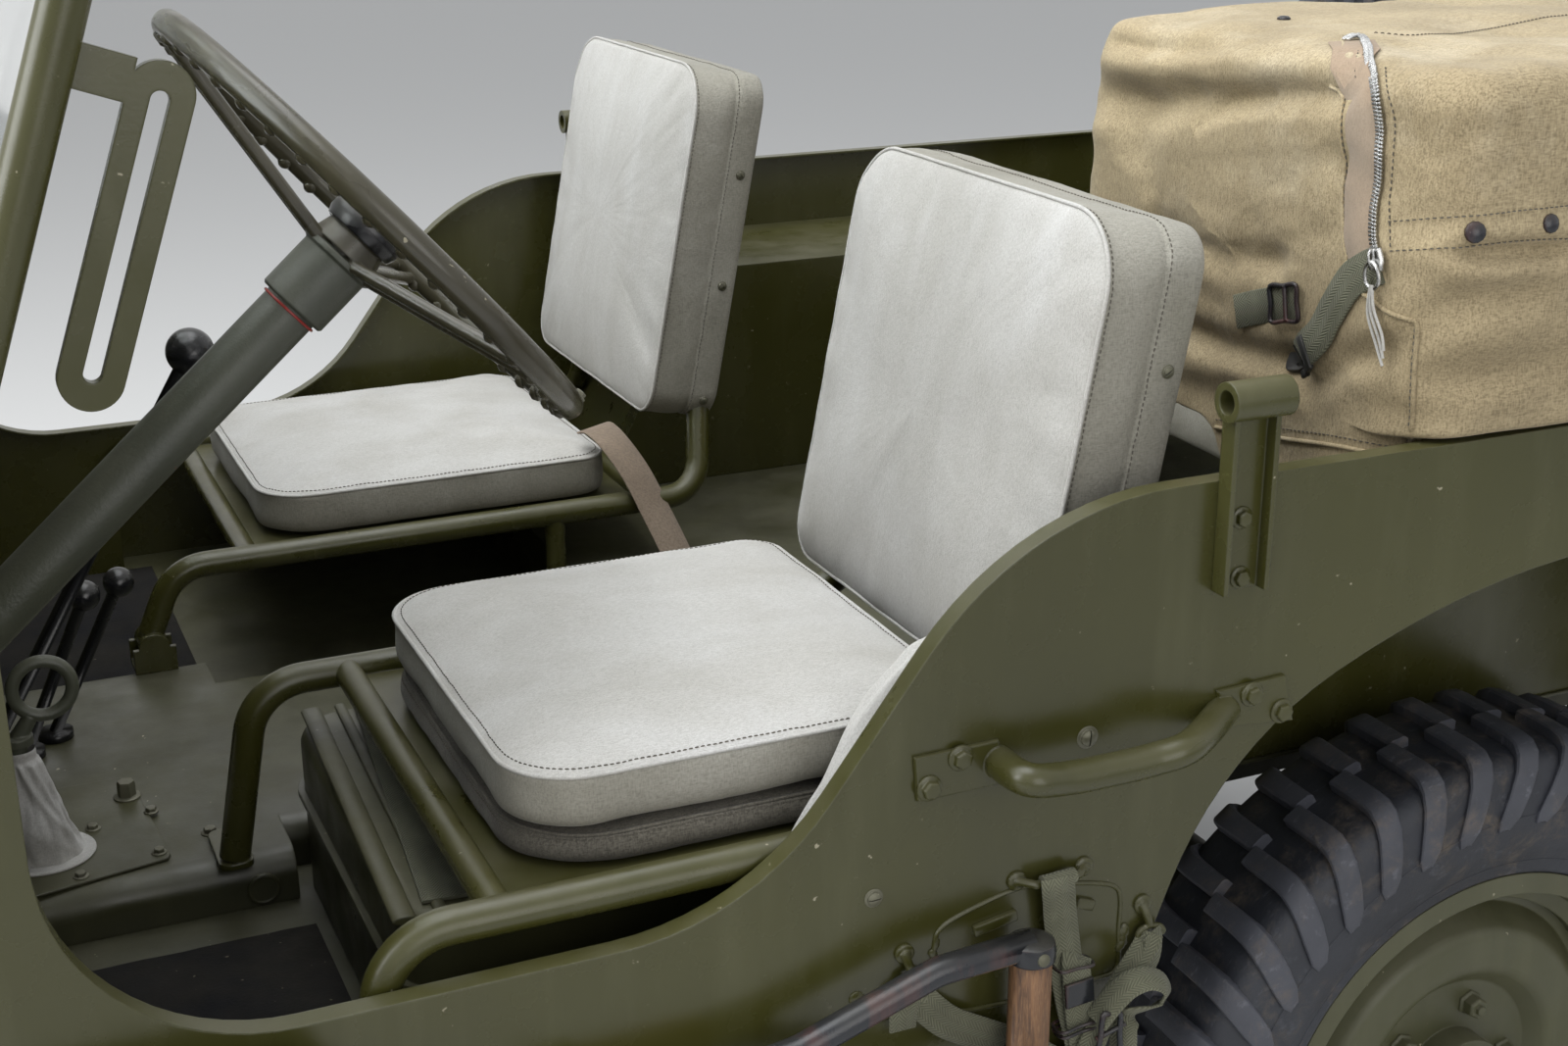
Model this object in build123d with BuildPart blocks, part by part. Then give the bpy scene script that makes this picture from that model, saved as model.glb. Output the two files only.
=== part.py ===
# Light open 4x4 army car, at its real size in millimetres.
# Front is -X, left side is -Y, up is +Z, and the wheels stand on Z = 0.
# Stations run rearwards from the front axle, which stands at front_axle_x.
import os
from math import atan2, cos, radians, sin, tan

from build123d import *

# overall sizes
overall_length = 3359.0
front_overhang = 552.0
wheelbase = 2032.0
track = 1245.0
front_axle_x = front_overhang - overall_length / 2

# sheet metal body
sheet = 3.0
seat_gap = 0.3
body_half_width = 735.0
body_bottom = 490.0
lip_width = 17.0
cowl_front = 540.0
cowl_rear = 824.0
cowl_top = 1066.0
cowl_corner = 70.0
cowl_edge = 34.0
sill_height = 739.0
rail_height = 1013.0
tub_rear = 2604.0
tub_corner = 90.0
door_slope_angle = 52.5
door_slope_foot = 1289.5
door_front_radius = 150.0
door_rear_radius = 203.0
door_shoulder_radius = 250.0

# rear wheel arch, as arcs each side of its top
arch_top = 903.0
arch_peak_ahead = -40.0
arch_front_arcs = ((690.0, 24.8), (275.0, 43.9))
arch_rear_arcs = ((500.0, 35.0), (230.0, 45.0))

# floors
front_floor = 560.0
rear_floor = 640.0
toe_top = 740.0
toe_foot = 690.0
floor_step = 1480.0
wheelhouse_inner = 495.0
wheelhouse_top = 918.0
# points of the wheelhouse's front, from the rear floor up to its flat top
wheelhouse_face = ((1618.0, 640.3), (1637.7, 691.5), (1656.4, 729.6), (1764.0, 915.0))
tunnel_top = 605.0
tunnel_front_half = 245.0
tunnel_rear_half = 185.0
tunnel_front = 664.0
tunnel_step = 1060.0
tunnel_rear = 1440.0
tunnel_wall = 18.0

# wheels and tyres
tyre_radius = 355.0
tyre_half_section = 80.0
tyre_shoulder = 58.0
bead_radius = 203.0
rim_flange_radius = 219.0
rim_half_width = 57.0
rim_well_radius = 182.0
rim_sheet = 4.0
drum_radius = 126.0
hub_radius = 44.0
spindle_radius = 20.0
running_clearance = 0.05
wheel_centre_z = tyre_radius
dish_seat = 14.0
hub_inner = -42.0

# axles and springs
axle_tube_radius = 38.0
knuckle_offset = 118.0
diff_offset = 165.0
diff_radius = 112.0
spring_y = 345.0
spring_width = 44.0
spring_half_span = 455.0
spring_leaf = 7.0

# chassis frame
frame_half = 371.5
frame_rail_width = 45.0
frame_rail_height = 92.0
frame_top = front_floor - sheet - seat_gap
frame_rear_top = rear_floor - sheet - seat_gap
frame_front = -546.7
frame_rear = 2604.0
kick_start = 1560.0
kick_end = 1740.0

# front end
grille_station = -215.0
grille_half = 448.0
grille_bottom = frame_top + seat_gap
grille_slots = 9
grille_slot_width = 38.0
grille_slot_height = 300.0
grille_slot_pitch = 56.0
headlight_radius = 92.0
headlight_y = 350.0
headlight_z = 812.0
fender_top = 862.0
fender_half = 787.0
hood_gap = 6.0
# station, half width, height of the sides' top, height of the crown
hood_sections = ((-204.0, 455.0, 962.0, 988.0), (cowl_front - hood_gap, 548.0, 1036.0, 1062.0))
hood_bottom = 876.0
hood_hinge = (538.0, 1070.0)
hood_swing = 749.0
hood_corner = 34.0
hood_hinge_places = (-170.0, 170.0)
hood_barrel_radius = 7.0
hood_barrel_width = 26.0
hood_ear_width = 10.0
hood_pin_radius = 3.0
bumper_height = 150.0
bumper_half = 665.0
bumper_depth = 52.0
bumper_z = 515.0

# windscreen, built upright from its hinge and then leaned back
screen_hinge = (800.0, 1086.0)
screen_rake = 19.2
screen_half = 708.0
screen_height = 585.0
screen_tube = 14.0
screen_hinge_tube = 15.0
screen_panel_height = 168.0
glass_bar = 22.0
glass_thickness = 5.0

# steering
steering_centre = (1150.7, -321.4, 1173.6)
column_angle = 41.6
column_radius = 22.5
shaft_radius = 14.0
steering_rim_radius = 208.0
steering_rim_tube = 11.0

# seats
seat_tube = 13.5
seat_cross_tube = 12.0
seat_centre = 470.0
seat_half = 230.0
seat_back_height = 1165.0
recline = 10.9
seat_back_half = 188.0
seat_back_neck = 100.0


def side(y):
    """Upright plane along the car: local x is the station, local y is the height."""
    return Plane(origin=(front_axle_x, y, 0), x_dir=(1, 0, 0), z_dir=(0, -1, 0))


def deck(z):
    """Level plane: local x is the station, local y points to the right side."""
    return Plane(origin=(front_axle_x, 0, z), x_dir=(1, 0, 0), z_dir=(0, 0, 1))


def across(station):
    """Plane across the car: local x points to the right side, local y is the height."""
    return Plane(origin=(front_axle_x + station, 0, 0), x_dir=(0, 1, 0), z_dir=(1, 0, 0))


# line of the steering column, from its box on the frame to the steering wheel
column_foot_station = 485.0
column_head = 74.0
column_run = Vector(cos(radians(column_angle)), 0, sin(radians(column_angle)))
wheel_centre = Vector(front_axle_x + steering_centre[0], steering_centre[1], steering_centre[2])
column_top = wheel_centre - column_run * column_head
column_foot = wheel_centre - column_run * ((steering_centre[0] - column_foot_station) / column_run.X)

# places and ring sizes of the windscreen's hinges on the cowl
hinge_places = (-560.0, 0.0, 560.0)
hinge_width = 30.0
saddle_wall = 6.0

os.makedirs("parts", exist_ok=True)

# side panels with the low doorway, the rear wheel arch and their turned-in lips
side_rear = tub_rear - tub_corner
cowl_seam = 790.0
panel_shoulder = cowl_top - cowl_edge
arch_peak = wheelbase - arch_peak_ahead
with BuildPart() as side_panels:
    with BuildSketch(side(-body_half_width)) as panel_outline:
        with BuildLine():
            doorway = FilletPolyline(
                (cowl_rear, panel_shoulder),
                (cowl_rear, sill_height),
                (door_slope_foot, sill_height),
                (door_slope_foot + (rail_height - sill_height) / tan(radians(door_slope_angle)), rail_height),
                (side_rear, rail_height),
                radius=(door_front_radius, door_rear_radius, door_shoulder_radius),
            )
            Polyline(
                doorway @ 1,
                (side_rear, body_bottom),
                (cowl_seam, body_bottom),
                (cowl_seam, panel_shoulder),
                doorway @ 0,
            )
        make_face()
        with BuildLine():
            front_top = JernArc((arch_peak, arch_top), (-1, 0), arch_front_arcs[0][0], arch_front_arcs[0][1])
            front_low = JernArc(front_top @ 1, front_top % 1, arch_front_arcs[1][0], arch_front_arcs[1][1])
            rear_top = JernArc((arch_peak, arch_top), (1, 0), arch_rear_arcs[0][0], -arch_rear_arcs[0][1])
            rear_low = JernArc(rear_top @ 1, rear_top % 1, arch_rear_arcs[1][0], -arch_rear_arcs[1][1])
            front_run = (front_low @ 1).Y - body_bottom
            rear_run = (rear_low @ 1).Y - body_bottom
            front_foot = (front_low @ 1) + (front_low % 1) * (front_run / -(front_low % 1).Y)
            rear_foot = (rear_low @ 1) + (rear_low % 1) * (rear_run / -(rear_low % 1).Y)
            Polyline(front_low @ 1, front_foot, rear_foot, rear_low @ 1)
        make_face(mode=Mode.SUBTRACT)
    extrude(amount=-sheet)
    with BuildSketch(side(-body_half_width)):
        add(panel_outline.sketch_local)
        offset(amount=-sheet, mode=Mode.SUBTRACT)
        with Locations(((cowl_seam + cowl_rear - 2 * sheet) / 2, panel_shoulder / 2)):
            Rectangle(cowl_rear - cowl_seam - 2 * sheet, 2 * rail_height, mode=Mode.SUBTRACT)
        with Locations((side_rear, rail_height / 2)):
            Rectangle(4 * sheet, 2 * rail_height, mode=Mode.SUBTRACT)
    extrude(amount=-lip_width)
    mirror(about=Plane.XZ)
side_panels.part.label = "side_panels"
export_step(side_panels.part, "parts/side_panels.step")

# rear panel with its two rounded corners, open at the middle above the frame end, and the
# bracket that carries the spare wheel
spare_y = 300.0
spare_z = 935.0
spare_station = overall_length - front_overhang - tyre_half_section
carrier_radius = 62.0
carrier_wall = 8.0
with BuildPart() as rear_panel:
    with BuildSketch(deck(body_bottom)) as tub_end:
        with Locations((side_rear - tub_corner, 0)):
            Rectangle(4 * tub_corner, 2 * body_half_width)
        fillet(tub_end.vertices().group_by(Axis.X)[-1], tub_corner)
        offset(amount=-sheet, mode=Mode.SUBTRACT)
        with Locations((side_rear - 2 * tub_corner, 0)):
            Rectangle(4 * tub_corner, 3 * body_half_width, mode=Mode.SUBTRACT)
    extrude(amount=rail_height - body_bottom)
    with BuildSketch(deck(rail_height)) as rail_lip:
        with Locations((side_rear - tub_corner, 0)):
            Rectangle(4 * tub_corner, 2 * body_half_width)
        fillet(rail_lip.vertices().group_by(Axis.X)[-1], tub_corner)
        offset(amount=-lip_width, mode=Mode.SUBTRACT)
        with Locations((side_rear - 2 * tub_corner, 0)):
            Rectangle(4 * tub_corner, 3 * body_half_width, mode=Mode.SUBTRACT)
    extrude(amount=-sheet)
    with BuildSketch(across(tub_rear)):
        with Locations((0, rear_floor - sheet)):
            Rectangle(2 * (wheelhouse_inner - lip_width), rear_floor, align=(Align.CENTER, Align.MAX))
    extrude(amount=-tub_corner / 2, mode=Mode.SUBTRACT)
    with BuildSketch(across(tub_rear)):
        with Locations((spare_y, spare_z)):
            RectangleRounded(300, 140, 30)
    extrude(amount=4)
    with BuildSketch(across(tub_rear)):
        with Locations((spare_y, spare_z)):
            Circle(carrier_radius)
            Circle(carrier_radius - carrier_wall, mode=Mode.SUBTRACT)
    extrude(amount=spare_station + dish_seat - 2 * seat_gap - tub_rear)
rear_panel.part.label = "rear_panel"
export_step(rear_panel.part, "parts/rear_panel.step")

# floor, stepped up behind the front seats and cut open over the gearbox and the rear wheels
inner_half = body_half_width - sheet - seat_gap
inner_rear = tub_rear - sheet - seat_gap
with BuildPart() as floor_pan:
    with BuildSketch(side(inner_half)):
        with BuildLine():
            Polyline(
                (toe_foot, front_floor),
                (floor_step, front_floor),
                (floor_step, rear_floor),
                (inner_rear, rear_floor),
            )
            offset(amount=sheet, side=Side.RIGHT)
        make_face()
    extrude(amount=2 * inner_half)
    with BuildSketch(deck(body_bottom)):
        with Locations((toe_foot, 0)):
            Rectangle(
                tunnel_rear - toe_foot - 40, 2 * tunnel_rear_half - 20, align=(Align.MIN, Align.CENTER)
            )
        for cut_front, cut_inner in (
            (wheelhouse_face[0][0] + 2, wheelhouse_inner + 2 * sheet),
            (wheelhouse_face[0][0] - 3, body_half_width - lip_width - seat_gap),
        ):
            with Locations((cut_front, cut_inner), (cut_front, -cut_inner - body_half_width)):
                Rectangle(tub_rear, body_half_width, align=(Align.MIN, Align.MIN))
    extrude(amount=rear_floor, mode=Mode.SUBTRACT)
floor_pan.part.label = "floor_pan"
export_step(floor_pan.part, "parts/floor_pan.step")

# wheelhouses with a front that follows the wheel arch, each with a closed tool compartment
# behind the wheel
toolbox_front = 2417.0
toolbox_floor = 660.0
toolbox_outer = 717.7
toolbox_corner = 76.0
toolbox_hatch = (2434.0, 2566.0, 530.0, 700.0)
wheelhouse_bend = 30.0
hatch_front, hatch_rear, hatch_inner, hatch_outer = toolbox_hatch
with BuildPart() as wheelhouses:
    with BuildSketch(side(wheelhouse_inner)):
        with BuildLine():
            FilletPolyline(*wheelhouse_face, (inner_rear, wheelhouse_top - sheet), radius=wheelhouse_bend)
            offset(amount=sheet, side=Side.LEFT)
        make_face()
    extrude(amount=wheelhouse_inner - inner_half)
    with BuildSketch(side(wheelhouse_inner)):
        with BuildLine():
            house_edge = FilletPolyline(
                *wheelhouse_face, (inner_rear, wheelhouse_top - sheet), radius=wheelhouse_bend
            )
            Polyline(house_edge @ 1, (inner_rear, wheelhouse_face[0][1]), house_edge @ 0)
        make_face()
    extrude(amount=-sheet)
    with BuildSketch(deck(toolbox_floor)) as toolbox_plan:
        with Locations((toolbox_front, wheelhouse_inner)):
            Rectangle(
                inner_rear - toolbox_front, toolbox_outer - wheelhouse_inner, align=(Align.MIN, Align.MIN)
            )
        fillet(toolbox_plan.vertices().group_by(Axis.X)[-1].sort_by(Axis.Y)[-1], toolbox_corner)
    extrude(amount=wheelhouse_top - 1 - toolbox_floor)
    with BuildSketch(deck(toolbox_floor + sheet)):
        add(toolbox_plan.sketch_local)
        offset(amount=-sheet)
    extrude(amount=wheelhouse_top - 2 * sheet - toolbox_floor, mode=Mode.SUBTRACT)
    with BuildSketch(deck(toolbox_floor + 2 * sheet)):
        with Locations((hatch_front, hatch_inner)):
            Rectangle(hatch_rear - hatch_front, hatch_outer - hatch_inner, align=(Align.MIN, Align.MIN))
    extrude(amount=wheelhouse_top, mode=Mode.SUBTRACT)
    with BuildSketch(deck(rear_floor)) as house_plan:
        with Locations((floor_step, wheelhouse_inner)):
            Rectangle(inner_rear - floor_step, inner_half - wheelhouse_inner, align=(Align.MIN, Align.MIN))
        fillet(
            house_plan.vertices().group_by(Axis.X)[-1].sort_by(Axis.Y)[-1], tub_corner - sheet - seat_gap
        )
    extrude(amount=wheelhouse_top, mode=Mode.INTERSECT)
    mirror(about=Plane.XZ)
wheelhouses.part.label = "wheelhouses"
export_step(wheelhouses.part, "parts/wheelhouses.step")

# hinged lids of the tool compartments, which open forwards
lid_margin = 10.0
lid_rise = 6.0
for name, hand in (("left_toolbox_lid", -1), ("right_toolbox_lid", 1)):
    with BuildPart() as toolbox_lid:
        with BuildSketch(deck(wheelhouse_top + seat_gap)):
            with Locations(((hatch_front + hatch_rear) / 2, hand * (hatch_inner + hatch_outer) / 2)):
                RectangleRounded(
                    hatch_rear - hatch_front + 2 * lid_margin, hatch_outer - hatch_inner + 2 * lid_margin, 12
                )
        extrude(amount=lid_rise)
        fillet(toolbox_lid.faces().sort_by(Axis.Z)[-1].edges(), 2.5)
    toolbox_lid.part.label = name
    export_step(toolbox_lid.part, f"parts/{name}.step")

# cowl: rounded shell with the upper firewall, the sloping toe board, the dash, the rings that
# carry the windscreen and the ears that carry the hood
dash_bottom = 930.0
dash_station = 806.0
toe_head = (cowl_front + 1, toe_top + 1)
with BuildPart() as cowl:
    with BuildSketch(deck(body_bottom)) as cowl_plan:
        with Locations((cowl_front, 0)):
            Rectangle(cowl_rear - cowl_front, 2 * body_half_width, align=(Align.MIN, Align.CENTER))
        fillet(cowl_plan.vertices().group_by(Axis.X)[0], cowl_corner)
    extrude(amount=cowl_top - body_bottom)
    top_face = cowl.faces().sort_by(Axis.Z)[-1]
    rear_edge = top_face.edges().sort_by(Axis.X)[-1]
    fillet([edge for edge in top_face.edges() if edge != rear_edge], cowl_edge)
    bottom_face = cowl.faces().sort_by(Axis.Z)[0]
    rear_face = cowl.faces().sort_by(Axis.X)[-1]
    offset(amount=-sheet, openings=[bottom_face, rear_face])
    with BuildSketch(side(body_half_width)):
        with Locations((cowl_seam, body_bottom)):
            Rectangle(cowl_rear, panel_shoulder - body_bottom, align=(Align.MIN, Align.MIN))
    extrude(amount=2 * body_half_width, mode=Mode.SUBTRACT)
    with BuildSketch(across(cowl_front)):
        with Locations((0, toe_top)):
            Rectangle(2 * (body_half_width - cowl_corner), toe_top, align=(Align.CENTER, Align.MAX))
    extrude(amount=sheet, mode=Mode.SUBTRACT)
    with BuildSketch(side(inner_half)):
        with BuildLine():
            Line((toe_foot, front_floor + seat_gap), toe_head)
            offset(amount=sheet, side=Side.RIGHT)
        make_face()
    extrude(amount=2 * inner_half)
    with BuildSketch(across(cowl_front)):
        with Locations((0, tunnel_top + sheet)):
            Rectangle(2 * (tunnel_front_half + seat_gap), tunnel_top, align=(Align.CENTER, Align.MAX))
    extrude(amount=cowl_rear - cowl_front, mode=Mode.SUBTRACT)
    with BuildSketch(across(dash_station)):
        with Locations((0, cowl_top - sheet)):
            Rectangle(
                2 * (body_half_width - lip_width - seat_gap),
                cowl_top - sheet - dash_bottom,
                align=(Align.CENTER, Align.MAX),
            )
    extrude(amount=sheet)
    for place in hinge_places:
        with BuildSketch(side(place + hinge_width / 2)):
            with Locations(screen_hinge):
                Circle(screen_hinge_tube + running_clearance + saddle_wall)
            with Locations((screen_hinge[0], cowl_top - sheet)):
                Rectangle(2 * (screen_hinge_tube + saddle_wall), 20, align=(Align.CENTER, Align.MIN))
            with Locations(screen_hinge):
                Circle(screen_hinge_tube + running_clearance, mode=Mode.SUBTRACT)
        extrude(amount=hinge_width)
    for place in hood_hinge_places:
        for ear_y in (
            place - hood_barrel_width / 2 - seat_gap,
            place + hood_barrel_width / 2 + seat_gap + hood_ear_width,
        ):
            with BuildSketch(side(ear_y)):
                with BuildLine():
                    Polyline(
                        (hood_hinge[0], hood_hinge[1] - hood_barrel_radius),
                        (hood_hinge[0], hood_hinge[1] + hood_barrel_radius),
                        (hood_hinge[0] + 62, cowl_top + sheet),
                        (hood_hinge[0] + 62, cowl_top - 2),
                        close=True,
                    )
                make_face()
                with Locations(hood_hinge):
                    Circle(hood_barrel_radius)
            extrude(amount=hood_ear_width)
        with BuildSketch(side(place + hood_barrel_width / 2 + hood_ear_width)):
            with Locations(hood_hinge):
                Circle(hood_pin_radius)
        extrude(amount=hood_barrel_width + 2 * hood_ear_width)
    with BuildSketch(Plane(origin=column_foot, z_dir=column_run)):
        Circle(column_radius + 3)
    extrude(amount=(column_top - column_foot).length, mode=Mode.SUBTRACT)
cowl.part.label = "cowl"
export_step(cowl.part, "parts/cowl.step")

# cover over the gearbox, wide at the toe board and narrow between the seats
with BuildPart() as tunnel_cover:
    for first, last, half in (
        (tunnel_front, tunnel_step, tunnel_front_half),
        (tunnel_step, tunnel_rear, tunnel_rear_half),
    ):
        with BuildSketch(across(first)):
            with BuildLine():
                FilletPolyline(
                    (-half, front_floor),
                    (-half, tunnel_top),
                    (half, tunnel_top),
                    (half, front_floor),
                    radius=24,
                )
                Line((half, front_floor), (-half, front_floor))
            make_face()
        extrude(amount=last - first)
    with BuildSketch(across(tunnel_front)):
        with Locations((0, front_floor)):
            Rectangle(
                2 * (tunnel_rear_half - tunnel_wall), tunnel_top - sheet - front_floor, align=(Align.CENTER, Align.MIN)
            )
    extrude(amount=tunnel_rear - sheet - tunnel_front, mode=Mode.SUBTRACT)
    with BuildSketch(across(tunnel_front)):
        with Locations((0, front_floor)):
            Rectangle(
                2 * (tunnel_front_half - tunnel_wall), tunnel_top - sheet - front_floor,
                align=(Align.CENTER, Align.MIN),
            )
    extrude(amount=tunnel_step - sheet - tunnel_front, mode=Mode.SUBTRACT)
tunnel_cover.part.label = "tunnel_cover"
export_step(tunnel_cover.part, "parts/tunnel_cover.step")

# hood, crowned and widening rearwards, with a front edge that swings clear of the grille
with BuildPart() as hood:
    for wall, mode in ((0.0, Mode.ADD), (sheet, Mode.SUBTRACT)):
        for station, half, side_top, crown in hood_sections:
            with BuildSketch(across(station)):
                with BuildLine():
                    left = FilletPolyline(
                        (-half + wall, hood_bottom),
                        (-half + wall, side_top - wall),
                        (-half + wall + 2 * hood_corner, side_top - wall),
                        radius=hood_corner,
                    )
                    right = FilletPolyline(
                        (half - wall, hood_bottom),
                        (half - wall, side_top - wall),
                        (half - wall - 2 * hood_corner, side_top - wall),
                        radius=hood_corner,
                    )
                    ThreePointArc(left @ 1, (0, crown - wall), right @ 1)
                    Line(left @ 0, right @ 0)
                make_face()
        loft(mode=mode)
    with BuildSketch(side(body_half_width)):
        with Locations(hood_hinge):
            Circle(hood_swing)
    extrude(amount=2 * body_half_width, mode=Mode.INTERSECT)
    for place in hood_hinge_places:
        with BuildSketch(side(place + hood_barrel_width / 2)):
            with BuildLine():
                Polyline(
                    (hood_hinge[0] - 42, hood_hinge[1] - 20),
                    (hood_hinge[0] - 42, hood_hinge[1] - 14),
                    (hood_hinge[0], hood_hinge[1] + hood_barrel_radius),
                    (hood_hinge[0], hood_hinge[1] - hood_barrel_radius),
                    close=True,
                )
            make_face()
            with Locations(hood_hinge):
                Circle(hood_barrel_radius)
                Circle(hood_pin_radius + running_clearance, mode=Mode.SUBTRACT)
        extrude(amount=hood_barrel_width)
hood.part.label = "hood"
export_step(hood.part, "parts/hood.step")

# slotted radiator guard with two headlight openings
grille_shoulder = 954.0
grille_crown = 976.0
grille_return = 26.0
grille_cut = (46.0, 88.0)
with BuildPart() as grille:
    with BuildSketch(across(grille_station)) as guard:
        with BuildLine():
            guard_top = ThreePointArc(
                (-grille_half + hood_corner, grille_shoulder),
                (0, grille_crown),
                (grille_half - hood_corner, grille_shoulder),
            )
            RadiusArc((-grille_half, grille_shoulder - hood_corner), guard_top @ 0, hood_corner)
            RadiusArc(guard_top @ 1, (grille_half, grille_shoulder - hood_corner), hood_corner)
            Polyline(
                (-grille_half, grille_shoulder - hood_corner),
                (-grille_half, grille_bottom + grille_cut[1]),
                (-grille_half + grille_cut[0], grille_bottom),
                (grille_half - grille_cut[0], grille_bottom),
                (grille_half, grille_bottom + grille_cut[1]),
                (grille_half, grille_shoulder - hood_corner),
            )
        make_face()
    extrude(amount=sheet)
    with BuildSketch(across(grille_station)):
        add(guard.sketch_local)
        offset(amount=-sheet, mode=Mode.SUBTRACT)
    extrude(amount=grille_return)
    with BuildSketch(across(grille_station)):
        with Locations((0, 740)):
            with GridLocations(grille_slot_pitch, 0, grille_slots, 1):
                SlotOverall(grille_slot_height, grille_slot_width, rotation=90)
        with Locations((-headlight_y, headlight_z), (headlight_y, headlight_z)):
            Circle(headlight_radius + 4)
    extrude(amount=sheet, mode=Mode.SUBTRACT)
grille.part.label = "grille"
export_step(grille.part, "parts/grille.step")

# front fenders: flat top, rounded nose, slope down to the cowl, outer lip and inner apron
fender_inner = grille_half + seat_gap
fender_nose = (-405.0, 782.0)
fender_flat = (-372.0, 262.0)
fender_foot = 560.0
fender_lip = 36.0
apron_bottom = 724.0
with BuildPart() as front_fenders:
    for depth, width in ((sheet, fender_half - fender_inner), (fender_lip, sheet)):
        with BuildSketch(side(-fender_half)):
            with BuildLine():
                FilletPolyline(
                    fender_nose,
                    (fender_flat[0], fender_top),
                    (fender_flat[1], fender_top),
                    (cowl_front - seat_gap, fender_foot + 40),
                    (cowl_front - seat_gap, fender_foot - 20),
                    radius=(48, 90, 36),
                )
                offset(amount=depth, side=Side.RIGHT)
            make_face()
        extrude(amount=-width)
    with BuildSketch(side(-fender_inner)):
        with BuildLine():
            Polyline(
                (-180, apron_bottom),
                (-180, fender_top - sheet),
                (fender_flat[1] - 30, fender_top - sheet),
                (fender_flat[1] + 75, apron_bottom),
                close=True,
            )
        make_face()
    extrude(amount=sheet)
    mirror(about=Plane.XZ)
front_fenders.part.label = "front_fenders"
export_step(front_fenders.part, "parts/front_fenders.step")

# headlights behind the guard, each on a bar from its fender apron
lamp_front = -218.0
lamp_depth = 112.0
lamp_bar_station = -140.0
with BuildPart() as headlights:
    with BuildSketch(side(headlight_y)):
        with BuildLine():
            lens_edge = (lamp_front + 12, headlight_z + headlight_radius)
            lamp_back = (lamp_front + lamp_depth, headlight_z + 16)
            bowl = ThreePointArc(
                (lamp_front + 26, headlight_z + headlight_radius),
                (lamp_front + 0.72 * lamp_depth, headlight_z + 0.66 * headlight_radius),
                lamp_back,
            )
            Polyline(
                bowl @ 1,
                (lamp_back[0], headlight_z),
                (lamp_front, headlight_z),
                (lamp_front, headlight_z + headlight_radius - 12),
                lens_edge,
                bowl @ 0,
            )
        make_face()
    revolve(axis=Axis((front_axle_x, headlight_y, headlight_z), (1, 0, 0)))
    with BuildSketch(side(headlight_y + 30)):
        with Locations((lamp_bar_station, headlight_z)):
            Rectangle(24, 16)
    extrude(amount=headlight_y + 30 - fender_inner + seat_gap)
    mirror(about=Plane.XZ)
headlights.part.label = "headlights"
export_step(headlights.part, "parts/headlights.step")

# front bumper: channel open towards the car
with BuildPart() as front_bumper:
    with BuildSketch(side(bumper_half)) as bumper_section:
        with Locations((-front_overhang, bumper_z)):
            Rectangle(bumper_depth, bumper_height, align=(Align.MIN, Align.CENTER))
        fillet(bumper_section.vertices().group_by(Axis.X)[0], 10)
        with Locations((-front_overhang + 5, bumper_z)):
            Rectangle(bumper_depth, bumper_height - 10, align=(Align.MIN, Align.CENTER), mode=Mode.SUBTRACT)
    extrude(amount=2 * bumper_half)
front_bumper.part.label = "front_bumper"
export_step(front_bumper.part, "parts/front_bumper.step")

# chassis frame: two channel rails kicked up at the rear, cross members and spring hangers
front_springs = 0.0
hanger_wall = 6.0
hanger_half = 20.0
hanger_foot = 422.0
eye_roof = 462.0
frame_low = frame_top - frame_rail_height
frame_kick = frame_rear_top - frame_top
with BuildPart() as chassis_frame:
    for inset, width, mode in ((0.0, frame_rail_width, Mode.ADD), (4.0, frame_rail_width - 4.0, Mode.SUBTRACT)):
        with BuildSketch(side(frame_half - frame_rail_width)):
            with BuildLine():
                Polyline(
                    (frame_front - 3 * inset, frame_top - inset),
                    (kick_start, frame_top - inset),
                    (kick_end, frame_rear_top - inset),
                    (frame_rear + 3 * inset, frame_rear_top - inset),
                    (frame_rear + 3 * inset, frame_low + frame_kick + inset),
                    (kick_end, frame_low + frame_kick + inset),
                    (kick_start, frame_low + inset),
                    (-front_overhang + 190, frame_low + inset),
                    (frame_front - 3 * inset, frame_low + 26 + inset),
                    close=True,
                )
            make_face()
        extrude(amount=-width, mode=mode)
    for station, hanger_top in (
        (front_springs - spring_half_span, frame_low + 26),
        (front_springs + spring_half_span, frame_low + 4),
        (wheelbase - spring_half_span, frame_low + 10),
        (wheelbase + spring_half_span, frame_low + frame_kick + 4),
    ):
        with BuildSketch(across(station - hanger_half)):
            with Locations((spring_y, hanger_foot)):
                Rectangle(
                    spring_width + 2 * (hanger_wall + seat_gap), hanger_top - hanger_foot,
                    align=(Align.CENTER, Align.MIN),
                )
                Rectangle(
                    spring_width + 2 * seat_gap, eye_roof - hanger_foot,
                    align=(Align.CENTER, Align.MIN), mode=Mode.SUBTRACT,
                )
        extrude(amount=2 * hanger_half)
    mirror(about=Plane.XZ)
    for first, last, low, high in (
        (-182.0, -98.0, 500.0, 556.0),
        (840.0, 920.0, 440.0, frame_low + 4),
        (1490.0, 1540.0, 482.0, 540.0),
        (frame_rear - 60, frame_rear, frame_low + frame_kick, frame_rear_top),
    ):
        with BuildSketch(side(frame_half - 4)):
            with Locations(((first + last) / 2, (low + high) / 2)):
                Rectangle(last - first, high - low)
            with Locations(((first + last) / 2, (low + high) / 2 - 6)):
                Rectangle(last - first - 12, high - low, mode=Mode.SUBTRACT)
        extrude(amount=2 * (frame_half - 4))
chassis_frame.part.label = "chassis_frame"
export_step(chassis_frame.part, "parts/chassis_frame.step")

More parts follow.
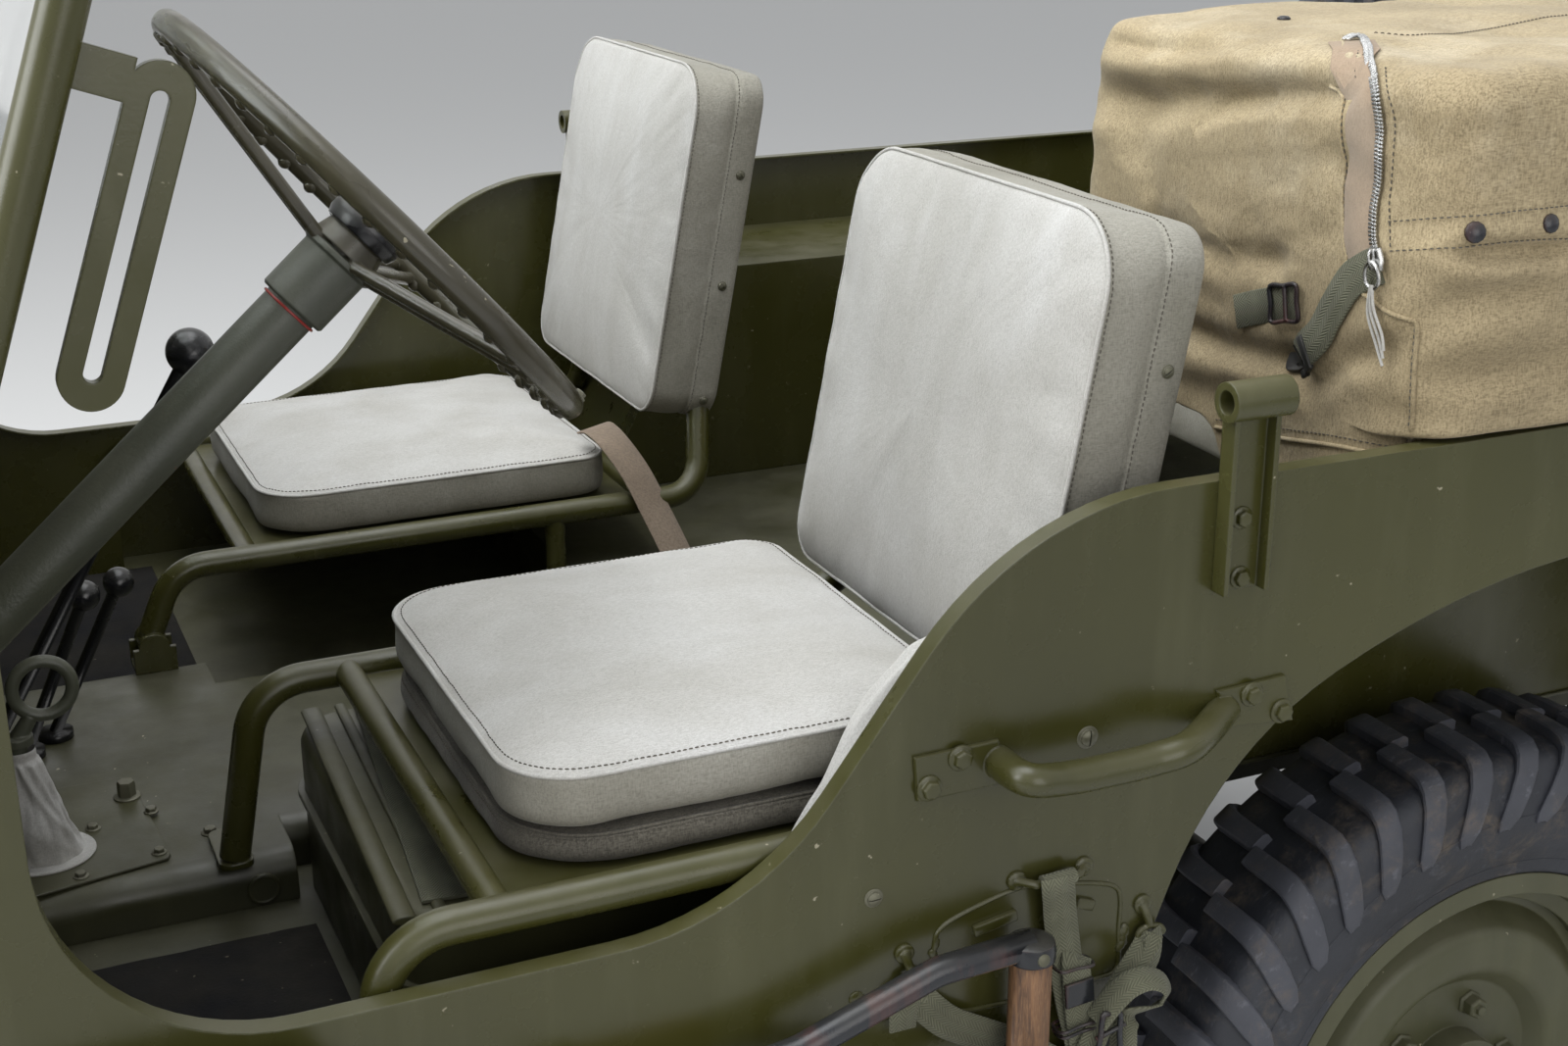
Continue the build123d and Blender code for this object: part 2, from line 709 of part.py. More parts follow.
# engine as one plain block with its two mounting arms, on its place between the rails
engine_front = -60.0
engine_rear = 470.0
engine_half = 150.0
engine_low = 480.0
engine_high = 905.0
engine_arm = (20.0, 60.0, 545.0, 557.0)
with BuildPart() as engine_block:
    with BuildSketch(deck(engine_low)) as engine_plan:
        with Locations((engine_front, 0)):
            Rectangle(engine_rear - engine_front, 2 * engine_half, align=(Align.MIN, Align.CENTER))
        fillet(engine_plan.vertices(), 18)
    extrude(amount=engine_high - engine_low)
    with BuildSketch(side(frame_half - frame_rail_width - seat_gap)):
        arm_front, arm_rear, arm_low, arm_high = engine_arm
        with Locations((arm_front, arm_low)):
            Rectangle(arm_rear - arm_front, arm_high - arm_low, align=(Align.MIN, Align.MIN))
    extrude(amount=2 * (frame_half - frame_rail_width - seat_gap))
engine_block.part.label = "engine_block"
export_step(engine_block.part, "parts/engine_block.step")

# radiator on the front cross member
with BuildPart() as radiator:
    with BuildSketch(deck(556.0 + seat_gap)):
        with Locations((-170, 0)):
            Rectangle(56, 470, align=(Align.MIN, Align.CENTER))
    extrude(amount=330)
    with BuildSketch(deck(886.0)) as header_tank:
        with Locations((-178, 0)):
            Rectangle(72, 470, align=(Align.MIN, Align.CENTER))
        fillet(header_tank.vertices(), 14)
    extrude(amount=48)
radiator.part.label = "radiator"
export_step(radiator.part, "parts/radiator.step")

# clutch housing, gearbox and the transfer case set towards the right
gearbox_low = 470.0
gearbox_high = 596.0
crank_height = 560.0
transfer_y = 120.0
transfer_z = 500.0
transfer_front = 800.0
transfer_rear = 1040.0
with BuildPart() as gearbox:
    with BuildSketch(side(0)):
        with BuildLine():
            Polyline(
                (engine_rear + seat_gap, crank_height),
                (engine_rear + seat_gap, crank_height + 148),
                (engine_rear + 22, crank_height + 148),
                (engine_rear + 96, crank_height + 84),
                (engine_rear + 96, crank_height),
                close=True,
            )
        make_face()
    revolve(axis=Axis((front_axle_x, 0, crank_height), (1, 0, 0)))
    with BuildSketch(across(engine_rear + 90)) as box_section:
        with Locations((0, gearbox_low)):
            Rectangle(168, gearbox_high - gearbox_low, align=(Align.CENTER, Align.MIN))
        fillet(box_section.vertices(), 22)
    extrude(amount=transfer_front - engine_rear - 90)
    with BuildSketch(across(transfer_front)) as transfer_section:
        with Locations((transfer_y - 64, gearbox_low)):
            Rectangle(232, gearbox_high - gearbox_low, align=(Align.CENTER, Align.MIN))
        fillet(transfer_section.vertices(), 40)
    extrude(amount=transfer_rear - transfer_front)
gearbox.part.label = "gearbox"
export_step(gearbox.part, "parts/gearbox.step")

# wheels, drawn on a half plane through the axle: local x outwards from the wheel's
# centre plane, local y the radius
wheel_y = track / 2
wheel_places = (
    ("front_left", 0.0, -1),
    ("front_right", 0.0, 1),
    ("rear_left", wheelbase, -1),
    ("rear_right", wheelbase, 1),
)
tyre_bead = rim_half_width - rim_sheet - seat_gap
tyre_bulge_radius = 284.0
tread_edge = (tyre_shoulder + 11, 336.0)
dish_sheet = 5.0
hub_outer = 46.0
hub_cap = (62.0, 30.0)
drum_inner = -72.0
drum_wall = 8.0
plate_gap = 2.0
plate_sheet = 4.0
spindle_end = 26.0
spindle_shoulder = drum_inner - plate_gap


def half_plane(station, hand):
    """Upright half plane through a wheel's axle, with local x pointing outwards."""
    return Plane(
        origin=(front_axle_x + station, hand * wheel_y, wheel_centre_z),
        x_dir=(0, hand, 0),
        z_dir=(hand, 0, 0),
    )


def axle_line(station):
    """Axis of rotation of the wheels at a station."""
    return Axis((front_axle_x + station, 0, wheel_centre_z), (0, 1, 0))


def draw_tyre():
    """Half section of the tyre."""
    walls = []
    for out in (-1, 1):
        walls.append(
            ThreePointArc(
                (out * tyre_bead, rim_flange_radius + 3),
                (out * tyre_half_section, tyre_bulge_radius),
                (out * tread_edge[0], tread_edge[1]),
            )
        )
    Polyline(walls[0] @ 1, (-tyre_shoulder, tyre_radius), (tyre_shoulder, tyre_radius), walls[1] @ 1)
    Polyline(
        walls[0] @ 0,
        (-tyre_bead, bead_radius + seat_gap),
        (tyre_bead, bead_radius + seat_gap),
        walls[1] @ 0,
    )


def draw_rim():
    """Half section of the drop-centre rim."""
    Polyline(
        (-rim_half_width, rim_flange_radius),
        (-rim_half_width + rim_sheet, rim_flange_radius),
        (-rim_half_width + rim_sheet, bead_radius),
        (-26, bead_radius - 5),
        (-19, rim_well_radius),
        (19, rim_well_radius),
        (26, bead_radius - 5),
        (rim_half_width - rim_sheet, bead_radius),
        (rim_half_width - rim_sheet, rim_flange_radius),
        (rim_half_width, rim_flange_radius),
        (rim_half_width, bead_radius - rim_sheet),
        (28, bead_radius - 5 - rim_sheet),
        (22, rim_well_radius - rim_sheet),
        (-22, rim_well_radius - rim_sheet),
        (-28, bead_radius - 5 - rim_sheet),
        (-rim_half_width, bead_radius - rim_sheet),
        close=True,
    )


def draw_dish(inner_radius):
    """Half section of the pressed wheel dish, from the rim well to its seat on the hub."""
    FilletPolyline(
        (4, rim_well_radius - rim_sheet + 1),
        (4, 166),
        (31, 146),
        (31, 112),
        (dish_seat, 94),
        (dish_seat, inner_radius),
        radius=(6, 10, 10, 8),
    )
    offset(amount=dish_sheet, side=Side.LEFT)


for corner, station, hand in wheel_places:
    with BuildPart() as tyre:
        with BuildSketch(half_plane(station, hand)):
            with BuildLine():
                draw_tyre()
            make_face()
        revolve(axis=axle_line(station))
    tyre.part.label = f"tyre_{corner}"
    export_step(tyre.part, f"parts/tyre_{corner}.step")

    with BuildPart() as wheel:
        with BuildSketch(half_plane(station, hand)):
            with BuildLine():
                draw_rim()
            make_face()
            with BuildLine():
                draw_dish(hub_radius - 2)
            make_face()
            with BuildLine():
                Polyline(
                    (hub_inner, spindle_radius + running_clearance),
                    (spindle_end + 2, spindle_radius + running_clearance),
                    (spindle_end + 2, 0),
                    (hub_cap[0], 0),
                    (hub_cap[0], hub_cap[1]),
                    (hub_outer, hub_cap[1] + 3),
                    (hub_outer, hub_radius),
                    (dish_seat, hub_radius),
                    (dish_seat, 86),
                    (dish_seat - 8, 92),
                    (dish_seat - 8, drum_radius),
                    (drum_inner, drum_radius),
                    (drum_inner, drum_radius - drum_wall),
                    (dish_seat - 18, drum_radius - drum_wall),
                    (dish_seat - 18, hub_radius + 6),
                    (hub_inner, hub_radius - 4),
                    close=True,
                )
            make_face()
        revolve(axis=axle_line(station))
    wheel.part.label = f"wheel_{corner}"
    export_step(wheel.part, f"parts/wheel_{corner}.step")

# axles: tube, differential set towards the right, spring pads and pinion nose
diff_half = 52.0
pinion_reach = 200.0
ball_radius = 60.0
kingpin_radius = 12.0
kingpin_half = 76.0
knuckle_y = wheel_y - knuckle_offset
pad_height = 400.0
for name, station, nose, tube_end in (
    ("front_axle", 0.0, 1, knuckle_y),
    ("rear_axle", wheelbase, -1, wheel_y + spindle_shoulder - plate_sheet),
):
    with BuildPart() as axle:
        with BuildSketch(Plane(origin=(front_axle_x + station, -tube_end, wheel_centre_z), z_dir=(0, 1, 0))):
            Circle(axle_tube_radius)
        extrude(amount=2 * tube_end)
        with BuildSketch(
            Plane(
                origin=(front_axle_x + station, diff_offset, wheel_centre_z), x_dir=(nose, 0, 0), z_dir=(0, -nose, 0)
            )
        ):
            with BuildLine():
                cover = ThreePointArc((-diff_half - 46, 0), (-diff_half - 32, 56), (-diff_half, 92))
                Polyline(
                    cover @ 1,
                    (-diff_half, diff_radius),
                    (-diff_half + 14, diff_radius),
                    (-diff_half + 24, diff_radius - 12),
                    (diff_half - 6, diff_radius - 24),
                    (diff_half + 60, 54),
                    (pinion_reach, 44),
                    (pinion_reach, 0),
                    cover @ 0,
                )
            make_face()
        revolve(
            axis=Axis((front_axle_x + station, diff_offset, wheel_centre_z), (1, 0, 0))
        )
        for hand in (-1, 1):
            with BuildSketch(side(hand * spring_y - spring_width / 2)):
                with Locations((station, pad_height)):
                    Rectangle(104, pad_height - wheel_centre_z, align=(Align.CENTER, Align.MAX))
            extrude(amount=-spring_width)
            if name == "front_axle":
                with Locations((front_axle_x, hand * knuckle_y, wheel_centre_z)):
                    Sphere(ball_radius)
                    Cylinder(kingpin_radius, 2 * kingpin_half)
            else:
                with BuildSketch(half_plane(station, hand)):
                    with Locations((spindle_shoulder, 0)):
                        Rectangle(plate_sheet, drum_radius - 2, align=(Align.MAX, Align.MIN))
                        Rectangle(
                            spindle_end - spindle_shoulder, spindle_radius, align=(Align.MIN, Align.MIN)
                        )
                revolve(axis=axle_line(station))
    axle.part.label = name
    export_step(axle.part, f"parts/{name}.step")

# steering knuckles over the axle balls, with spindle, brake plate and track rod arm
knuckle_gap = 0.3
knuckle_wall = 8.0
boss_radius = 24.0
boss_height = 82.0
arm_reach = 150.0
arm_low = 266.0
arm_high = 278.0
rod_pin_radius = 8.0
rod_pin_low = 244.0
rod_low = 246.0
rod_high = 262.0
for name, hand in (("left_knuckle", -1), ("right_knuckle", 1)):
    with BuildPart() as knuckle:
        with BuildSketch(half_plane(0, hand)):
            with BuildLine():
                cup = CenterArc((-knuckle_offset, 0), ball_radius + knuckle_wall, 0, 90)
                Polyline(cup @ 1, (-knuckle_offset, 0), cup @ 0)
            make_face()
            with Locations((spindle_shoulder, 0)):
                Rectangle(knuckle_offset - ball_radius, 42, align=(Align.MAX, Align.MIN))
                Rectangle(plate_sheet, drum_radius - 2, align=(Align.MAX, Align.MIN))
                Rectangle(spindle_end - spindle_shoulder, spindle_radius, align=(Align.MIN, Align.MIN))
        revolve(axis=axle_line(0))
        with Locations((front_axle_x, hand * knuckle_y, wheel_centre_z)):
            Cylinder(boss_radius, 2 * boss_height)
        with BuildSketch(deck(arm_low)):
            with Locations((arm_reach / 2, hand * knuckle_y)):
                SlotCenterToCenter(arm_reach, 34)
        extrude(amount=arm_high - arm_low)
        with Locations((front_axle_x, hand * knuckle_y, wheel_centre_z)):
            Sphere(ball_radius + knuckle_gap, mode=Mode.SUBTRACT)
            Cylinder(kingpin_radius + running_clearance, 2 * (kingpin_half + 1), mode=Mode.SUBTRACT)
        with BuildSketch(deck(rod_pin_low)):
            with Locations((arm_reach, hand * knuckle_y)):
                Circle(rod_pin_radius)
        extrude(amount=arm_high - rod_pin_low)
    knuckle.part.label = name
    export_step(knuckle.part, f"parts/{name}.step")

# track rod between the two arms
rod_radius = 11.0
eye_outer_radius = 18.0
rod_middle = (rod_low + rod_high) / 2
with BuildPart() as track_rod:
    with BuildSketch(Plane(origin=(front_axle_x + arm_reach, -knuckle_y, rod_middle), z_dir=(0, 1, 0))):
        Circle(rod_radius)
    extrude(amount=2 * knuckle_y)
    with BuildSketch(deck(rod_low)):
        with Locations((arm_reach, -knuckle_y), (arm_reach, knuckle_y)):
            Circle(eye_outer_radius)
    extrude(amount=rod_high - rod_low)
    with BuildSketch(deck(rod_low - rod_radius)):
        with Locations((arm_reach, -knuckle_y), (arm_reach, knuckle_y)):
            Circle(rod_pin_radius + running_clearance)
    extrude(amount=rod_high - rod_low + 2 * rod_radius, mode=Mode.SUBTRACT)
track_rod.part.label = "track_rod"
export_step(track_rod.part, "parts/track_rod.step")

# leaf springs: flat stacks of shorter and shorter leaves under a long leaf with eyes
spring_arc = 10350.0
leaf_halves = (110.0, 185.0, 255.0, 325.0, 390.0, spring_half_span)
spring_low = pad_height + seat_gap
eye_radius = 14.0


def leaf_rise(half):
    """Height that a leaf's end stands above its middle."""
    return spring_arc - (spring_arc**2 - half**2) ** 0.5


with BuildPart() as leaf_springs:
    for station in (0.0, wheelbase):
        with BuildSketch(side(spring_y - spring_width / 2)):
            for place, half in enumerate(leaf_halves):
                low = spring_low + place * spring_leaf
                end = low + leaf_rise(half)
                with BuildLine():
                    ThreePointArc((station - half, end), (station, low), (station + half, end))
                    ThreePointArc(
                        (station - half, end + spring_leaf),
                        (station, low + spring_leaf),
                        (station + half, end + spring_leaf),
                    )
                    Line((station - half, end), (station - half, end + spring_leaf))
                    Line((station + half, end), (station + half, end + spring_leaf))
                make_face()
            eye_height = spring_low + 5 * spring_leaf + leaf_rise(spring_half_span) + spring_leaf - eye_radius
            with Locations((station - spring_half_span, eye_height), (station + spring_half_span, eye_height)):
                Circle(eye_radius)
                Circle(5, mode=Mode.SUBTRACT)
        extrude(amount=-spring_width)
    mirror(about=Plane.XZ)
leaf_springs.part.label = "leaf_springs"
export_step(leaf_springs.part, "parts/leaf_springs.step")

# drive shafts from the transfer case to the pinions, with joint balls and end flanges
flange_thickness = 12.0
flange_radius = 30.0
shaft_ball = 24.0
shaft_tube = 21.0
ball_offset = 28.0
with BuildPart() as drive_shafts:
    for low_station, high_station in (
        (pinion_reach + seat_gap, transfer_front - seat_gap),
        (wheelbase - pinion_reach - seat_gap, transfer_rear + seat_gap),
    ):
        towards = 1 if high_station > low_station else -1
        for station, reach, flange_y, flange_z in (
            (low_station, towards, diff_offset, wheel_centre_z),
            (high_station, -towards, transfer_y, transfer_z),
        ):
            with BuildSketch(across(station)):
                with Locations((flange_y, flange_z)):
                    Circle(flange_radius)
            extrude(amount=reach * flange_thickness)
        low_end = Vector(front_axle_x + low_station + towards * ball_offset, diff_offset, wheel_centre_z)
        high_end = Vector(front_axle_x + high_station - towards * ball_offset, transfer_y, transfer_z)
        with Locations(low_end, high_end):
            Sphere(shaft_ball)
        with BuildSketch(Plane(origin=low_end, z_dir=high_end - low_end)):
            Circle(shaft_tube)
        extrude(amount=(high_end - low_end).length)
drive_shafts.part.label = "drive_shafts"
export_step(drive_shafts.part, "parts/drive_shafts.step")

# exhaust pipe down from the engine, silencer under the right side and tail pipe
muffler_y = 455.0
pipe_radius = 21.0
pipe_low = 385.0
muffler_ends = (900.0, 1330.0)
with BuildPart() as exhaust:
    with BuildLine():
        down_pipe = FilletPolyline(
            (front_axle_x + 380, engine_half + seat_gap, 640),
            (front_axle_x + 380, 238, 640),
            (front_axle_x + 380, 238, pipe_low),
            (front_axle_x + 640, muffler_y, pipe_low),
            (front_axle_x + muffler_ends[0] + 10, muffler_y, pipe_low),
            radius=48,
        )
    with BuildSketch(Plane(origin=down_pipe @ 0, z_dir=down_pipe % 0)):
        Circle(pipe_radius)
    sweep()
    with BuildLine():
        tail_line = FilletPolyline(
            (front_axle_x + muffler_ends[1] - 10, muffler_y, pipe_low),
            (front_axle_x + 1440, muffler_y, pipe_low),
            (front_axle_x + 1540, 640, pipe_low),
            (front_axle_x + 1540, 722, pipe_low),
            radius=44,
        )
    with BuildSketch(Plane(origin=tail_line @ 0, z_dir=tail_line % 0)):
        Circle(pipe_radius - 3)
    sweep()
    with BuildSketch(across(muffler_ends[0])):
        with Locations((muffler_y, pipe_low)):
            Ellipse(68, 52)
    extrude(amount=muffler_ends[1] - muffler_ends[0])
    fillet(exhaust.edges().filter_by(GeomType.ELLIPSE), 10)
    with BuildSketch(across(1080)):
        with Locations((frame_half + seat_gap, pipe_low + 30)):
            Rectangle(muffler_y - frame_half, 74, align=(Align.MIN, Align.MIN))
    extrude(amount=4)
exhaust.part.label = "exhaust"
export_step(exhaust.part, "parts/exhaust.step")

# fuel tank under the driver's seat
tank_front = 1075.0
tank_rear = 1430.0
tank_outer = -600.0
tank_inner = -192.0
tank_height = 715.0
tank_rib = 6.0
with BuildPart() as fuel_tank:
    with BuildSketch(deck(front_floor + seat_gap)) as tank_plan:
        with Locations((tank_front, tank_outer)):
            Rectangle(tank_rear - tank_front, tank_inner - tank_outer, align=(Align.MIN, Align.MIN))
        fillet(tank_plan.vertices(), 40)
    extrude(amount=tank_height - front_floor - seat_gap)
    fillet(fuel_tank.faces().sort_by(Axis.Z)[-1].edges(), 16)
    with BuildSketch(deck(front_floor + 92)):
        add(tank_plan.sketch_local)
        offset(amount=tank_rib)
    extrude(amount=5)
fuel_tank.part.label = "fuel_tank"
export_step(fuel_tank.part, "parts/fuel_tank.step")

# steering: box on the left rail, column tube with a strut to the dash, and the wheel with its shaft
box_front = 400.0
box_rear = 492.0
box_top = 634.0
strut_station = 806.0
with BuildPart() as steering_column:
    with BuildSketch(Plane(origin=column_foot, z_dir=column_run)):
        Circle(column_radius)
    extrude(amount=(column_top - column_foot).length)
    with BuildSketch(deck(frame_top + seat_gap)) as box_plan:
        with Locations(((box_front + box_rear) / 2, steering_centre[1] - 6)):
            Rectangle(box_rear - box_front, 84)
        fillet(box_plan.vertices(), 16)
    extrude(amount=box_top - frame_top - seat_gap)
    with BuildSketch(deck(dash_bottom - seat_gap)):
        with Locations((strut_station + 8, steering_centre[1])):
            Rectangle(16, 36)
    extrude(amount=-36)
    with BuildSketch(Plane(origin=column_top, z_dir=-column_run)):
        Circle(shaft_radius + running_clearance)
    extrude(amount=80, mode=Mode.SUBTRACT)
steering_column.part.label = "steering_column"
export_step(steering_column.part, "parts/steering_column.step")

spoke_count = 3
spoke_rod = 5.5
spoke_spread = 9.0
spoke_drop = 40.0
spoke_lift = 7.0
steering_plane = Plane(origin=wheel_centre, x_dir=(0, 1, 0), z_dir=column_run)
with BuildPart() as steering_wheel:
    with BuildSketch(Plane(origin=wheel_centre, x_dir=(0, 1, 0), z_dir=column_run.cross(Vector(0, 1, 0)))):
        with Locations((steering_rim_radius, 0)):
            Circle(steering_rim_tube)
    revolve(axis=Axis(wheel_centre, column_run))
    with BuildSketch(steering_plane.offset(-34)):
        Circle(30)
    extrude(amount=38, taper=14)
    with BuildSketch(steering_plane.offset(-70)):
        Circle(20)
    extrude(amount=40)
    with BuildSketch(steering_plane.offset(-column_head - 60)):
        Circle(shaft_radius)
    extrude(amount=80)
    for spoke in range(spoke_count):
        for hand in (-1, 1):
            spoke_plane = Plane(
                origin=wheel_centre,
                x_dir=steering_plane.x_dir.rotate(Axis((0, 0, 0), column_run), 90 + spoke * 360 / spoke_count),
                z_dir=column_run,
            )
            spoke_root = spoke_plane.from_local_coords((10, hand * spoke_spread, -spoke_drop))
            spoke_tip = spoke_plane.from_local_coords((steering_rim_radius, hand * spoke_spread, -spoke_lift))
            with BuildSketch(Plane(origin=spoke_root, z_dir=spoke_tip - spoke_root)):
                Circle(spoke_rod)
            extrude(amount=(spoke_tip - spoke_root).length)
steering_wheel.part.label = "steering_wheel"
export_step(steering_wheel.part, "parts/steering_wheel.step")

# windscreen: outer tube, lower panel, inner glass frame, panes, slotted arms and the rifle rack.
# Local x points to the right side, local y up the slope from the hinge, local z rearwards.
slope = radians(screen_rake)
screen_plane = Plane(
    origin=(front_axle_x + screen_hinge[0], 0, screen_hinge[1]), x_dir=(0, 1, 0), z_dir=(cos(slope), 0, -sin(slope))
)
hinge_line = Plane(origin=(front_axle_x + screen_hinge[0], 0, screen_hinge[1]), z_dir=(0, 1, 0))
with BuildPart() as windscreen_frame:
    with BuildSketch(screen_plane):
        with Locations((0, 5)):
            Rectangle(2 * screen_half - 6, screen_panel_height - 5, align=(Align.CENTER, Align.MIN))
        for place in hinge_places:
            with Locations((place, 0)):
                Rectangle(hinge_width + 8, 56, mode=Mode.SUBTRACT)
    extrude(amount=sheet / 2, both=True)
    with BuildLine(screen_plane):
        screen_line = FilletPolyline(
            (-screen_half, 0), (-screen_half, screen_height), (screen_half, screen_height), (screen_half, 0),
            radius=60,
        )
    with BuildSketch(Plane(origin=screen_line @ 0, z_dir=screen_line % 0)):
        Circle(screen_tube)
    sweep()
    with BuildSketch(hinge_line.offset(-screen_half - 8)):
        Circle(screen_hinge_tube)
    extrude(amount=2 * screen_half + 16)
windscreen_frame.part.label = "windscreen_frame"
export_step(windscreen_frame.part, "parts/windscreen_frame.step")

glass_frame_half = screen_half - screen_tube - seat_gap
glass_low = screen_panel_height + seat_gap
glass_high = screen_height - screen_tube - seat_gap
glass_bar_depth = 14.0
with BuildPart() as glass_frame:
    with BuildSketch(screen_plane.offset(-glass_bar_depth / 2)):
        with Locations((0, (glass_low + glass_high) / 2)):
            RectangleRounded(2 * glass_frame_half, glass_high - glass_low, 47)
        for pane in (-1, 1):
            with Locations((pane * glass_frame_half / 2, (glass_low + glass_high) / 2)):
                RectangleRounded(
                    glass_frame_half - 1.5 * glass_bar, glass_high - glass_low - 2 * glass_bar, 26, mode=Mode.SUBTRACT
                )
    extrude(amount=glass_bar_depth)
glass_frame.part.label = "glass_frame"
export_step(glass_frame.part, "parts/glass_frame.step")

with BuildPart() as windscreen_glass:
    with BuildSketch(screen_plane.offset(-glass_thickness / 2)):
        for pane in (-1, 1):
            with Locations((pane * glass_frame_half / 2, (glass_low + glass_high) / 2)):
                RectangleRounded(
                    glass_frame_half - 1.5 * glass_bar - 2 * seat_gap,
                    glass_high - glass_low - 2 * glass_bar - 2 * seat_gap,
                    26,
                )
    extrude(amount=glass_thickness)
windscreen_glass.part.label = "windscreen_glass"
export_step(windscreen_glass.part, "parts/windscreen_glass.step")

# slotted arms that hold the glass frame open, hung from brackets on the side tubes
arm_y = 698.0
arm_offset = 62.0
arm_width = 38.0
arm_ends = (92.0, 298.0)
with BuildPart() as screen_arms:
    with BuildSketch(Plane(origin=screen_plane.from_local_coords((arm_y, 0, 0)), x_dir=screen_plane.z_dir, z_dir=(0, -1, 0))):
        with Locations((arm_offset, (arm_ends[0] + arm_ends[1]) / 2)):
            SlotOverall(arm_ends[1] - arm_ends[0], arm_width, rotation=90)
            SlotOverall(arm_ends[1] - arm_ends[0] - 34, 11, rotation=90, mode=Mode.SUBTRACT)
        with Locations((screen_tube - 1, arm_ends[1] - 16)):
            Rectangle(arm_offset - arm_width / 2 - screen_tube + 3, 26, align=(Align.MIN, Align.CENTER))
    extrude(amount=4, both=True)
    mirror(about=Plane.XZ)
screen_arms.part.label = "screen_arms"
export_step(screen_arms.part, "parts/screen_arms.step")

# seats: tube frames with a pan and leaning backs; the right one hinges at its front feet
seat_table = (
    # side, height of the pan, shift of the back
    ("driver", -1, 768.0, 0.0),
    ("passenger", 1, 712.0, 46.0),
)
seat_foot = 1008.0
seat_back_station = 1592.0
seat_pivot_z = 632.0
for name, hand, pan_height, back_shift in seat_table:
    back_foot = seat_back_station + back_shift
    back_top = (back_foot + (seat_back_height - pan_height) * tan(radians(recline)), seat_back_height)
    back_neck = (back_foot + seat_back_neck * tan(radians(recline)), pan_height + seat_back_neck)
    inner_y = hand * (seat_centre - seat_half)
    outer_y = hand * (seat_centre + seat_half)
    inner_top = hand * (seat_centre - seat_back_half)
    outer_top = hand * (seat_centre + seat_back_half)
    with BuildPart() as seat_frame:
        for rail_y, top_y, foot in ((inner_y, inner_top, tunnel_top), (outer_y, outer_top, front_floor)):
            start = foot + 6 if name == "driver" else seat_pivot_z + 11
            with BuildLine():
                rail_line = FilletPolyline(
                    (front_axle_x + seat_foot, rail_y, start),
                    (front_axle_x + seat_foot + 30, rail_y, pan_height),
                    (front_axle_x + back_foot, rail_y, pan_height),
                    (front_axle_x + back_neck[0], top_y, back_neck[1]),
                    (front_axle_x + back_top[0], top_y, back_top[1]),
                    radius=(52, 46, 40),
                )
            with BuildSketch(Plane(origin=rail_line @ 0, z_dir=rail_line % 0)):
                Circle(seat_tube)
            sweep()
            with BuildSketch(deck(front_floor + seat_gap)):
                with Locations((tunnel_rear + 22, rail_y)):
                    Circle(seat_tube - 2)
            extrude(amount=pan_height - front_floor - seat_gap)
        for station, height, cross_half in (
            (back_top[0], back_top[1], seat_back_half),
            (back_foot - 60, pan_height, seat_half),
            (seat_foot + 110, pan_height, seat_half),
        ):
            with BuildSketch(Plane(origin=(front_axle_x + station, hand * seat_centre - cross_half, height), z_dir=(0, 1, 0))):
                Circle(seat_cross_tube)
            extrude(amount=2 * cross_half)
        for corner_y in (inner_top, outer_top):
            with Locations((front_axle_x + back_top[0], corner_y, back_top[1])):
                Sphere(seat_tube + 0.6)
        with BuildSketch(deck(pan_height - 4)):
            with Locations(((seat_foot + 110 + back_foot - 60) / 2, hand * seat_centre)):
                Rectangle(back_foot - 170 - seat_foot, 2 * seat_half)
        extrude(amount=3)
        if name == "driver":
            with BuildSketch(deck(tunnel_top + seat_gap)):
                with Locations((seat_foot, inner_y + 22)):
                    RectangleRounded(30, 74, 10)
            extrude(amount=5)
            with BuildSketch(deck(front_floor + seat_gap)):
                with Locations((seat_foot, outer_y)):
                    RectangleRounded(54, 40, 10)
            extrude(amount=5)
        else:
            for rail_y in (inner_y, outer_y):
                with BuildSketch(side(rail_y + 14)):
                    with Locations((seat_foot, seat_pivot_z)):
                        Circle(seat_tube + 2)
                extrude(amount=28)
                with BuildSketch(side(rail_y + 20)):
                    with Locations((seat_foot, seat_pivot_z)):
                        Circle(8 + running_clearance)
                extrude(amount=40, mode=Mode.SUBTRACT)
    seat_frame.part.label = f"{name}_seat_frame"
    export_step(seat_frame.part, f"parts/{name}_seat_frame.step")

# floor brackets with the pins of the folding seat
with BuildPart() as seat_brackets:
    for rail_y, foot in ((seat_centre - seat_half, tunnel_top), (seat_centre + seat_half, front_floor)):
        with BuildSketch(side(rail_y + 20)):
            with Locations((seat_foot, foot + seat_gap)):
                Rectangle(44, seat_pivot_z - foot, align=(Align.CENTER, Align.MIN))
            with Locations((seat_foot, seat_pivot_z)):
                Circle(16)
        extrude(amount=40)
        with BuildSketch(side(rail_y + 14.5)):
            with Locations((seat_foot, foot + seat_gap + 5)):
                Rectangle(60, 200, align=(Align.CENTER, Align.MIN))
        extrude(amount=29, mode=Mode.SUBTRACT)
        with BuildSketch(side(rail_y + 20)):
            with Locations((seat_foot, seat_pivot_z)):
                Circle(8)
        extrude(amount=40)
seat_brackets.part.label = "seat_brackets"
export_step(seat_brackets.part, "parts/seat_brackets.step")

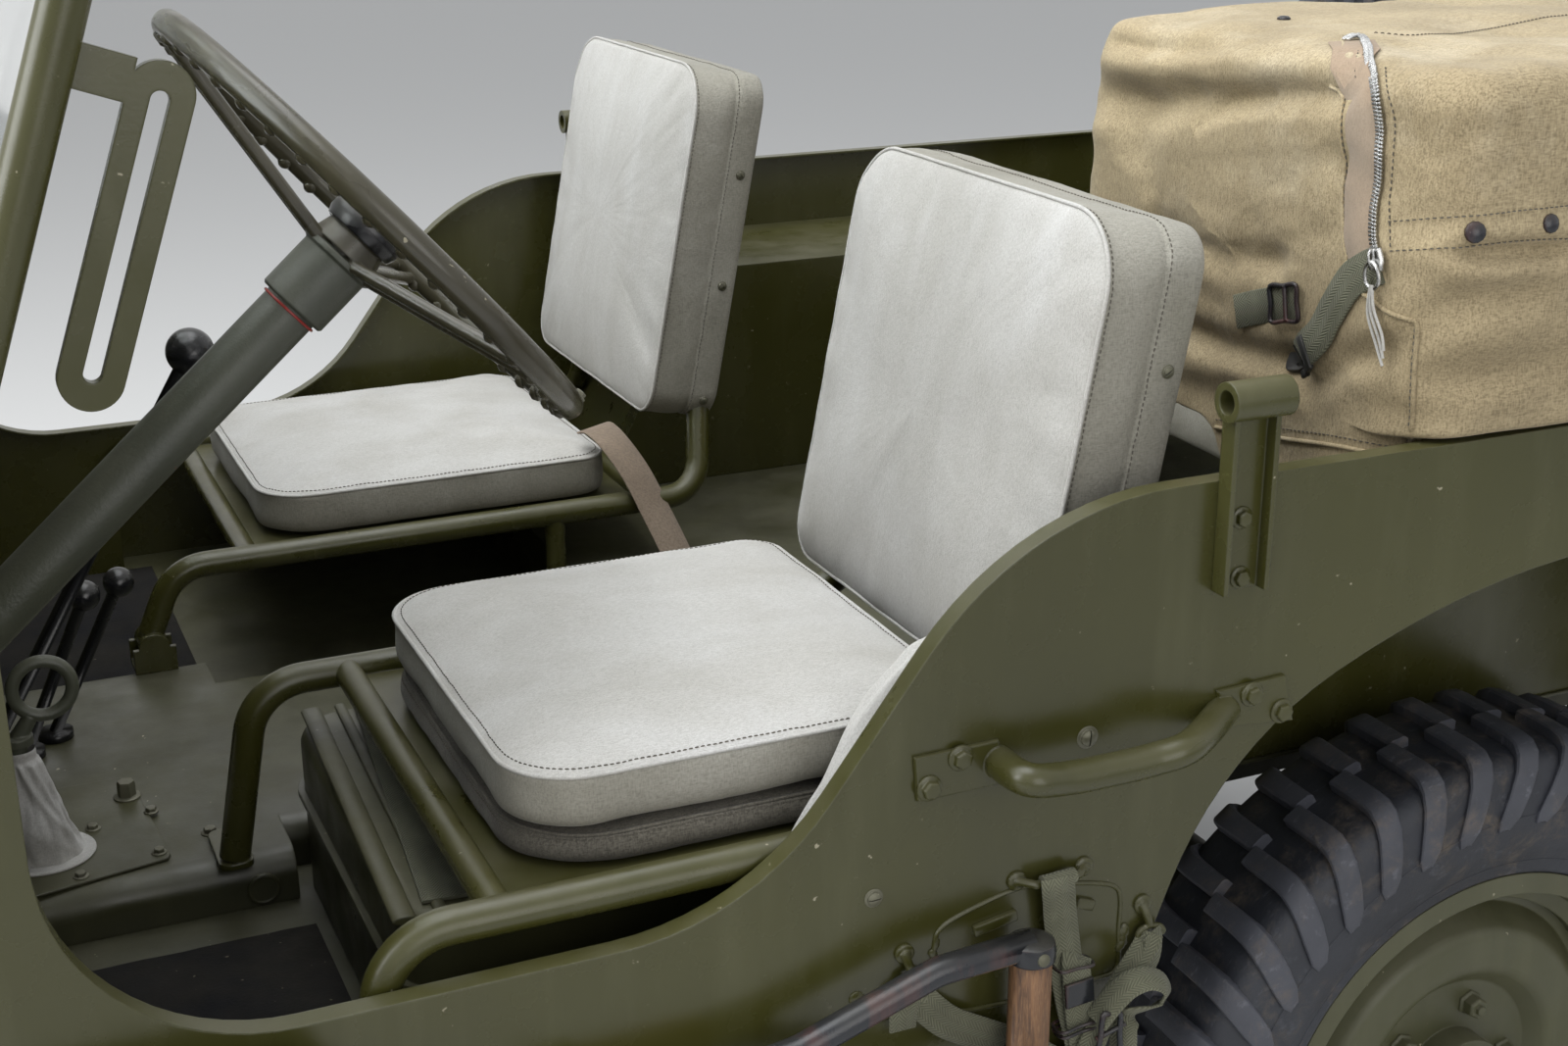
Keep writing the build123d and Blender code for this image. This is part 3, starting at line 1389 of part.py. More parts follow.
# seat cushions and backs as plain soft solids
cushion_table = (
    # middle across the car, rear end of the cushion, its top, foot of the back, height of the pan,
    # shift of the back
    ("driver", -seat_centre, 1505.0, 866.0, 812.0, 768.0, 0.0),
    ("passenger", seat_centre, 1545.0, 777.0, 792.0, 712.0, 46.0),
)
cushion_front = 1140.0
cushion_width = 405.0
cushion_corner = 50.0
back_width = 415.0
back_depth = 66.0
back_top_height = 1186.0
lean = radians(recline)
for name, centre_y, cushion_rear, cushion_top, back_low, pan_height, back_shift in cushion_table:
    with BuildPart() as cushions:
        with BuildSketch(deck(pan_height - 1 + seat_gap)):
            with Locations(((cushion_front + cushion_rear) / 2, centre_y)):
                RectangleRounded(cushion_rear - cushion_front, cushion_width, cushion_corner)
        extrude(amount=cushion_top - pan_height + 1 - seat_gap)
        fillet(cushions.faces().sort_by(Axis.Z)[-1].edges(), 22)
        back_plane = Plane(
            origin=(front_axle_x + seat_back_station + back_shift, centre_y, pan_height),
            x_dir=(0, -1, 0),
            z_dir=(-cos(lean), 0, sin(lean)),
        )
        with BuildSketch(back_plane.offset(seat_tube + seat_gap)):
            with Locations((0, ((back_low + back_top_height) / 2 - pan_height) / cos(lean))):
                RectangleRounded(back_width, (back_top_height - back_low) / cos(lean), 44)
        back_solid = extrude(amount=back_depth)
        fillet(back_solid.faces().sort_by(Axis.X)[0].edges(), 20)
    cushions.part.label = f"{name}_cushions"
    export_step(cushions.part, f"parts/{name}_cushions.step")

# levers: gear lever and two transfer levers with ball knobs, and the ring-handled brake lever
lever_table = (
    # foot station, foot y, foot height, knob station, knob y, knob height, rod radius, knob radius
    (800.0, -30.0, 612.0, 1043.0, -20.0, 1010.0, 7.0, 22.0),
    (862.0, 60.0, 612.0, 932.0, 60.0, 762.0, 6.0, 15.0),
    (892.0, 95.0, 612.0, 968.0, 95.0, 758.0, 6.0, 15.0),
)
with BuildPart() as levers:
    for foot_s, foot_y, foot_z, knob_s, knob_y, knob_z, rod, knob in lever_table:
        foot = Vector(front_axle_x + foot_s, foot_y, foot_z)
        top = Vector(front_axle_x + knob_s, knob_y, knob_z)
        with BuildSketch(Plane(origin=foot, z_dir=top - foot)):
            Circle(rod)
        extrude(amount=(top - foot).length)
        with Locations(top):
            Sphere(knob)
        with BuildSketch(deck(tunnel_top + seat_gap)):
            with Locations((foot_s, foot_y)):
                Circle(17)
        extrude(amount=8)
    with BuildSketch(deck(tunnel_top + seat_gap)):
        with Locations((865, -178)):
            Circle(11)
    extrude(amount=170)
    with BuildSketch(Plane(origin=(front_axle_x + 869, -178 - 24, 800), x_dir=(1, 0, 0), z_dir=(0, 0, 1))):
        Circle(6)
    revolve(axis=Axis((front_axle_x + 869, -178, 800), (1, 0, 0)))
levers.part.label = "levers"
export_step(levers.part, "parts/levers.step")

# white boot round the foot of the ring-handled lever
with BuildPart() as lever_boot:
    with BuildSketch(Plane(origin=(front_axle_x + 865, -178, 0), x_dir=(1, 0, 0), z_dir=(0, -1, 0))):
        with BuildLine():
            Polyline(
                (11.4, tunnel_top + seat_gap),
                (38, tunnel_top + seat_gap),
                (38, tunnel_top + 6),
                (30, tunnel_top + 10),
                (24, tunnel_top + 80),
                (15, tunnel_top + 146),
                (11.4, tunnel_top + 146),
                close=True,
            )
        make_face()
    revolve(axis=Axis((front_axle_x + 865, -178, 0), (0, 0, 1)))
lever_boot.part.label = "lever_boot"
export_step(lever_boot.part, "parts/lever_boot.step")

# pedals on the toe board
toe_run = Vector(toe_foot - toe_head[0], 0, front_floor + seat_gap - toe_head[1])
toe_normal = Vector(-toe_run.Z, 0, toe_run.X).normalized()
# place across the car, width and share of the way down the toe board of the clutch, brake and throttle
pedal_table = ((-405.0, 58.0, 0.62), (-278.0, 44.0, 0.62), (-215.0, 40.0, 0.36))
with BuildPart() as pedals:
    for pedal_y, pedal_width, share in pedal_table:
        seat_point = Vector(front_axle_x + toe_head[0], pedal_y, toe_head[1]) + toe_run * share
        rod_foot = seat_point + toe_normal * (sheet + seat_gap)
        with BuildSketch(Plane(origin=rod_foot, x_dir=(0, 1, 0), z_dir=toe_normal)):
            Circle(7)
        extrude(amount=66)
        with BuildSketch(Plane(origin=seat_point + toe_normal * 62, x_dir=(0, 1, 0), z_dir=toe_normal)):
            RectangleRounded(pedal_width, 52, 6)
        extrude(amount=8)
pedals.part.label = "pedals"
export_step(pedals.part, "parts/pedals.step")

# grab handles on the quarter panels
handle_ends = (1440.0, 1717.0)
handle_z = 828.0
handle_reach = 39.0
with BuildPart() as grab_handles:
    with BuildLine():
        handle_line = FilletPolyline(
            (front_axle_x + handle_ends[0], -body_half_width - seat_gap, handle_z),
            (front_axle_x + handle_ends[0] + 26, -body_half_width - handle_reach, handle_z),
            (front_axle_x + handle_ends[1] - 26, -body_half_width - handle_reach, handle_z),
            (front_axle_x + handle_ends[1], -body_half_width - seat_gap, handle_z),
            radius=22,
        )
    with BuildSketch(Plane(origin=handle_line @ 0, z_dir=handle_line % 0)):
        Circle(12.5)
    sweep()
    with BuildSketch(side(-body_half_width - seat_gap)):
        with Locations((handle_ends[0], handle_z), (handle_ends[1], handle_z)):
            RectangleRounded(60, 42, 16)
    extrude(amount=5)
    with BuildSketch(side(-body_half_width - seat_gap)):
        with Locations(((handle_ends[0] + handle_ends[1]) / 2, handle_z)):
            Rectangle(600, 200)
    extrude(amount=-30, mode=Mode.SUBTRACT)
    mirror(about=Plane.XZ)
grab_handles.part.label = "grab_handles"
export_step(grab_handles.part, "parts/grab_handles.step")

# top-bow brackets with their rolled sockets
bow_station = 1681.0
bow_low = 928.0
bow_socket_z = 1076.0
bow_socket_radius = 15.0
bow_bore = 9.0
bow_width = 40.0
with BuildPart() as bow_brackets:
    with BuildSketch(side(-body_half_width - seat_gap)):
        with Locations((bow_station, bow_low)):
            Rectangle(bow_width, bow_socket_z - bow_low, align=(Align.CENTER, Align.MIN))
    extrude(amount=5)
    with BuildSketch(side(-body_half_width - seat_gap)):
        for edge in (-1, 1):
            with Locations((bow_station + edge * (bow_width / 2 - 2), bow_low)):
                Rectangle(4, bow_socket_z - bow_low - 12, align=(Align.CENTER, Align.MIN))
    extrude(amount=16)
    with BuildSketch(Plane(origin=(front_axle_x + bow_station - bow_width / 2 - 6, -body_half_width - 12, bow_socket_z), z_dir=(1, 0, 0))):
        Circle(bow_socket_radius)
    extrude(amount=bow_width + 12)
    with BuildSketch(Plane(origin=(front_axle_x + bow_station - bow_width / 2 - 6, -body_half_width - 12, bow_socket_z), z_dir=(1, 0, 0))):
        Circle(bow_bore)
    extrude(amount=bow_width + 12, mode=Mode.SUBTRACT)
    mirror(about=Plane.XZ)
bow_brackets.part.label = "bow_brackets"
export_step(bow_brackets.part, "parts/bow_brackets.step")

# shovel on the left side: blade, shaft, steel fork and wooden grip
shovel_y = -body_half_width - 32.5
shovel_z = 636.0
shaft_wood = 16.0
shovel_stations = (1010.0, 1270.0, 1498.0)
grip_half = 52.0
with BuildPart() as shovel:
    with BuildSketch(across(shovel_stations[0])):
        with Locations((shovel_y, shovel_z)):
            Circle(shaft_wood)
    extrude(amount=shovel_stations[1] - shovel_stations[0])
    for hand in (-1, 1):
        with BuildLine(side(shovel_y)):
            fork = FilletPolyline(
                (shovel_stations[1] - 20, shovel_z + hand * 4),
                (shovel_stations[1] + 40, shovel_z + hand * 12),
                (shovel_stations[1] + 150, shovel_z + hand * (grip_half - 4)),
                (shovel_stations[2], shovel_z + hand * grip_half),
                radius=50,
            )
        with BuildSketch(Plane(origin=fork @ 0, z_dir=fork % 0)):
            Circle(11)
        sweep()
    with BuildSketch(Plane(origin=(front_axle_x + shovel_stations[2], shovel_y, shovel_z - grip_half), z_dir=(0, 0, 1))):
        Circle(16)
    extrude(amount=2 * grip_half)
    with BuildSketch(side(shovel_y + 3)):
        with BuildLine():
            FilletPolyline(
                (shovel_stations[0] + 10, shovel_z - 20),
                (shovel_stations[0] + 10, shovel_z + 20),
                (shovel_stations[0] - 40, shovel_z + 100),
                (shovel_stations[0] - 200, shovel_z + 105),
                (shovel_stations[0] - 300, shovel_z),
                (shovel_stations[0] - 200, shovel_z - 105),
                (shovel_stations[0] - 40, shovel_z - 100),
                close=True,
                radius=18,
            )
        make_face()
    extrude(amount=6)
shovel.part.label = "shovel"
export_step(shovel.part, "parts/shovel.step")

# webbing straps: one round the shovel's shaft, one hanging behind the fork and one beside the grip
strap_width = 34.0
strap_sheet = 2.5
strap_station = 1150.0
strap_round = shaft_wood + seat_gap
with BuildPart() as tool_straps:
    with BuildSketch(across(strap_station)):
        with Locations((shovel_y, shovel_z)):
            Circle(strap_round + strap_sheet)
            Rectangle(
                -body_half_width - seat_gap - shovel_y, 2 * (strap_round + strap_sheet),
                align=(Align.MIN, Align.CENTER),
            )
            Circle(strap_round, mode=Mode.SUBTRACT)
            Rectangle(
                -body_half_width - seat_gap - strap_sheet - shovel_y, 2 * strap_round,
                align=(Align.MIN, Align.CENTER), mode=Mode.SUBTRACT,
            )
    extrude(amount=strap_width)
    for top, foot in (((1410.0, 690.0), (1452.0, 572.0)), ((1532.0, 730.0), (1546.0, 584.0))):
        with BuildSketch(side(-body_half_width - seat_gap)):
            with BuildLine():
                Polyline(
                    (top[0] - strap_width / 2, top[1]),
                    (top[0] + strap_width / 2, top[1]),
                    (foot[0] + strap_width / 2, foot[1]),
                    (foot[0] - strap_width / 2, foot[1]),
                    close=True,
                )
            make_face()
        extrude(amount=strap_sheet)
tool_straps.part.label = "tool_straps"
export_step(tool_straps.part, "parts/tool_straps.step")

# rear hitch: pintle with its plate, and two bumperettes on the frame's end
hitch_z = 596.0
bumperette_y = 385.0
bumperette_low = 440.0
bumperette_high = 575.0
bumperette_depth = 60.0
bumperette_wall = 5.0
bumperette_width = 72.0
with BuildPart() as rear_hitch:
    with BuildSketch(across(frame_rear + seat_gap)):
        with Locations((0, hitch_z)):
            RectangleRounded(130, 78, 10)
    extrude(amount=8)
    with BuildSketch(side(18)):
        with BuildLine():
            FilletPolyline(
                (frame_rear + 4, hitch_z - 24),
                (frame_rear + 70, hitch_z - 30),
                (frame_rear + 112, hitch_z - 22),
                (frame_rear + 112, hitch_z + 34),
                (frame_rear + 92, hitch_z + 34),
                (frame_rear + 84, hitch_z + 2),
                (frame_rear + 52, hitch_z + 2),
                (frame_rear + 44, hitch_z + 30),
                (frame_rear + 4, hitch_z + 26),
                close=True,
                radius=6,
            )
        make_face()
    extrude(amount=36)
    for hand in (-1, 1):
        for wall, mode in ((0.0, Mode.ADD), (bumperette_wall, Mode.SUBTRACT)):
            with BuildSketch(side(hand * bumperette_y + bumperette_width / 2)):
                with Locations((frame_rear + seat_gap + wall, bumperette_low + wall)):
                    Rectangle(
                        bumperette_depth - 2 * wall,
                        bumperette_high - bumperette_low - 2 * wall,
                        align=(Align.MIN, Align.MIN),
                    )
            extrude(amount=bumperette_width, mode=mode)
rear_hitch.part.label = "rear_hitch"
export_step(rear_hitch.part, "parts/rear_hitch.step")

# tail lamps low on the rear panel
with BuildPart() as tail_lamps:
    with BuildSketch(across(tub_rear + seat_gap)):
        with Locations((-590, 566), (590, 566)):
            Circle(34)
    extrude(amount=34)
    fillet(tail_lamps.edges().group_by(Axis.X)[-1], 6)
tail_lamps.part.label = "tail_lamps"
export_step(tail_lamps.part, "parts/tail_lamps.step")

# spare wheel on its carrier at the right of the rear panel
spare_plane = Plane(origin=(front_axle_x + spare_station, spare_y, spare_z), x_dir=(1, 0, 0), z_dir=(0, -1, 0))
spare_axis = Axis((front_axle_x, spare_y, spare_z), (1, 0, 0))
with BuildPart() as spare_tyre:
    with BuildSketch(spare_plane):
        with BuildLine():
            draw_tyre()
        make_face()
    revolve(axis=spare_axis)
spare_tyre.part.label = "spare_tyre"
export_step(spare_tyre.part, "parts/spare_tyre.step")

with BuildPart() as spare_wheel:
    with BuildSketch(spare_plane):
        with BuildLine():
            draw_rim()
        make_face()
        with BuildLine():
            draw_dish(hub_radius + 10)
        make_face()
    revolve(axis=spare_axis)
spare_wheel.part.label = "spare_wheel"
export_step(spare_wheel.part, "parts/spare_wheel.step")

# rear bench between the wheelhouses
bench_half = 452.0
bench_seat = 800.0
bench_stations = (2060.0, 2420.0)
bench_back_top = 1086.0
with BuildPart() as rear_seat_frame:
    for hand in (-1, 1):
        with BuildLine(side(hand * bench_half)):
            bench_line = FilletPolyline(
                (bench_stations[0], rear_floor + seat_gap),
                (bench_stations[0], bench_seat),
                (bench_stations[1], bench_seat),
                (bench_stations[1] + 56, bench_back_top),
                radius=45,
            )
        with BuildSketch(Plane(origin=bench_line @ 0, z_dir=bench_line % 0)):
            Circle(12)
        sweep()
    with BuildSketch(Plane(origin=(front_axle_x + bench_stations[1] + 56, -bench_half, bench_back_top), z_dir=(0, 1, 0))):
        Circle(12)
    extrude(amount=2 * bench_half)
    with BuildSketch(deck(bench_seat - 3)):
        with Locations(((bench_stations[0] + bench_stations[1]) / 2, 0)):
            Rectangle(bench_stations[1] - bench_stations[0] - 100, 2 * bench_half)
    extrude(amount=3)
rear_seat_frame.part.label = "rear_seat_frame"
export_step(rear_seat_frame.part, "parts/rear_seat_frame.step")

with BuildPart() as rear_seat_cushions:
    with BuildSketch(deck(bench_seat + seat_gap)):
        with Locations(((bench_stations[0] + bench_stations[1]) / 2 - 4, 0)):
            RectangleRounded(bench_stations[1] - bench_stations[0] - 60, 2 * bench_half - 50, 36)
    extrude(amount=80)
    fillet(rear_seat_cushions.faces().sort_by(Axis.Z)[-1].edges(), 18)
    bench_lean = atan2(56, bench_back_top - bench_seat)
    bench_back = Plane(
        origin=(front_axle_x + bench_stations[1], 0, bench_seat),
        x_dir=(0, -1, 0),
        z_dir=(-cos(bench_lean), 0, sin(bench_lean)),
    )
    with BuildSketch(bench_back.offset(12 + seat_gap)):
        with Locations((0, 190)):
            RectangleRounded(2 * bench_half + 16, 190, 30)
    extrude(amount=46)
rear_seat_cushions.part.label = "rear_seat_cushions"
export_step(rear_seat_cushions.part, "parts/rear_seat_cushions.step")

# folded canvas top in its zipped cover, laid over the left rail and wheelhouse
canvas_ends = (1832.0, 2376.0)
canvas_inner = -226.0
canvas_top = 1306.0
with BuildPart() as canvas_cover:
    with BuildSketch(across(canvas_ends[0])):
        with BuildLine():
            FilletPolyline(
                (-body_half_width - 8, rail_height + seat_gap),
                (-body_half_width - 8, canvas_top - 8),
                (canvas_inner, canvas_top),
                (canvas_inner, 968),
                (-wheelhouse_inner + 6, 968),
                (-wheelhouse_inner - 30, wheelhouse_top + seat_gap),
                (-body_half_width + lip_width + 6, wheelhouse_top + seat_gap),
                (-body_half_width + lip_width + 6, rail_height + seat_gap),
                close=True,
                radius=(30, 40, 40, 20, 12, 12, 5, 5),
            )
        make_face()
    extrude(amount=canvas_ends[1] - canvas_ends[0])
canvas_cover.part.label = "canvas_cover"
export_step(canvas_cover.part, "parts/canvas_cover.step")
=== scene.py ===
import math
import random

import bmesh
import bpy
import numpy as np
from mathutils import Matrix, Vector
from mathutils import noise as fieldNoise
from mathutils.bvhtree import BVHTree


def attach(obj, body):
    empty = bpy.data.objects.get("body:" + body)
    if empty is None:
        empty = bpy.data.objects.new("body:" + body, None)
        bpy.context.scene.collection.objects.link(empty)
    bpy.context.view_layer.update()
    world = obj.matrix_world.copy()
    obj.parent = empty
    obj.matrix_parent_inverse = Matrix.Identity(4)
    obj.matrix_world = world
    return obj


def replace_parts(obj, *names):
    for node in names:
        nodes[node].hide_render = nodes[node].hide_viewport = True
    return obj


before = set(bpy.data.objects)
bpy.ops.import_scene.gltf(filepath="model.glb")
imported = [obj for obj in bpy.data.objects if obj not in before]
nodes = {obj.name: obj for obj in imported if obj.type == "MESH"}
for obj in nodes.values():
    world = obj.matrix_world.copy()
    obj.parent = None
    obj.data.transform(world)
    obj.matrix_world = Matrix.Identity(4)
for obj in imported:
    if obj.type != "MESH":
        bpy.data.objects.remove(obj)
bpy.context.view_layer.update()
scene = bpy.context.scene
frontAxle = 1127.5  # mm that the front axle stands ahead of the frame's zero
photoSize = (1600.0, 1067.0)
xAxis, yAxis, zAxis = Vector((1, 0, 0)), Vector((0, 1, 0)), Vector((0, 0, 1))
print("stage 1: frame loaded")


def row(station, y, z):  # millimetres on the car's stations to metres in the frame
    return Vector(((station - frontAxle) / 1000, y / 1000, z / 1000))


def circle(count):  # the angles of evenly spread places
    return [2 * math.pi * k / count for k in range(count)]


def placed(name, data):
    made = bpy.data.objects.new(name, data)
    scene.collection.objects.link(made)
    return made


def rawMesh(name, verts, faces=(), edges=()):
    mesh = bpy.data.meshes.new(name)
    mesh.from_pydata(verts, edges, faces)
    return mesh


# camera, lamps, floor
cameraLook = {"place": (-0.3398, -1.9199, 1.4861), "azimuth": -24.0, "elevation": 19.3, "roll": -0.3,
    "lens": 47.79, "sensor": 36.0}
lightLook = {
    "worldColour": (0.93, 0.96, 1.0), "worldStrength": 0.58, "backdropColour": (0.86, 0.865, 0.87),
    "floorColour": (0.62, 0.615, 0.60), "floorSize": 40.0,
    # name, place, aim, width, watts, colour
    "softboxes": (
        ("overhead", (-0.6, 0.2, 4.6), (0.1, -0.1, 0.8), 4.2, 215.0, (0.96, 0.98, 1.0)),
        ("frontHigh", (-4.2, -0.4, 3.0), (0.0, -0.2, 0.9), 3.4, 220.0, (0.97, 0.985, 1.0)),
        ("leftLow", (0.6, -4.6, 1.9), (0.2, -0.4, 0.7), 2.6, 40.0, (1.0, 0.98, 0.95)),
    ),
}


def turnedBy(look):
    azimuth, elevation, roll = (math.radians(look[k]) for k in ("azimuth", "elevation", "roll"))
    level = math.cos(elevation)
    back = Vector((math.sin(azimuth) * level, -math.cos(azimuth) * level, math.sin(elevation)))
    right = Vector((math.cos(azimuth), math.sin(azimuth), 0))
    up = right.cross(-back)
    across = right * math.cos(roll) + up * math.sin(roll)
    return across, up * math.cos(roll) - right * math.sin(roll), back


cameraAcross, cameraUp, cameraBack = turnedBy(cameraLook)
cameraPlace = Vector(cameraLook["place"])


def setCamera(look):
    data = bpy.data.cameras.new("photoCamera")
    data.lens, data.sensor_width, data.clip_end = look["lens"], look["sensor"], 200
    matrix = Matrix((cameraAcross, cameraUp, cameraBack)).transposed().to_4x4()
    matrix.translation = cameraPlace
    scene.camera = placed("photoCamera", data)
    scene.camera.matrix_world = matrix


def sight(px, py):  # the direction from the camera through a place in the photograph
    focal = cameraLook["lens"] / cameraLook["sensor"] * photoSize[0]
    return (
        -cameraBack
        + cameraAcross * ((px - photoSize[0] / 2) / focal)
        - cameraUp * ((py - photoSize[1] / 2) / focal)
    ).normalized()


def sightOnPlane(axis, value, px, py):  # axis 0, 1, 2 with a value in mm, stations for axis 0
    direction = sight(px, py)
    goal = (value - frontAxle) / 1000 if axis == 0 else value / 1000
    return cameraPlace + direction * ((goal - cameraPlace[axis]) / direction[axis])


def sightOnTree(tree, px, py):  # where that line meets a mesh, with the mesh's normal
    direction = sight(px, py)
    place, normal, _, _ = tree.ray_cast(cameraPlace, direction)
    if place is None:
        place, normal, _, _ = tree.find_nearest(cameraPlace + direction * 2.3)
    return place, -normal if normal.dot(direction) > 0 else normal


class treeMaker:  # short ways to the nodes of one tree
    def __init__(self, tree):
        self.tree = tree
        tree.nodes.clear()

    def feed(self, socket, value):
        if isinstance(value, bpy.types.NodeSocket):
            self.tree.links.new(value, socket)
        elif socket.type == "RGBA" and len(value) == 3:
            socket.default_value = (*value, 1)
        else:
            socket.default_value = value

    def add(self, kind, inputs=(), **settings):  # settings come first, as they decide which inputs there are
        node = self.tree.nodes.new(kind)
        for key, value in settings.items():
            setattr(node, key, value)
        for key, value in inputs.items() if isinstance(inputs, dict) else enumerate(inputs):
            self.feed(node.inputs[key], value)
        return node

    def math(self, operation, *values, clamp=False):
        return self.add("ShaderNodeMath", values, operation=operation, use_clamp=clamp).outputs[0]

    def share(self, first, second):
        return self.math("MULTIPLY", first, second, clamp=True)

    def places(self, scale=(1, 1, 1), turn=(0, 0, 0), source="Object"):
        vector = self.add("ShaderNodeTexCoord").outputs[source]
        return self.add("ShaderNodeMapping", {"Scale": scale, "Rotation": turn, "Vector": vector}).outputs["Vector"]

    def noise(self, vector, scale, detail=3.0, rough=0.5, distortion=0.0):
        return self.add("ShaderNodeTexNoise", {"Vector": vector, "Scale": scale, "Detail": detail,
            "Roughness": rough, "Distortion": distortion}).outputs[0]

    def band(self, value, low, high, outLow=0.0, outHigh=1.0):
        return self.add("ShaderNodeMapRange", {"Value": value, "From Min": low, "From Max": high,
            "To Min": outLow, "To Max": outHigh}).outputs[0]

    def patches(self, vector, noise, limits):  # a noise brought between two limits
        return self.band(self.noise(vector, *noise), *limits)

    def blend(self, factor, first, second, mode="MIX"):
        return self.add("ShaderNodeMix", {0: factor, 6: first, 7: second}, data_type="RGBA", blend_type=mode).outputs[2]

    def raised(self, height, strength, distance, under=None):
        inputs = {"Strength": strength, "Distance": distance, "Height": height}
        if under is not None:
            inputs["Normal"] = under
        return self.add("ShaderNodeBump", inputs).outputs[0]

    def upright(self, low, high):  # the normal's height between two limits
        normal = self.add("ShaderNodeNewGeometry").outputs["Normal"]
        return self.band(self.add("ShaderNodeSeparateXYZ", (normal,)).outputs["Z"], low, high)

    def softEdge(self, radius):  # a rounded normal, and how sharp the edge under it is
        bevel = self.add("ShaderNodeBevel", {"Radius": radius}, samples=4).outputs[0]
        normal = self.add("ShaderNodeNewGeometry").outputs["Normal"]
        dot = self.add("ShaderNodeVectorMath", (bevel, normal), operation="DOT_PRODUCT")
        return bevel, self.band(dot.outputs["Value"], 0.99, 0.80)


def setLights(look):
    scene.world = bpy.data.worlds.new("plainSky")
    scene.world.use_nodes = True
    make = treeMaker(scene.world.node_tree)
    path = make.add("ShaderNodeLightPath").outputs
    seen = make.math("MAXIMUM", path["Is Camera Ray"], path["Is Glossy Ray"])
    seen = make.math("MAXIMUM", seen, path["Is Transmission Ray"])
    sky = make.add("ShaderNodeBackground", {"Color": look["worldColour"], "Strength": look["worldStrength"]})
    backdrop = make.add("ShaderNodeBackground", {"Color": look["backdropColour"]})
    mix = make.add("ShaderNodeMixShader", (seen, sky.outputs[0], backdrop.outputs[0]))
    make.add("ShaderNodeOutputWorld", (mix.outputs[0],))
    for name, place, aim, width, watts, colour in look["softboxes"]:
        data = bpy.data.lights.new(name, "AREA")
        data.size, data.energy, data.color = width, watts, colour
        lamp = placed(name, data)
        lamp.location = place
        lamp.rotation_euler = (Vector(aim) - Vector(place)).to_track_quat("-Z", "Y").to_euler()


def newMaterial(name, paint, look=None):  # paint gives the shader's inputs
    material = bpy.data.materials.new(name)
    material.use_nodes = True
    make = treeMaker(material.node_tree)
    shader = make.add("ShaderNodeBsdfPrincipled", paint(make, look))
    make.add("ShaderNodeOutputMaterial", (shader.outputs[0],))
    return material


def allMaterials(paint, looks, common):  # looks: the name with what differs from the common look
    return [newMaterial(name, paint, dict(common, **changes)) for name, changes in looks.items()]


def painted(make, look):
    places = make.places()
    colour = make.blend(make.patches(places, (2.3, 5, 0.6), (0.32, 0.68)), look["shade"], look["base"])
    streaks = make.patches(make.places((9, 9, 1.4)), (2.2, 5, 0.62), (0.5, 0.78, 0, look["streaks"]))
    colour = make.blend(streaks, colour, look["light"])
    bevelNormal, edge = make.softEdge(look["edge"])
    # lighter edges: partly paint rubbed through, partly a painted highlight along the lips
    wornAndLitEdge = make.share(edge, make.patches(places, (38, 4, 0.6), (0.42, 0.62)))
    colour = make.blend(make.share(wornAndLitEdge, look["edgeWearAndHighlight"]), colour, look["light"])
    dusty = make.share(make.upright(0.15, 0.95), make.patches(places, (11, 6, 0.66), (0.3, 0.75)))
    colour = make.blend(make.share(dusty, look["dust"]), colour, look["dustColour"])
    specks = make.share(make.patches(places, (120, 2, 0.5), (0.735, 0.765)),
        make.patches(places, (7, 2, 0.5), (0.5, 0.58)))
    colour = make.blend(make.share(specks, look["specks"]), colour, look["speckColour"])
    gloss = make.patches(places, (16, 5, 0.6), (0.3, 0.7, *look["rough"]))
    bump = make.raised(make.noise(places, 9, 3, 0.5), look["dents"], 0.004, bevelNormal)
    bump = make.raised(make.noise(places, 330, 3, 0.6), look["peel"], 0.0006, bump)
    return {"Base Color": colour, "Roughness": make.math("ADD", gloss, make.share(dusty, 0.25), clamp=True),
        "Metallic": look["metal"], "Specular IOR Level": look["specular"], "Normal": bump}


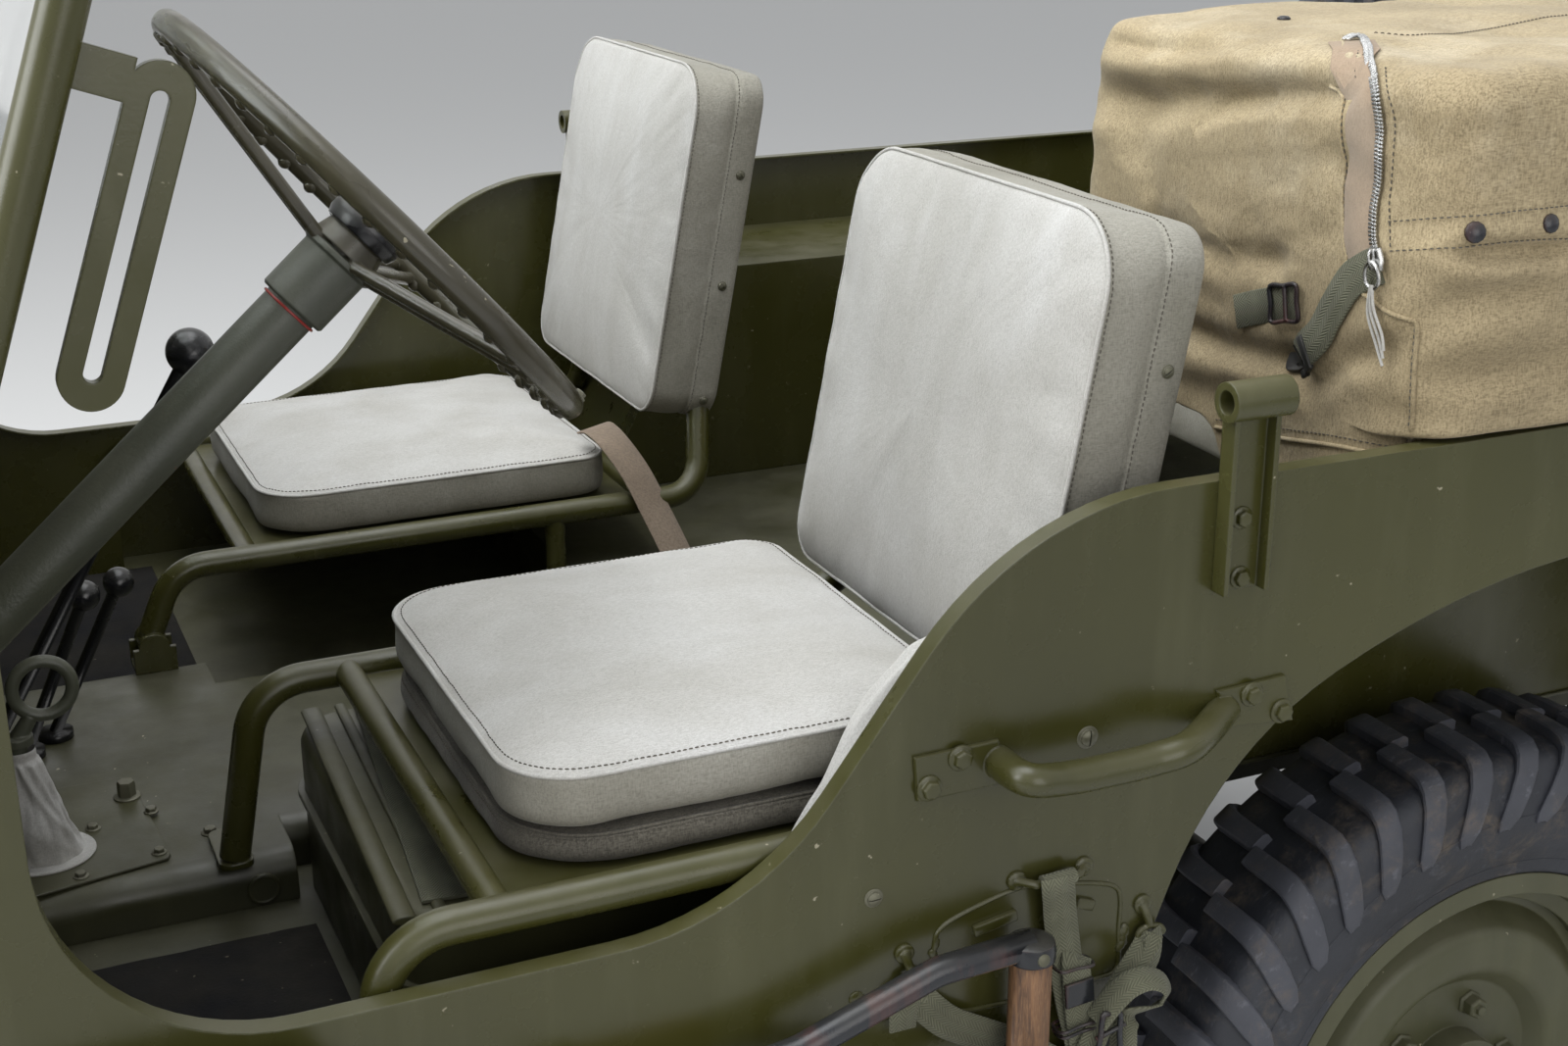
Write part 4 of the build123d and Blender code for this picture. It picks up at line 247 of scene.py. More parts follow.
oliveLook = {
    "base": (0.052, 0.0505, 0.0105), "shade": (0.039, 0.038, 0.0085), "light": (0.13, 0.127, 0.064),
    "streaks": 0.22, "edge": 0.0022, "edgeWearAndHighlight": 0.5, "dust": 0.22, "dustColour": (0.21, 0.19, 0.135),
    "specks": 0.7, "speckColour": (0.42, 0.38, 0.27), "rough": (0.19, 0.34), "metal": 0.0, "specular": 0.5,
    "dents": 0.12, "peel": 0.10,
}
(olivePaint, floorPaint, chassisPaint, wheelPaint, columnPaint, bareSteel, boltSteel, toolEnamel, blackKnob, rimPlastic,
    lampChrome, lampRed, floorMat) = allMaterials(painted, {
    "olivePaint": {},
    "floorPaint": dict(base=(0.066, 0.065, 0.026), shade=(0.036, 0.036, 0.019), dust=0.34,
        dustColour=(0.125, 0.115, 0.075), rough=(0.24, 0.5), peel=0.2),
    "chassisPaint": dict(base=(0.055, 0.055, 0.028), shade=(0.030, 0.030, 0.020), dust=0.5,
        dustColour=(0.13, 0.112, 0.08), rough=(0.5, 0.75), peel=0.35),
    "wheelPaint": dict(base=(0.066, 0.066, 0.026), shade=(0.046, 0.046, 0.022), dust=0.3, rough=(0.36, 0.56)),
    "columnPaint": dict(base=(0.082, 0.086, 0.058), shade=(0.046, 0.050, 0.040), light=(0.13, 0.13, 0.095),
        specks=0.9, speckColour=(0.20, 0.055, 0.035), rough=(0.28, 0.5), peel=0.55),
    "bareSteel": dict(base=(0.055, 0.056, 0.055), shade=(0.032, 0.032, 0.032), light=(0.16, 0.15, 0.13),
        dustColour=(0.12, 0.09, 0.06), rough=(0.35, 0.55), metal=0.6),
    "boltSteel": dict(base=(0.15, 0.145, 0.10), shade=(0.075, 0.073, 0.045), light=(0.36, 0.34, 0.28),
        edgeWearAndHighlight=0.9, rough=(0.28, 0.5), metal=0.3, edge=0.0008),
    "toolEnamel": dict(base=(0.012, 0.014, 0.020), shade=(0.008, 0.009, 0.012), light=(0.13, 0.045, 0.035),
        streaks=0.85, edgeWearAndHighlight=0.7, specks=0.9, speckColour=(0.3, 0.29, 0.27), rough=(0.14, 0.3), peel=0.25),
    "blackKnob": dict(base=(0.010, 0.011, 0.013), shade=(0.007, 0.007, 0.008), light=(0.05, 0.05, 0.052),
        streaks=0.2, dust=0.15, rough=(0.16, 0.3), peel=0.05),
    "rimPlastic": dict(base=(0.060, 0.054, 0.032), shade=(0.036, 0.032, 0.020), light=(0.13, 0.118, 0.075),
        streaks=0.35, dust=0.1, rough=(0.17, 0.3), peel=0.05, dents=0.03),
    "lampChrome": dict(base=(0.55, 0.55, 0.54), shade=(0.42, 0.42, 0.41), light=(0.62, 0.62, 0.61), streaks=0.2,
        dust=0.1, specks=0.0, rough=(0.12, 0.28), metal=1.0, peel=0.02, dents=0.02),
    "lampRed": dict(base=(0.36, 0.018, 0.014), shade=(0.24, 0.012, 0.010), light=(0.45, 0.08, 0.06), dust=0.2,
        rough=(0.12, 0.24), peel=0.03),
    "floorMat": dict(base=(0.008, 0.008, 0.010), shade=(0.005, 0.005, 0.006), light=(0.03, 0.03, 0.03),
        streaks=0.2, dust=0.12, specks=0.3, rough=(0.75, 0.92), peel=0.9, specular=0.2),
    }, oliveLook)


def woven(make, look):
    places = make.places()
    stains = make.noise(make.places(look["stainStretch"]), look["stainScale"], 6, 0.58, 0.4)
    colour = make.blend(make.band(stains, 0.34, 0.66), look["shade"], look["base"])
    blotches = make.patches(places, (look["blotchScale"], 4, 0.55), (0.52, 0.72, 0, look["blotch"]))
    colour = make.blend(blotches, colour, look["light"])
    threads = make.share(*(make.noise(make.places(stretch), look["threadScale"], 2, 0.5)
        for stretch in ((0.25, 1, 1), (1, 1, 0.25))))
    colour = make.blend(make.band(threads, 0.12, 0.40, 0, look["thread"]), colour, look["dark"], "MULTIPLY")
    # painted shade: the cloth turns darker the more its face looks down
    colour = make.blend(make.share(make.upright(0.35, -0.55), look["under"]), colour, look["dark"])
    marks = make.patches(places, (85, 3, 0.6), (0.71, 0.76))
    colour = make.blend(make.share(marks, look["marks"]), colour, look["dark"])
    bump = make.raised(make.noise(places, look["creaseScale"], 5, 0.62, 0.5), look["crease"], 0.004)
    return {"Base Color": colour, "Roughness": make.band(stains, 0.3, 0.7, 0.72, 0.92), "Specular IOR Level": 0.25,
        "Sheen Weight": look["sheen"], "Sheen Roughness": 0.45,
        "Normal": make.raised(threads, look["weave"], 0.0009, bump)}


seatLook = {
    "base": (0.58, 0.57, 0.545), "shade": (0.48, 0.465, 0.43), "light": (0.65, 0.645, 0.635),
    "dark": (0.30, 0.28, 0.24), "stainStretch": (2.2, 3.4, 0.8), "stainScale": 3.2, "blotchScale": 5.5,
    "blotch": 0.6, "threadScale": 950.0, "thread": 0.35, "under": 0.4, "marks": 0.25, "sheen": 0.12,
    "creaseScale": 26.0, "crease": 0.16, "weave": 0.5,
}
seatCanvas, seatSideShadedCanvas, seatLowShadedCanvas, tanCanvas, zipTape, beltCloth, bootRubber, threadDark = allMaterials(woven, {
    "seatCanvas": {},
    # the cushions' sides: partly a darker cloth, partly painted shade on the faces turned from the lamps
    "seatSideShadedCanvas": dict(base=(0.37, 0.355, 0.305), shade=(0.27, 0.258, 0.21), light=(0.46, 0.445, 0.395),
        dark=(0.12, 0.105, 0.075), crease=0.35),
    # the pad under the cushion: partly a darker cloth, partly painted shade where the cushion hangs over it
    "seatLowShadedCanvas": dict(base=(0.17, 0.155, 0.125), shade=(0.105, 0.096, 0.08), light=(0.28, 0.26, 0.225),
        dark=(0.06, 0.055, 0.045), thread=0.6, weave=0.8, crease=0.3),
    "tanCanvas": dict(base=(0.53, 0.43, 0.265), shade=(0.37, 0.295, 0.175), light=(0.62, 0.53, 0.37),
        dark=(0.11, 0.085, 0.045), stainStretch=(1, 1, 1.6), stainScale=6.5, blotchScale=9.0, blotch=0.75,
        threadScale=720.0, thread=0.5, under=0.35, marks=0.5, creaseScale=34.0, crease=0.4, weave=0.7),
    "zipTape": dict(base=(0.44, 0.33, 0.235), shade=(0.33, 0.25, 0.175), light=(0.5, 0.4, 0.3)),
    "beltCloth": dict(base=(0.30, 0.235, 0.175), shade=(0.22, 0.17, 0.125), light=(0.38, 0.31, 0.24),
        dark=(0.14, 0.105, 0.075), threadScale=600.0),
    "bootRubber": dict(base=(0.52, 0.54, 0.55), shade=(0.34, 0.36, 0.37), light=(0.68, 0.70, 0.71),
        dark=(0.16, 0.165, 0.17), creaseScale=45.0, crease=0.5, sheen=0.0),
    "threadDark": dict(base=(0.10, 0.09, 0.07), shade=(0.07, 0.062, 0.05), light=(0.16, 0.14, 0.11)),
    }, seatLook)


def ribbed(make, look):  # a herringbone in the strap's own UV map: u across, v along, in metres
    left, right = (make.add("ShaderNodeTexWave", {
        "Vector": make.places((1, 1, 1), (0, 0, math.radians(degrees)), "UV"), "Scale": look["ribScale"],
        "Distortion": 0.6}, bands_direction="X").outputs["Fac"] for degrees in (38, -38))
    split = make.add("ShaderNodeSeparateXYZ", (make.add("ShaderNodeTexCoord").outputs["UV"],))
    lanes = make.math("PINGPONG", split.outputs[0], look["lane"])
    chooser = make.band(lanes, look["lane"] * 0.45, look["lane"] * 0.55)
    ribs = make.add("ShaderNodeMix", {0: chooser, 2: left, 3: right}).outputs[0]
    places = make.places()
    colour = make.blend(make.patches(places, (30, 5, 0.6), (0.35, 0.65)), look["shade"], look["base"])
    return {"Base Color": make.blend(make.band(ribs, 0.1, 0.9, 0.55, 0.0), colour, look["dark"]),
        "Roughness": make.patches(places, (60, 3), (0.3, 0.7, 0.72, 0.9)), "Specular IOR Level": 0.25,
        "Sheen Weight": 0.1, "Normal": make.raised(ribs, 0.6, 0.0009)}


webbing = newMaterial("webbing", ribbed, {"base": (0.185, 0.185, 0.125), "shade": (0.125, 0.125, 0.082),
    "dark": (0.045, 0.046, 0.03), "ribScale": 150.0, "lane": 0.0055})


def muddy(make, look):
    places = make.places()
    colour = make.blend(make.patches(places, (5, 5, 0.6), (0.35, 0.65)), look["shade"], look["base"])
    mud = make.share(make.patches(places, (17, 9, 0.72, 0.6), (0.50, 0.66)),
        make.patches(places, (95, 6, 0.7), (0.38, 0.6)))
    colour = make.blend(make.share(mud, look["mud"]), colour, look["mudColour"])
    scuffs = make.patches(make.places((1, 3, 1)), (60, 5, 0.7), (0.58, 0.72))
    colour = make.blend(make.share(scuffs, look["scuffs"]), colour, look["scuffColour"])
    bump = make.raised(make.noise(places, 45, 7, 0.68), 0.35, 0.003)
    return {"Base Color": colour, "Roughness": make.band(mud, 0, 1, 0.52, 0.9), "Specular IOR Level": 0.4,
        "Normal": make.raised(mud, 0.3, 0.0015, bump)}


tyreLook = {"base": (0.030, 0.033, 0.042), "shade": (0.016, 0.017, 0.022), "mud": 0.65,
    "mudColour": (0.155, 0.125, 0.095), "scuffs": 0.35, "scuffColour": (0.12, 0.125, 0.145)}
tyreRubber, lugRubber = allMaterials(muddy, {
    "tyreRubber": {},
    "lugRubber": dict(base=(0.075, 0.078, 0.095), shade=(0.035, 0.037, 0.045), mud=0.55,
        mudColour=(0.19, 0.155, 0.125), scuffs=0.5, scuffColour=(0.19, 0.195, 0.225)),
    }, tyreLook)


def grained(make, look):
    grain = make.noise(make.places(look["stretch"]), 14, 8, 0.66, 1.2)
    colour = make.blend(make.band(grain, 0.34, 0.62), look["dark"], look["base"])
    fine = make.patches(make.places(look["stretch"]), (90, 4, 0.6), (0.5, 0.7, 0, 0.5))
    return {"Base Color": make.blend(fine, colour, look["light"]),
        "Roughness": make.band(grain, 0.3, 0.7, 0.42, 0.65), "Normal": make.raised(grain, 0.35, 0.001)}


woodLook = {"base": (0.19, 0.095, 0.042), "dark": (0.055, 0.026, 0.014), "light": (0.30, 0.17, 0.08)}
shaftWood, gripWood = allMaterials(grained, {"shaftWood": {"stretch": (1.2, 12, 12)},
    "gripWood": {"stretch": (12, 12, 1.2)}}, woodLook)


def clear(make, look):
    smears = make.patches(make.places(), (6, 6, 0.65), (0.45, 0.75, 0.01, 0.12))
    return {"Base Color": (0.86, 0.90, 0.88), "Transmission Weight": 0.97, "IOR": 1.45, "Roughness": smears}


paneGlass = newMaterial("paneGlass", clear)
paleFloor = newMaterial("paleFloor", lambda make, look: {"Base Color": lightLook["floorColour"], "Roughness": 0.85})
print("stage 2: materials made")


# small mesh helpers, all in metres in the frame
def frameAlong(points, closed, across=None):  # tangents with side vectors carried along a path
    count = len(points)
    tangents = []
    for i in range(count):
        before = points[i - 1] if closed or i else points[0]
        after = points[(i + 1) % count] if closed or i < count - 1 else points[-1]
        tangents.append((after - before).normalized())
    many = across is not None and hasattr(across[0], "__len__")
    side = tangents[0].orthogonal() if across is None else Vector(across[0] if many else across)
    sides = []
    for i, tangent in enumerate(tangents):
        if many:
            side = Vector(across[i])
        side = (side - tangent * side.dot(tangent))
        side = side.normalized() if side.length > 1e-9 else tangent.orthogonal().normalized()
        sides.append(side.copy())
    return tangents, sides


def joinRings(bm, rings, closed=False, capped=True):  # a ring of one point is a pole
    made = []
    for first, second in zip(rings, rings[1:] + rings[:1] if closed else rings[1:]):
        a, b = len(first), len(second)
        for k in range(max(a, b)):
            n = k + 1
            made.append(bm.faces.new(list(dict.fromkeys((first[k % a], first[n % a], second[n % b], second[k % b])))))
    for ring in (rings[0][::-1], rings[-1]) if capped and not closed else ():
        if len(ring) > 1:
            bm.faces.new(ring)
    return made


def ringFaces(rings, count, low=None, high=None):  # the same by numbers, with fans to two middle points
    faces = [(r + k, r + (k + 1) % count, r + count + (k + 1) % count, r + count + k)
        for r in range(0, (rings - 1) * count, count) for k in range(count)]
    if low is not None:
        last = (rings - 1) * count
        for k in range(count):
            faces += [(low, (k + 1) % count, k), (high, last + k, last + (k + 1) % count)]
    return faces


def sweepSection(bm, points, section, across=None, closed=False, uv=None):
    # section is a closed list of (side, up) offsets, or one such list for every point
    tangents, sides = frameAlong(points, closed, across)
    sections = section if hasattr(section[0][0], "__len__") else [section] * len(points)
    rings = [[bm.verts.new(point + side * a + tangent.cross(side) * b) for a, b in offsets]
        for point, tangent, side, offsets in zip(points, tangents, sides, sections)]
    faces = joinRings(bm, rings, closed)
    if uv is None:
        return
    lengths = [0.0]
    for a, b in zip(points, points[1:]):
        lengths.append(lengths[-1] + (b - a).length)
    lengths.append(lengths[-1] + 0.01)
    count = len(rings[0])
    for index, face in enumerate(faces):
        i, k = divmod(index, count)
        n = (k + 1) % count
        for loop, (corner, end) in zip(face.loops, ((k, i), (n, i), (n, i + 1), (k, i + 1))):
            loop[uv].uv = (sections[i][corner][0] + 0.5, lengths[end])


def roundSection(radius, count=12, flatten=1.0):
    return [(radius * math.cos(t), radius * flatten * math.sin(t)) for t in circle(count)]


def strapSection(width, thickness):
    w, t, r = width / 2, thickness / 2, thickness * 0.35
    return [(w, -t + r), (w, t - r), (w - r, t), (0, t), (-w + r, t),
        (-w, t - r), (-w, -t + r), (-w + r, -t), (0, -t), (w - r, -t)]


def addTube(bm, points, radius, count=12, closed=False, across=None):
    many = hasattr(radius, "__len__")
    section = [roundSection(r, count) for r in radius] if many else roundSection(radius, count)
    sweepSection(bm, points, section, across, closed)


def smoothPath(points, steps=8, closed=False):  # a rounded line through a few points
    out = []
    count = len(points)
    for i in range(count if closed else count - 1):
        a = points[i - 1] if closed or i else points[0]
        b, c = points[i], points[(i + 1) % count]
        d = points[(i + 2) % count] if closed or i < count - 2 else points[-1]
        for k in range(steps):
            t = k / steps
            out.append(0.5 * (
                2 * b + (c - a) * t + (2 * a - 5 * b + 4 * c - d) * t * t + (3 * b - a - 3 * c + d) * t ** 3
                ))
    if not closed:
        out.append(points[-1].copy())
    return out


def loopTube(bm, corners, radius, steps=6, count=8):
    addTube(bm, smoothPath(corners, steps, True), radius, count, True)


def withMiddles(corners):  # a closed outline with a point halfway along each side
    return [p for a, b in zip(corners, corners[1:] + corners[:1]) for p in (a, a.lerp(b, 0.5))]


def addLathe(bm, centre, axis, profile, count=24):  # profile of (radius, height)
    axis = Vector(axis).normalized()
    side = axis.orthogonal().normalized()
    other = axis.cross(side)
    joinRings(bm, [[
        bm.verts.new(centre + axis * height + side * radius * math.cos(t) + other * radius * math.sin(t))
        for t in circle(count if radius > 1e-6 else 1)
        ] for radius, height in profile])


def addSlab(bm, corners, thickness, normal, inset=0.0):  # a plate from a flat outline
    normal = Vector(normal).normalized()
    middle = sum(corners, Vector()) / len(corners)
    high = [c + normal * thickness + (middle - c).normalized() * inset for c in corners]
    joinRings(bm, [[bm.verts.new(p) for p in ring] for ring in (corners, high)])


def addBlock(bm, centre, axes, sizes, bevel=0.0):
    verts = [bm.verts.new(centre + axes[0] * x * sizes[0] / 2 + axes[1] * y * sizes[1] / 2 + axes[2] * z * sizes[2] / 2)
        for x in (-1, 1) for y in (-1, 1) for z in (-1, 1)]
    faces = [(0, 1, 3, 2), (4, 6, 7, 5), (0, 4, 5, 1), (2, 3, 7, 6), (0, 2, 6, 4), (1, 5, 7, 3)]
    made = [bm.faces.new([verts[i] for i in f]) for f in faces]
    if bevel > 0:
        edges = list({e for f in made for e in f.edges})
        bmesh.ops.bevel(bm, geom=edges, offset=bevel, segments=2, affect="EDGES", profile=0.6)


def newPiece(name, mesh, materials, body):
    for material in materials if isinstance(materials, (list, tuple)) else [materials]:
        mesh.materials.append(material)
    piece = placed(name, mesh)
    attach(piece, body)
    return piece


def smoothed(mesh, sharp):
    mesh.shade_smooth()
    mesh.set_sharp_from_angle(angle=math.radians(sharp))
    return mesh


def finishMesh(bm, name, sharp=38.0):
    bmesh.ops.remove_doubles(bm, verts=bm.verts, dist=2e-6)
    bmesh.ops.recalc_face_normals(bm, faces=bm.faces)
    mesh = bpy.data.meshes.new(name)
    bm.to_mesh(mesh)
    bm.free()
    return smoothed(mesh, sharp)


def makePiece(name, bm, materials, body, sharp=38.0):
    return newPiece(name, finishMesh(bm, name, sharp), materials, body)


def bmeshOf(*meshes):
    bm = bmesh.new()
    for mesh in meshes:
        bm.from_mesh(mesh)
    return bm


def outward(mesh):  # faces turned outwards
    bm = bmeshOf(mesh)
    bmesh.ops.recalc_face_normals(bm, faces=bm.faces)
    bm.to_mesh(mesh)
    bm.free()


def nodeMesh(name):  # a merged copy of a CAD node's mesh
    bm = bmeshOf(nodes[name].data)
    bmesh.ops.remove_doubles(bm, verts=bm.verts, dist=1e-5)
    return bm


def treeOf(*pieces):
    bm = bmeshOf(*(piece.data for piece in pieces))
    tree = BVHTree.FromBMesh(bm)
    bm.free()
    return tree


def nodeTree(*names):
    return treeOf(*(nodes[name] for name in names))


# Geometry Nodes: one tree puts a shape on marked points, one makes a ring, one sews along a line
def startTree(name, *sockets):
    tree = bpy.data.node_groups.new(name, "GeometryNodeTree")
    for socket, kind, value in (("Geometry", "Geometry", None), *sockets, ("Finish", "Material", None)):
        item = tree.interface.new_socket(name=socket, in_out="INPUT", socket_type="NodeSocket" + kind)
        if value is not None:
            item.default_value = value
    tree.interface.new_socket(name="Geometry", in_out="OUTPUT", socket_type="NodeSocketGeometry")
    make = treeMaker(tree)
    return make, make.add("NodeGroupInput").outputs


def endTree(make, entry, points, shape, rotation, scale=(1, 1, 1)):
    info = make.add("GeometryNodeObjectInfo", {"Object": entry[shape]})
    made = make.add("GeometryNodeInstanceOnPoints", {
        "Points": points, "Instance": info.outputs["Geometry"], "Rotation": rotation, "Scale": scale})
    realized = make.add("GeometryNodeRealizeInstances", (made.outputs[0],))
    finished = make.add("GeometryNodeSetMaterial", {"Geometry": realized.outputs[0], "Material": entry["Finish"]})
    make.add("NodeGroupOutput", (finished.outputs[0],))
    return make.tree


def marked(make, name, kind="FLOAT_VECTOR"):
    return make.add("GeometryNodeInputNamedAttribute", {"Name": name}, data_type=kind).outputs[0]


def turnedRound(make, axis, angle):
    spin = make.add("ShaderNodeCombineXYZ", {axis: angle})
    return make.add("FunctionNodeEulerToRotation", (spin.outputs[0],)).outputs[0]


def aligned(make, first, second, axes):
    node = make.add("FunctionNodeAxesToRotation", (first, second), primary_axis=axes[0], secondary_axis=axes[1])
    return node.outputs[0]


def buildScatterTree():
    make, entry = startTree("fastenersOnPoints", ("Head", "Object", None), ("Size", "Float", 1.0),
        ("Turn", "Float", 0.0), ("Seed", "Int", 4))
    turn = aligned(make, marked(make, "facing"), marked(make, "along"), "ZX")
    chance = make.add("FunctionNodeRandomValue", {"Seed": entry["Seed"]}, data_type="FLOAT")
    lowest, highest = [s for s in chance.inputs if s.type == "VALUE" and s.enabled][:2]
    make.feed(lowest, make.math("MULTIPLY", entry["Turn"], -1))
    make.feed(highest, entry["Turn"])
    drawn = next(s for s in chance.outputs if s.type == "VALUE" and s.enabled)
    rotate = make.add("FunctionNodeRotateRotation", (turn, turnedRound(make, "Z", drawn)), rotation_space="LOCAL")
    size = make.math("MULTIPLY", entry["Size"], marked(make, "grow", "FLOAT"))
    return endTree(make, entry, entry["Geometry"], "Head", rotate.outputs[0], size)


def buildRingTree():
    make, entry = startTree("ringRoundAxle", ("Shape", "Object", None), ("Count", "Int", 5),
        ("First angle", "Float", 0.0), ("Centre", "Vector", None))
    points = make.add("GeometryNodePoints", {"Count": entry["Count"], "Position": entry["Centre"]})
    step = make.math("DIVIDE", 2 * math.pi, entry["Count"])
    index = make.add("GeometryNodeInputIndex").outputs[0]
    angle = make.math("MULTIPLY_ADD", index, step, entry["First angle"])
    return endTree(make, entry, points.outputs[0], "Shape", turnedRound(make, "Y", angle))


def buildSewingTree():
    make, entry = startTree("sewnLine", ("Pitch", "Float", 0.004), ("Stitch", "Object", None))
    curve = make.add("GeometryNodeMeshToCurve", (entry["Geometry"],))
    resample = make.add("GeometryNodeResampleCurve", {"Curve": curve.outputs[0], "Length": entry["Pitch"]},
        mode="LENGTH")
    tangent = make.add("GeometryNodeInputTangent").outputs[0]
    turn = aligned(make, tangent, marked(make, "facing"), "XZ")
    return endTree(make, entry, resample.outputs[0], "Stitch", turn)


scatterTree, ringTree, sewingTree = buildScatterTree(), buildRingTree(), buildSewingTree()


def appliedMesh(holder, name):  # what the holder's modifier makes of it
    bpy.context.view_layer.update()
    graph = bpy.context.evaluated_depsgraph_get()
    mesh = bpy.data.meshes.new_from_object(holder.evaluated_get(graph), depsgraph=graph)
    bpy.data.objects.remove(holder)
    mesh.name = name
    return mesh


def runTree(name, holderMesh, tree, values, body, sharp=38.0):
    holder = placed(name + "Holder", holderMesh)
    modifier = holder.modifiers.new("maker", "NODES")
    modifier.node_group = tree
    for item in tree.interface.items_tree:
        if item.item_type == "SOCKET" and item.in_out == "INPUT" and item.name in values:
            modifier[item.identifier] = values[item.name]
    return newPiece(name, smoothed(appliedMesh(holder, name), sharp), [], body)


def runRing(name, shape, count, first, centre, finish, body, sharp):
    values = {"Shape": shape, "Count": count, "First angle": first, "Centre": centre, "Finish": finish}
    return runTree(name, rawMesh(name + "Centre", [(0, 0, 0)]), ringTree, values, body, sharp)


def headShape(name, bm):  # a shape kept out of sight, for a tree to repeat
    shape = placed(name, finishMesh(bm, name))
    shape.hide_render = shape.hide_viewport = True
    return shape


hexHead = {"radius": 0.0058, "height": 0.0042, "washer": 0.0080, "washerHeight": 0.0014, "dome": 0.0006}
roundHead = {"radius": 0.0056, "height": 0.0026, "washer": 0.0078, "washerHeight": 0.0010, "slot": 0.0011}
rivetHead = {"radius": 0.0040, "height": 0.0018}
stitchShape = {"length": 0.0031, "radius": 0.00055}


def makeHexHead(look):
    bm = bmesh.new()
    r, h, rim, w = look["radius"], look["height"], look["washer"], look["washerHeight"]
    addLathe(bm, Vector(), zAxis, [(rim, -0.0005), (rim, w * 0.7), (rim * 0.93, w)], 20)
    addLathe(bm, zAxis * w, zAxis, [(r, -0.0004), (r, h * 0.8), (r * 0.86, h), (0, h + look["dome"])], 6)
    return headShape("hexHead", bm)


def makeRoundHead(look):
    bm = bmesh.new()
    r, h, s, rim, w = look["radius"], look["height"], look["slot"] / 2, look["washer"], look["washerHeight"]
    addLathe(bm, Vector(), zAxis, [(rim, -0.0005), (rim, w * 0.6), (rim * 0.85, w)], 18)
    floor = w + 0.0008
    for hand in (-1, 1):  # two half heads with the slot between them
        arc = [(r * math.cos(math.pi * k / 8), max(r * math.sin(math.pi * k / 8), s)) for k in range(9)]
        joinRings(bm, [[bm.verts.new(Vector((x * grow, hand * max(y * grow, s), z))) for x, y in arc]
            for grow, z in ((1, floor * 0.2), (1, floor + h * 0.45), (0.66, floor + h))])
    addLathe(bm, zAxis * 0.0002, zAxis, [(r * 0.96, 0), (r * 0.96, floor)], 16)
    return headShape("roundHead", bm)


def makeRivetHead(look):
    bm = bmesh.new()
    r, h = look["radius"], look["height"]
    addLathe(bm, Vector(), zAxis, [(r, -0.0004), (r * 0.95, h * 0.35), (r * 0.6, h * 0.85), (0, h)], 12)
    return headShape("rivetHead", bm)


def makeStitch(look):
    bm = bmesh.new()
    half, r = look["length"] / 2, look["radius"]
    path = [Vector((x * half, 0, z * r)) for x, z in ((-1, -0.6), (-0.5, 0.35), (0.5, 0.35), (1, -0.6))]
    addTube(bm, path, [r * 0.5, r, r, r * 0.5], 5)
    return headShape("stitchThread", bm)


hexShape, roundShape = makeHexHead(hexHead), makeRoundHead(roundHead)
rivetShape, stitchPiece = makeRivetHead(rivetHead), makeStitch(stitchShape)
fastenerPlaces = {}  # (kind, body) to a list of place, facing, size


def fasten(kind, body, place, facing, size=1.0):
    fastenerPlaces.setdefault((kind, body), []).append((Vector(place), Vector(facing).normalized(), size))


def pointMesh(name, places):
    mesh = rawMesh(name, [p for p, _, _ in places])
    for attribute, kind in (("facing", "FLOAT_VECTOR"), ("along", "FLOAT_VECTOR"), ("grow", "FLOAT")):
        mesh.attributes.new(attribute, kind, "POINT")
    facing, along, grow = (mesh.attributes[attribute] for attribute in ("facing", "along", "grow"))
    for i, (_, direction, size) in enumerate(places):
        facing.data[i].vector = direction
        helper = xAxis if abs(direction.x) < 0.8 else zAxis
        along.data[i].vector = (helper - direction * helper.dot(direction)).normalized()
        grow.data[i].value = size
    return mesh


def makeFasteners():
    shapes = {"hex": (hexShape, boltSteel), "screw": (roundShape, boltSteel), "rivet": (rivetShape, boltSteel),
        "paintedHex": (hexShape, olivePaint), "paintedRivet": (rivetShape, olivePaint),
        "snap": (rivetShape, toolEnamel)}
    for index, ((kind, body), places) in enumerate(sorted(fastenerPlaces.items())):
        shape, finish = shapes[kind]
        name = f"{kind}Heads_{body}"
        runTree(name, pointMesh(name, places), scatterTree,
            {"Head": shape, "Size": 1.0, "Turn": 1.5, "Seed": 11 + index, "Finish": finish},
            body)


def facedLine(name, verts, edges, facings):
    mesh = rawMesh(name, verts, (), edges)
    facing = mesh.attributes.new("facing", "FLOAT_VECTOR", "POINT")
    for i, direction in enumerate(facings):
        facing.data[i].vector = direction
    return mesh


def sew(name, lines, finish, body, pitch=0.0046):  # lines of (place, facing) pairs, closed or open
    verts, edges = [], []
    for places, closed in lines:
        first, last = len(verts), len(verts) + len(places) - 1
        verts += places
        edges += [(i, i + 1) for i in range(first, last)] + ([(last, first)] if closed else [])
    mesh = facedLine(name, [p for p, _ in verts], edges, [n for _, n in verts])
    runTree(name, mesh, sewingTree, {"Pitch": pitch, "Stitch": stitchPiece, "Finish": finish}, body)


print("stage 3: helpers and trees ready")

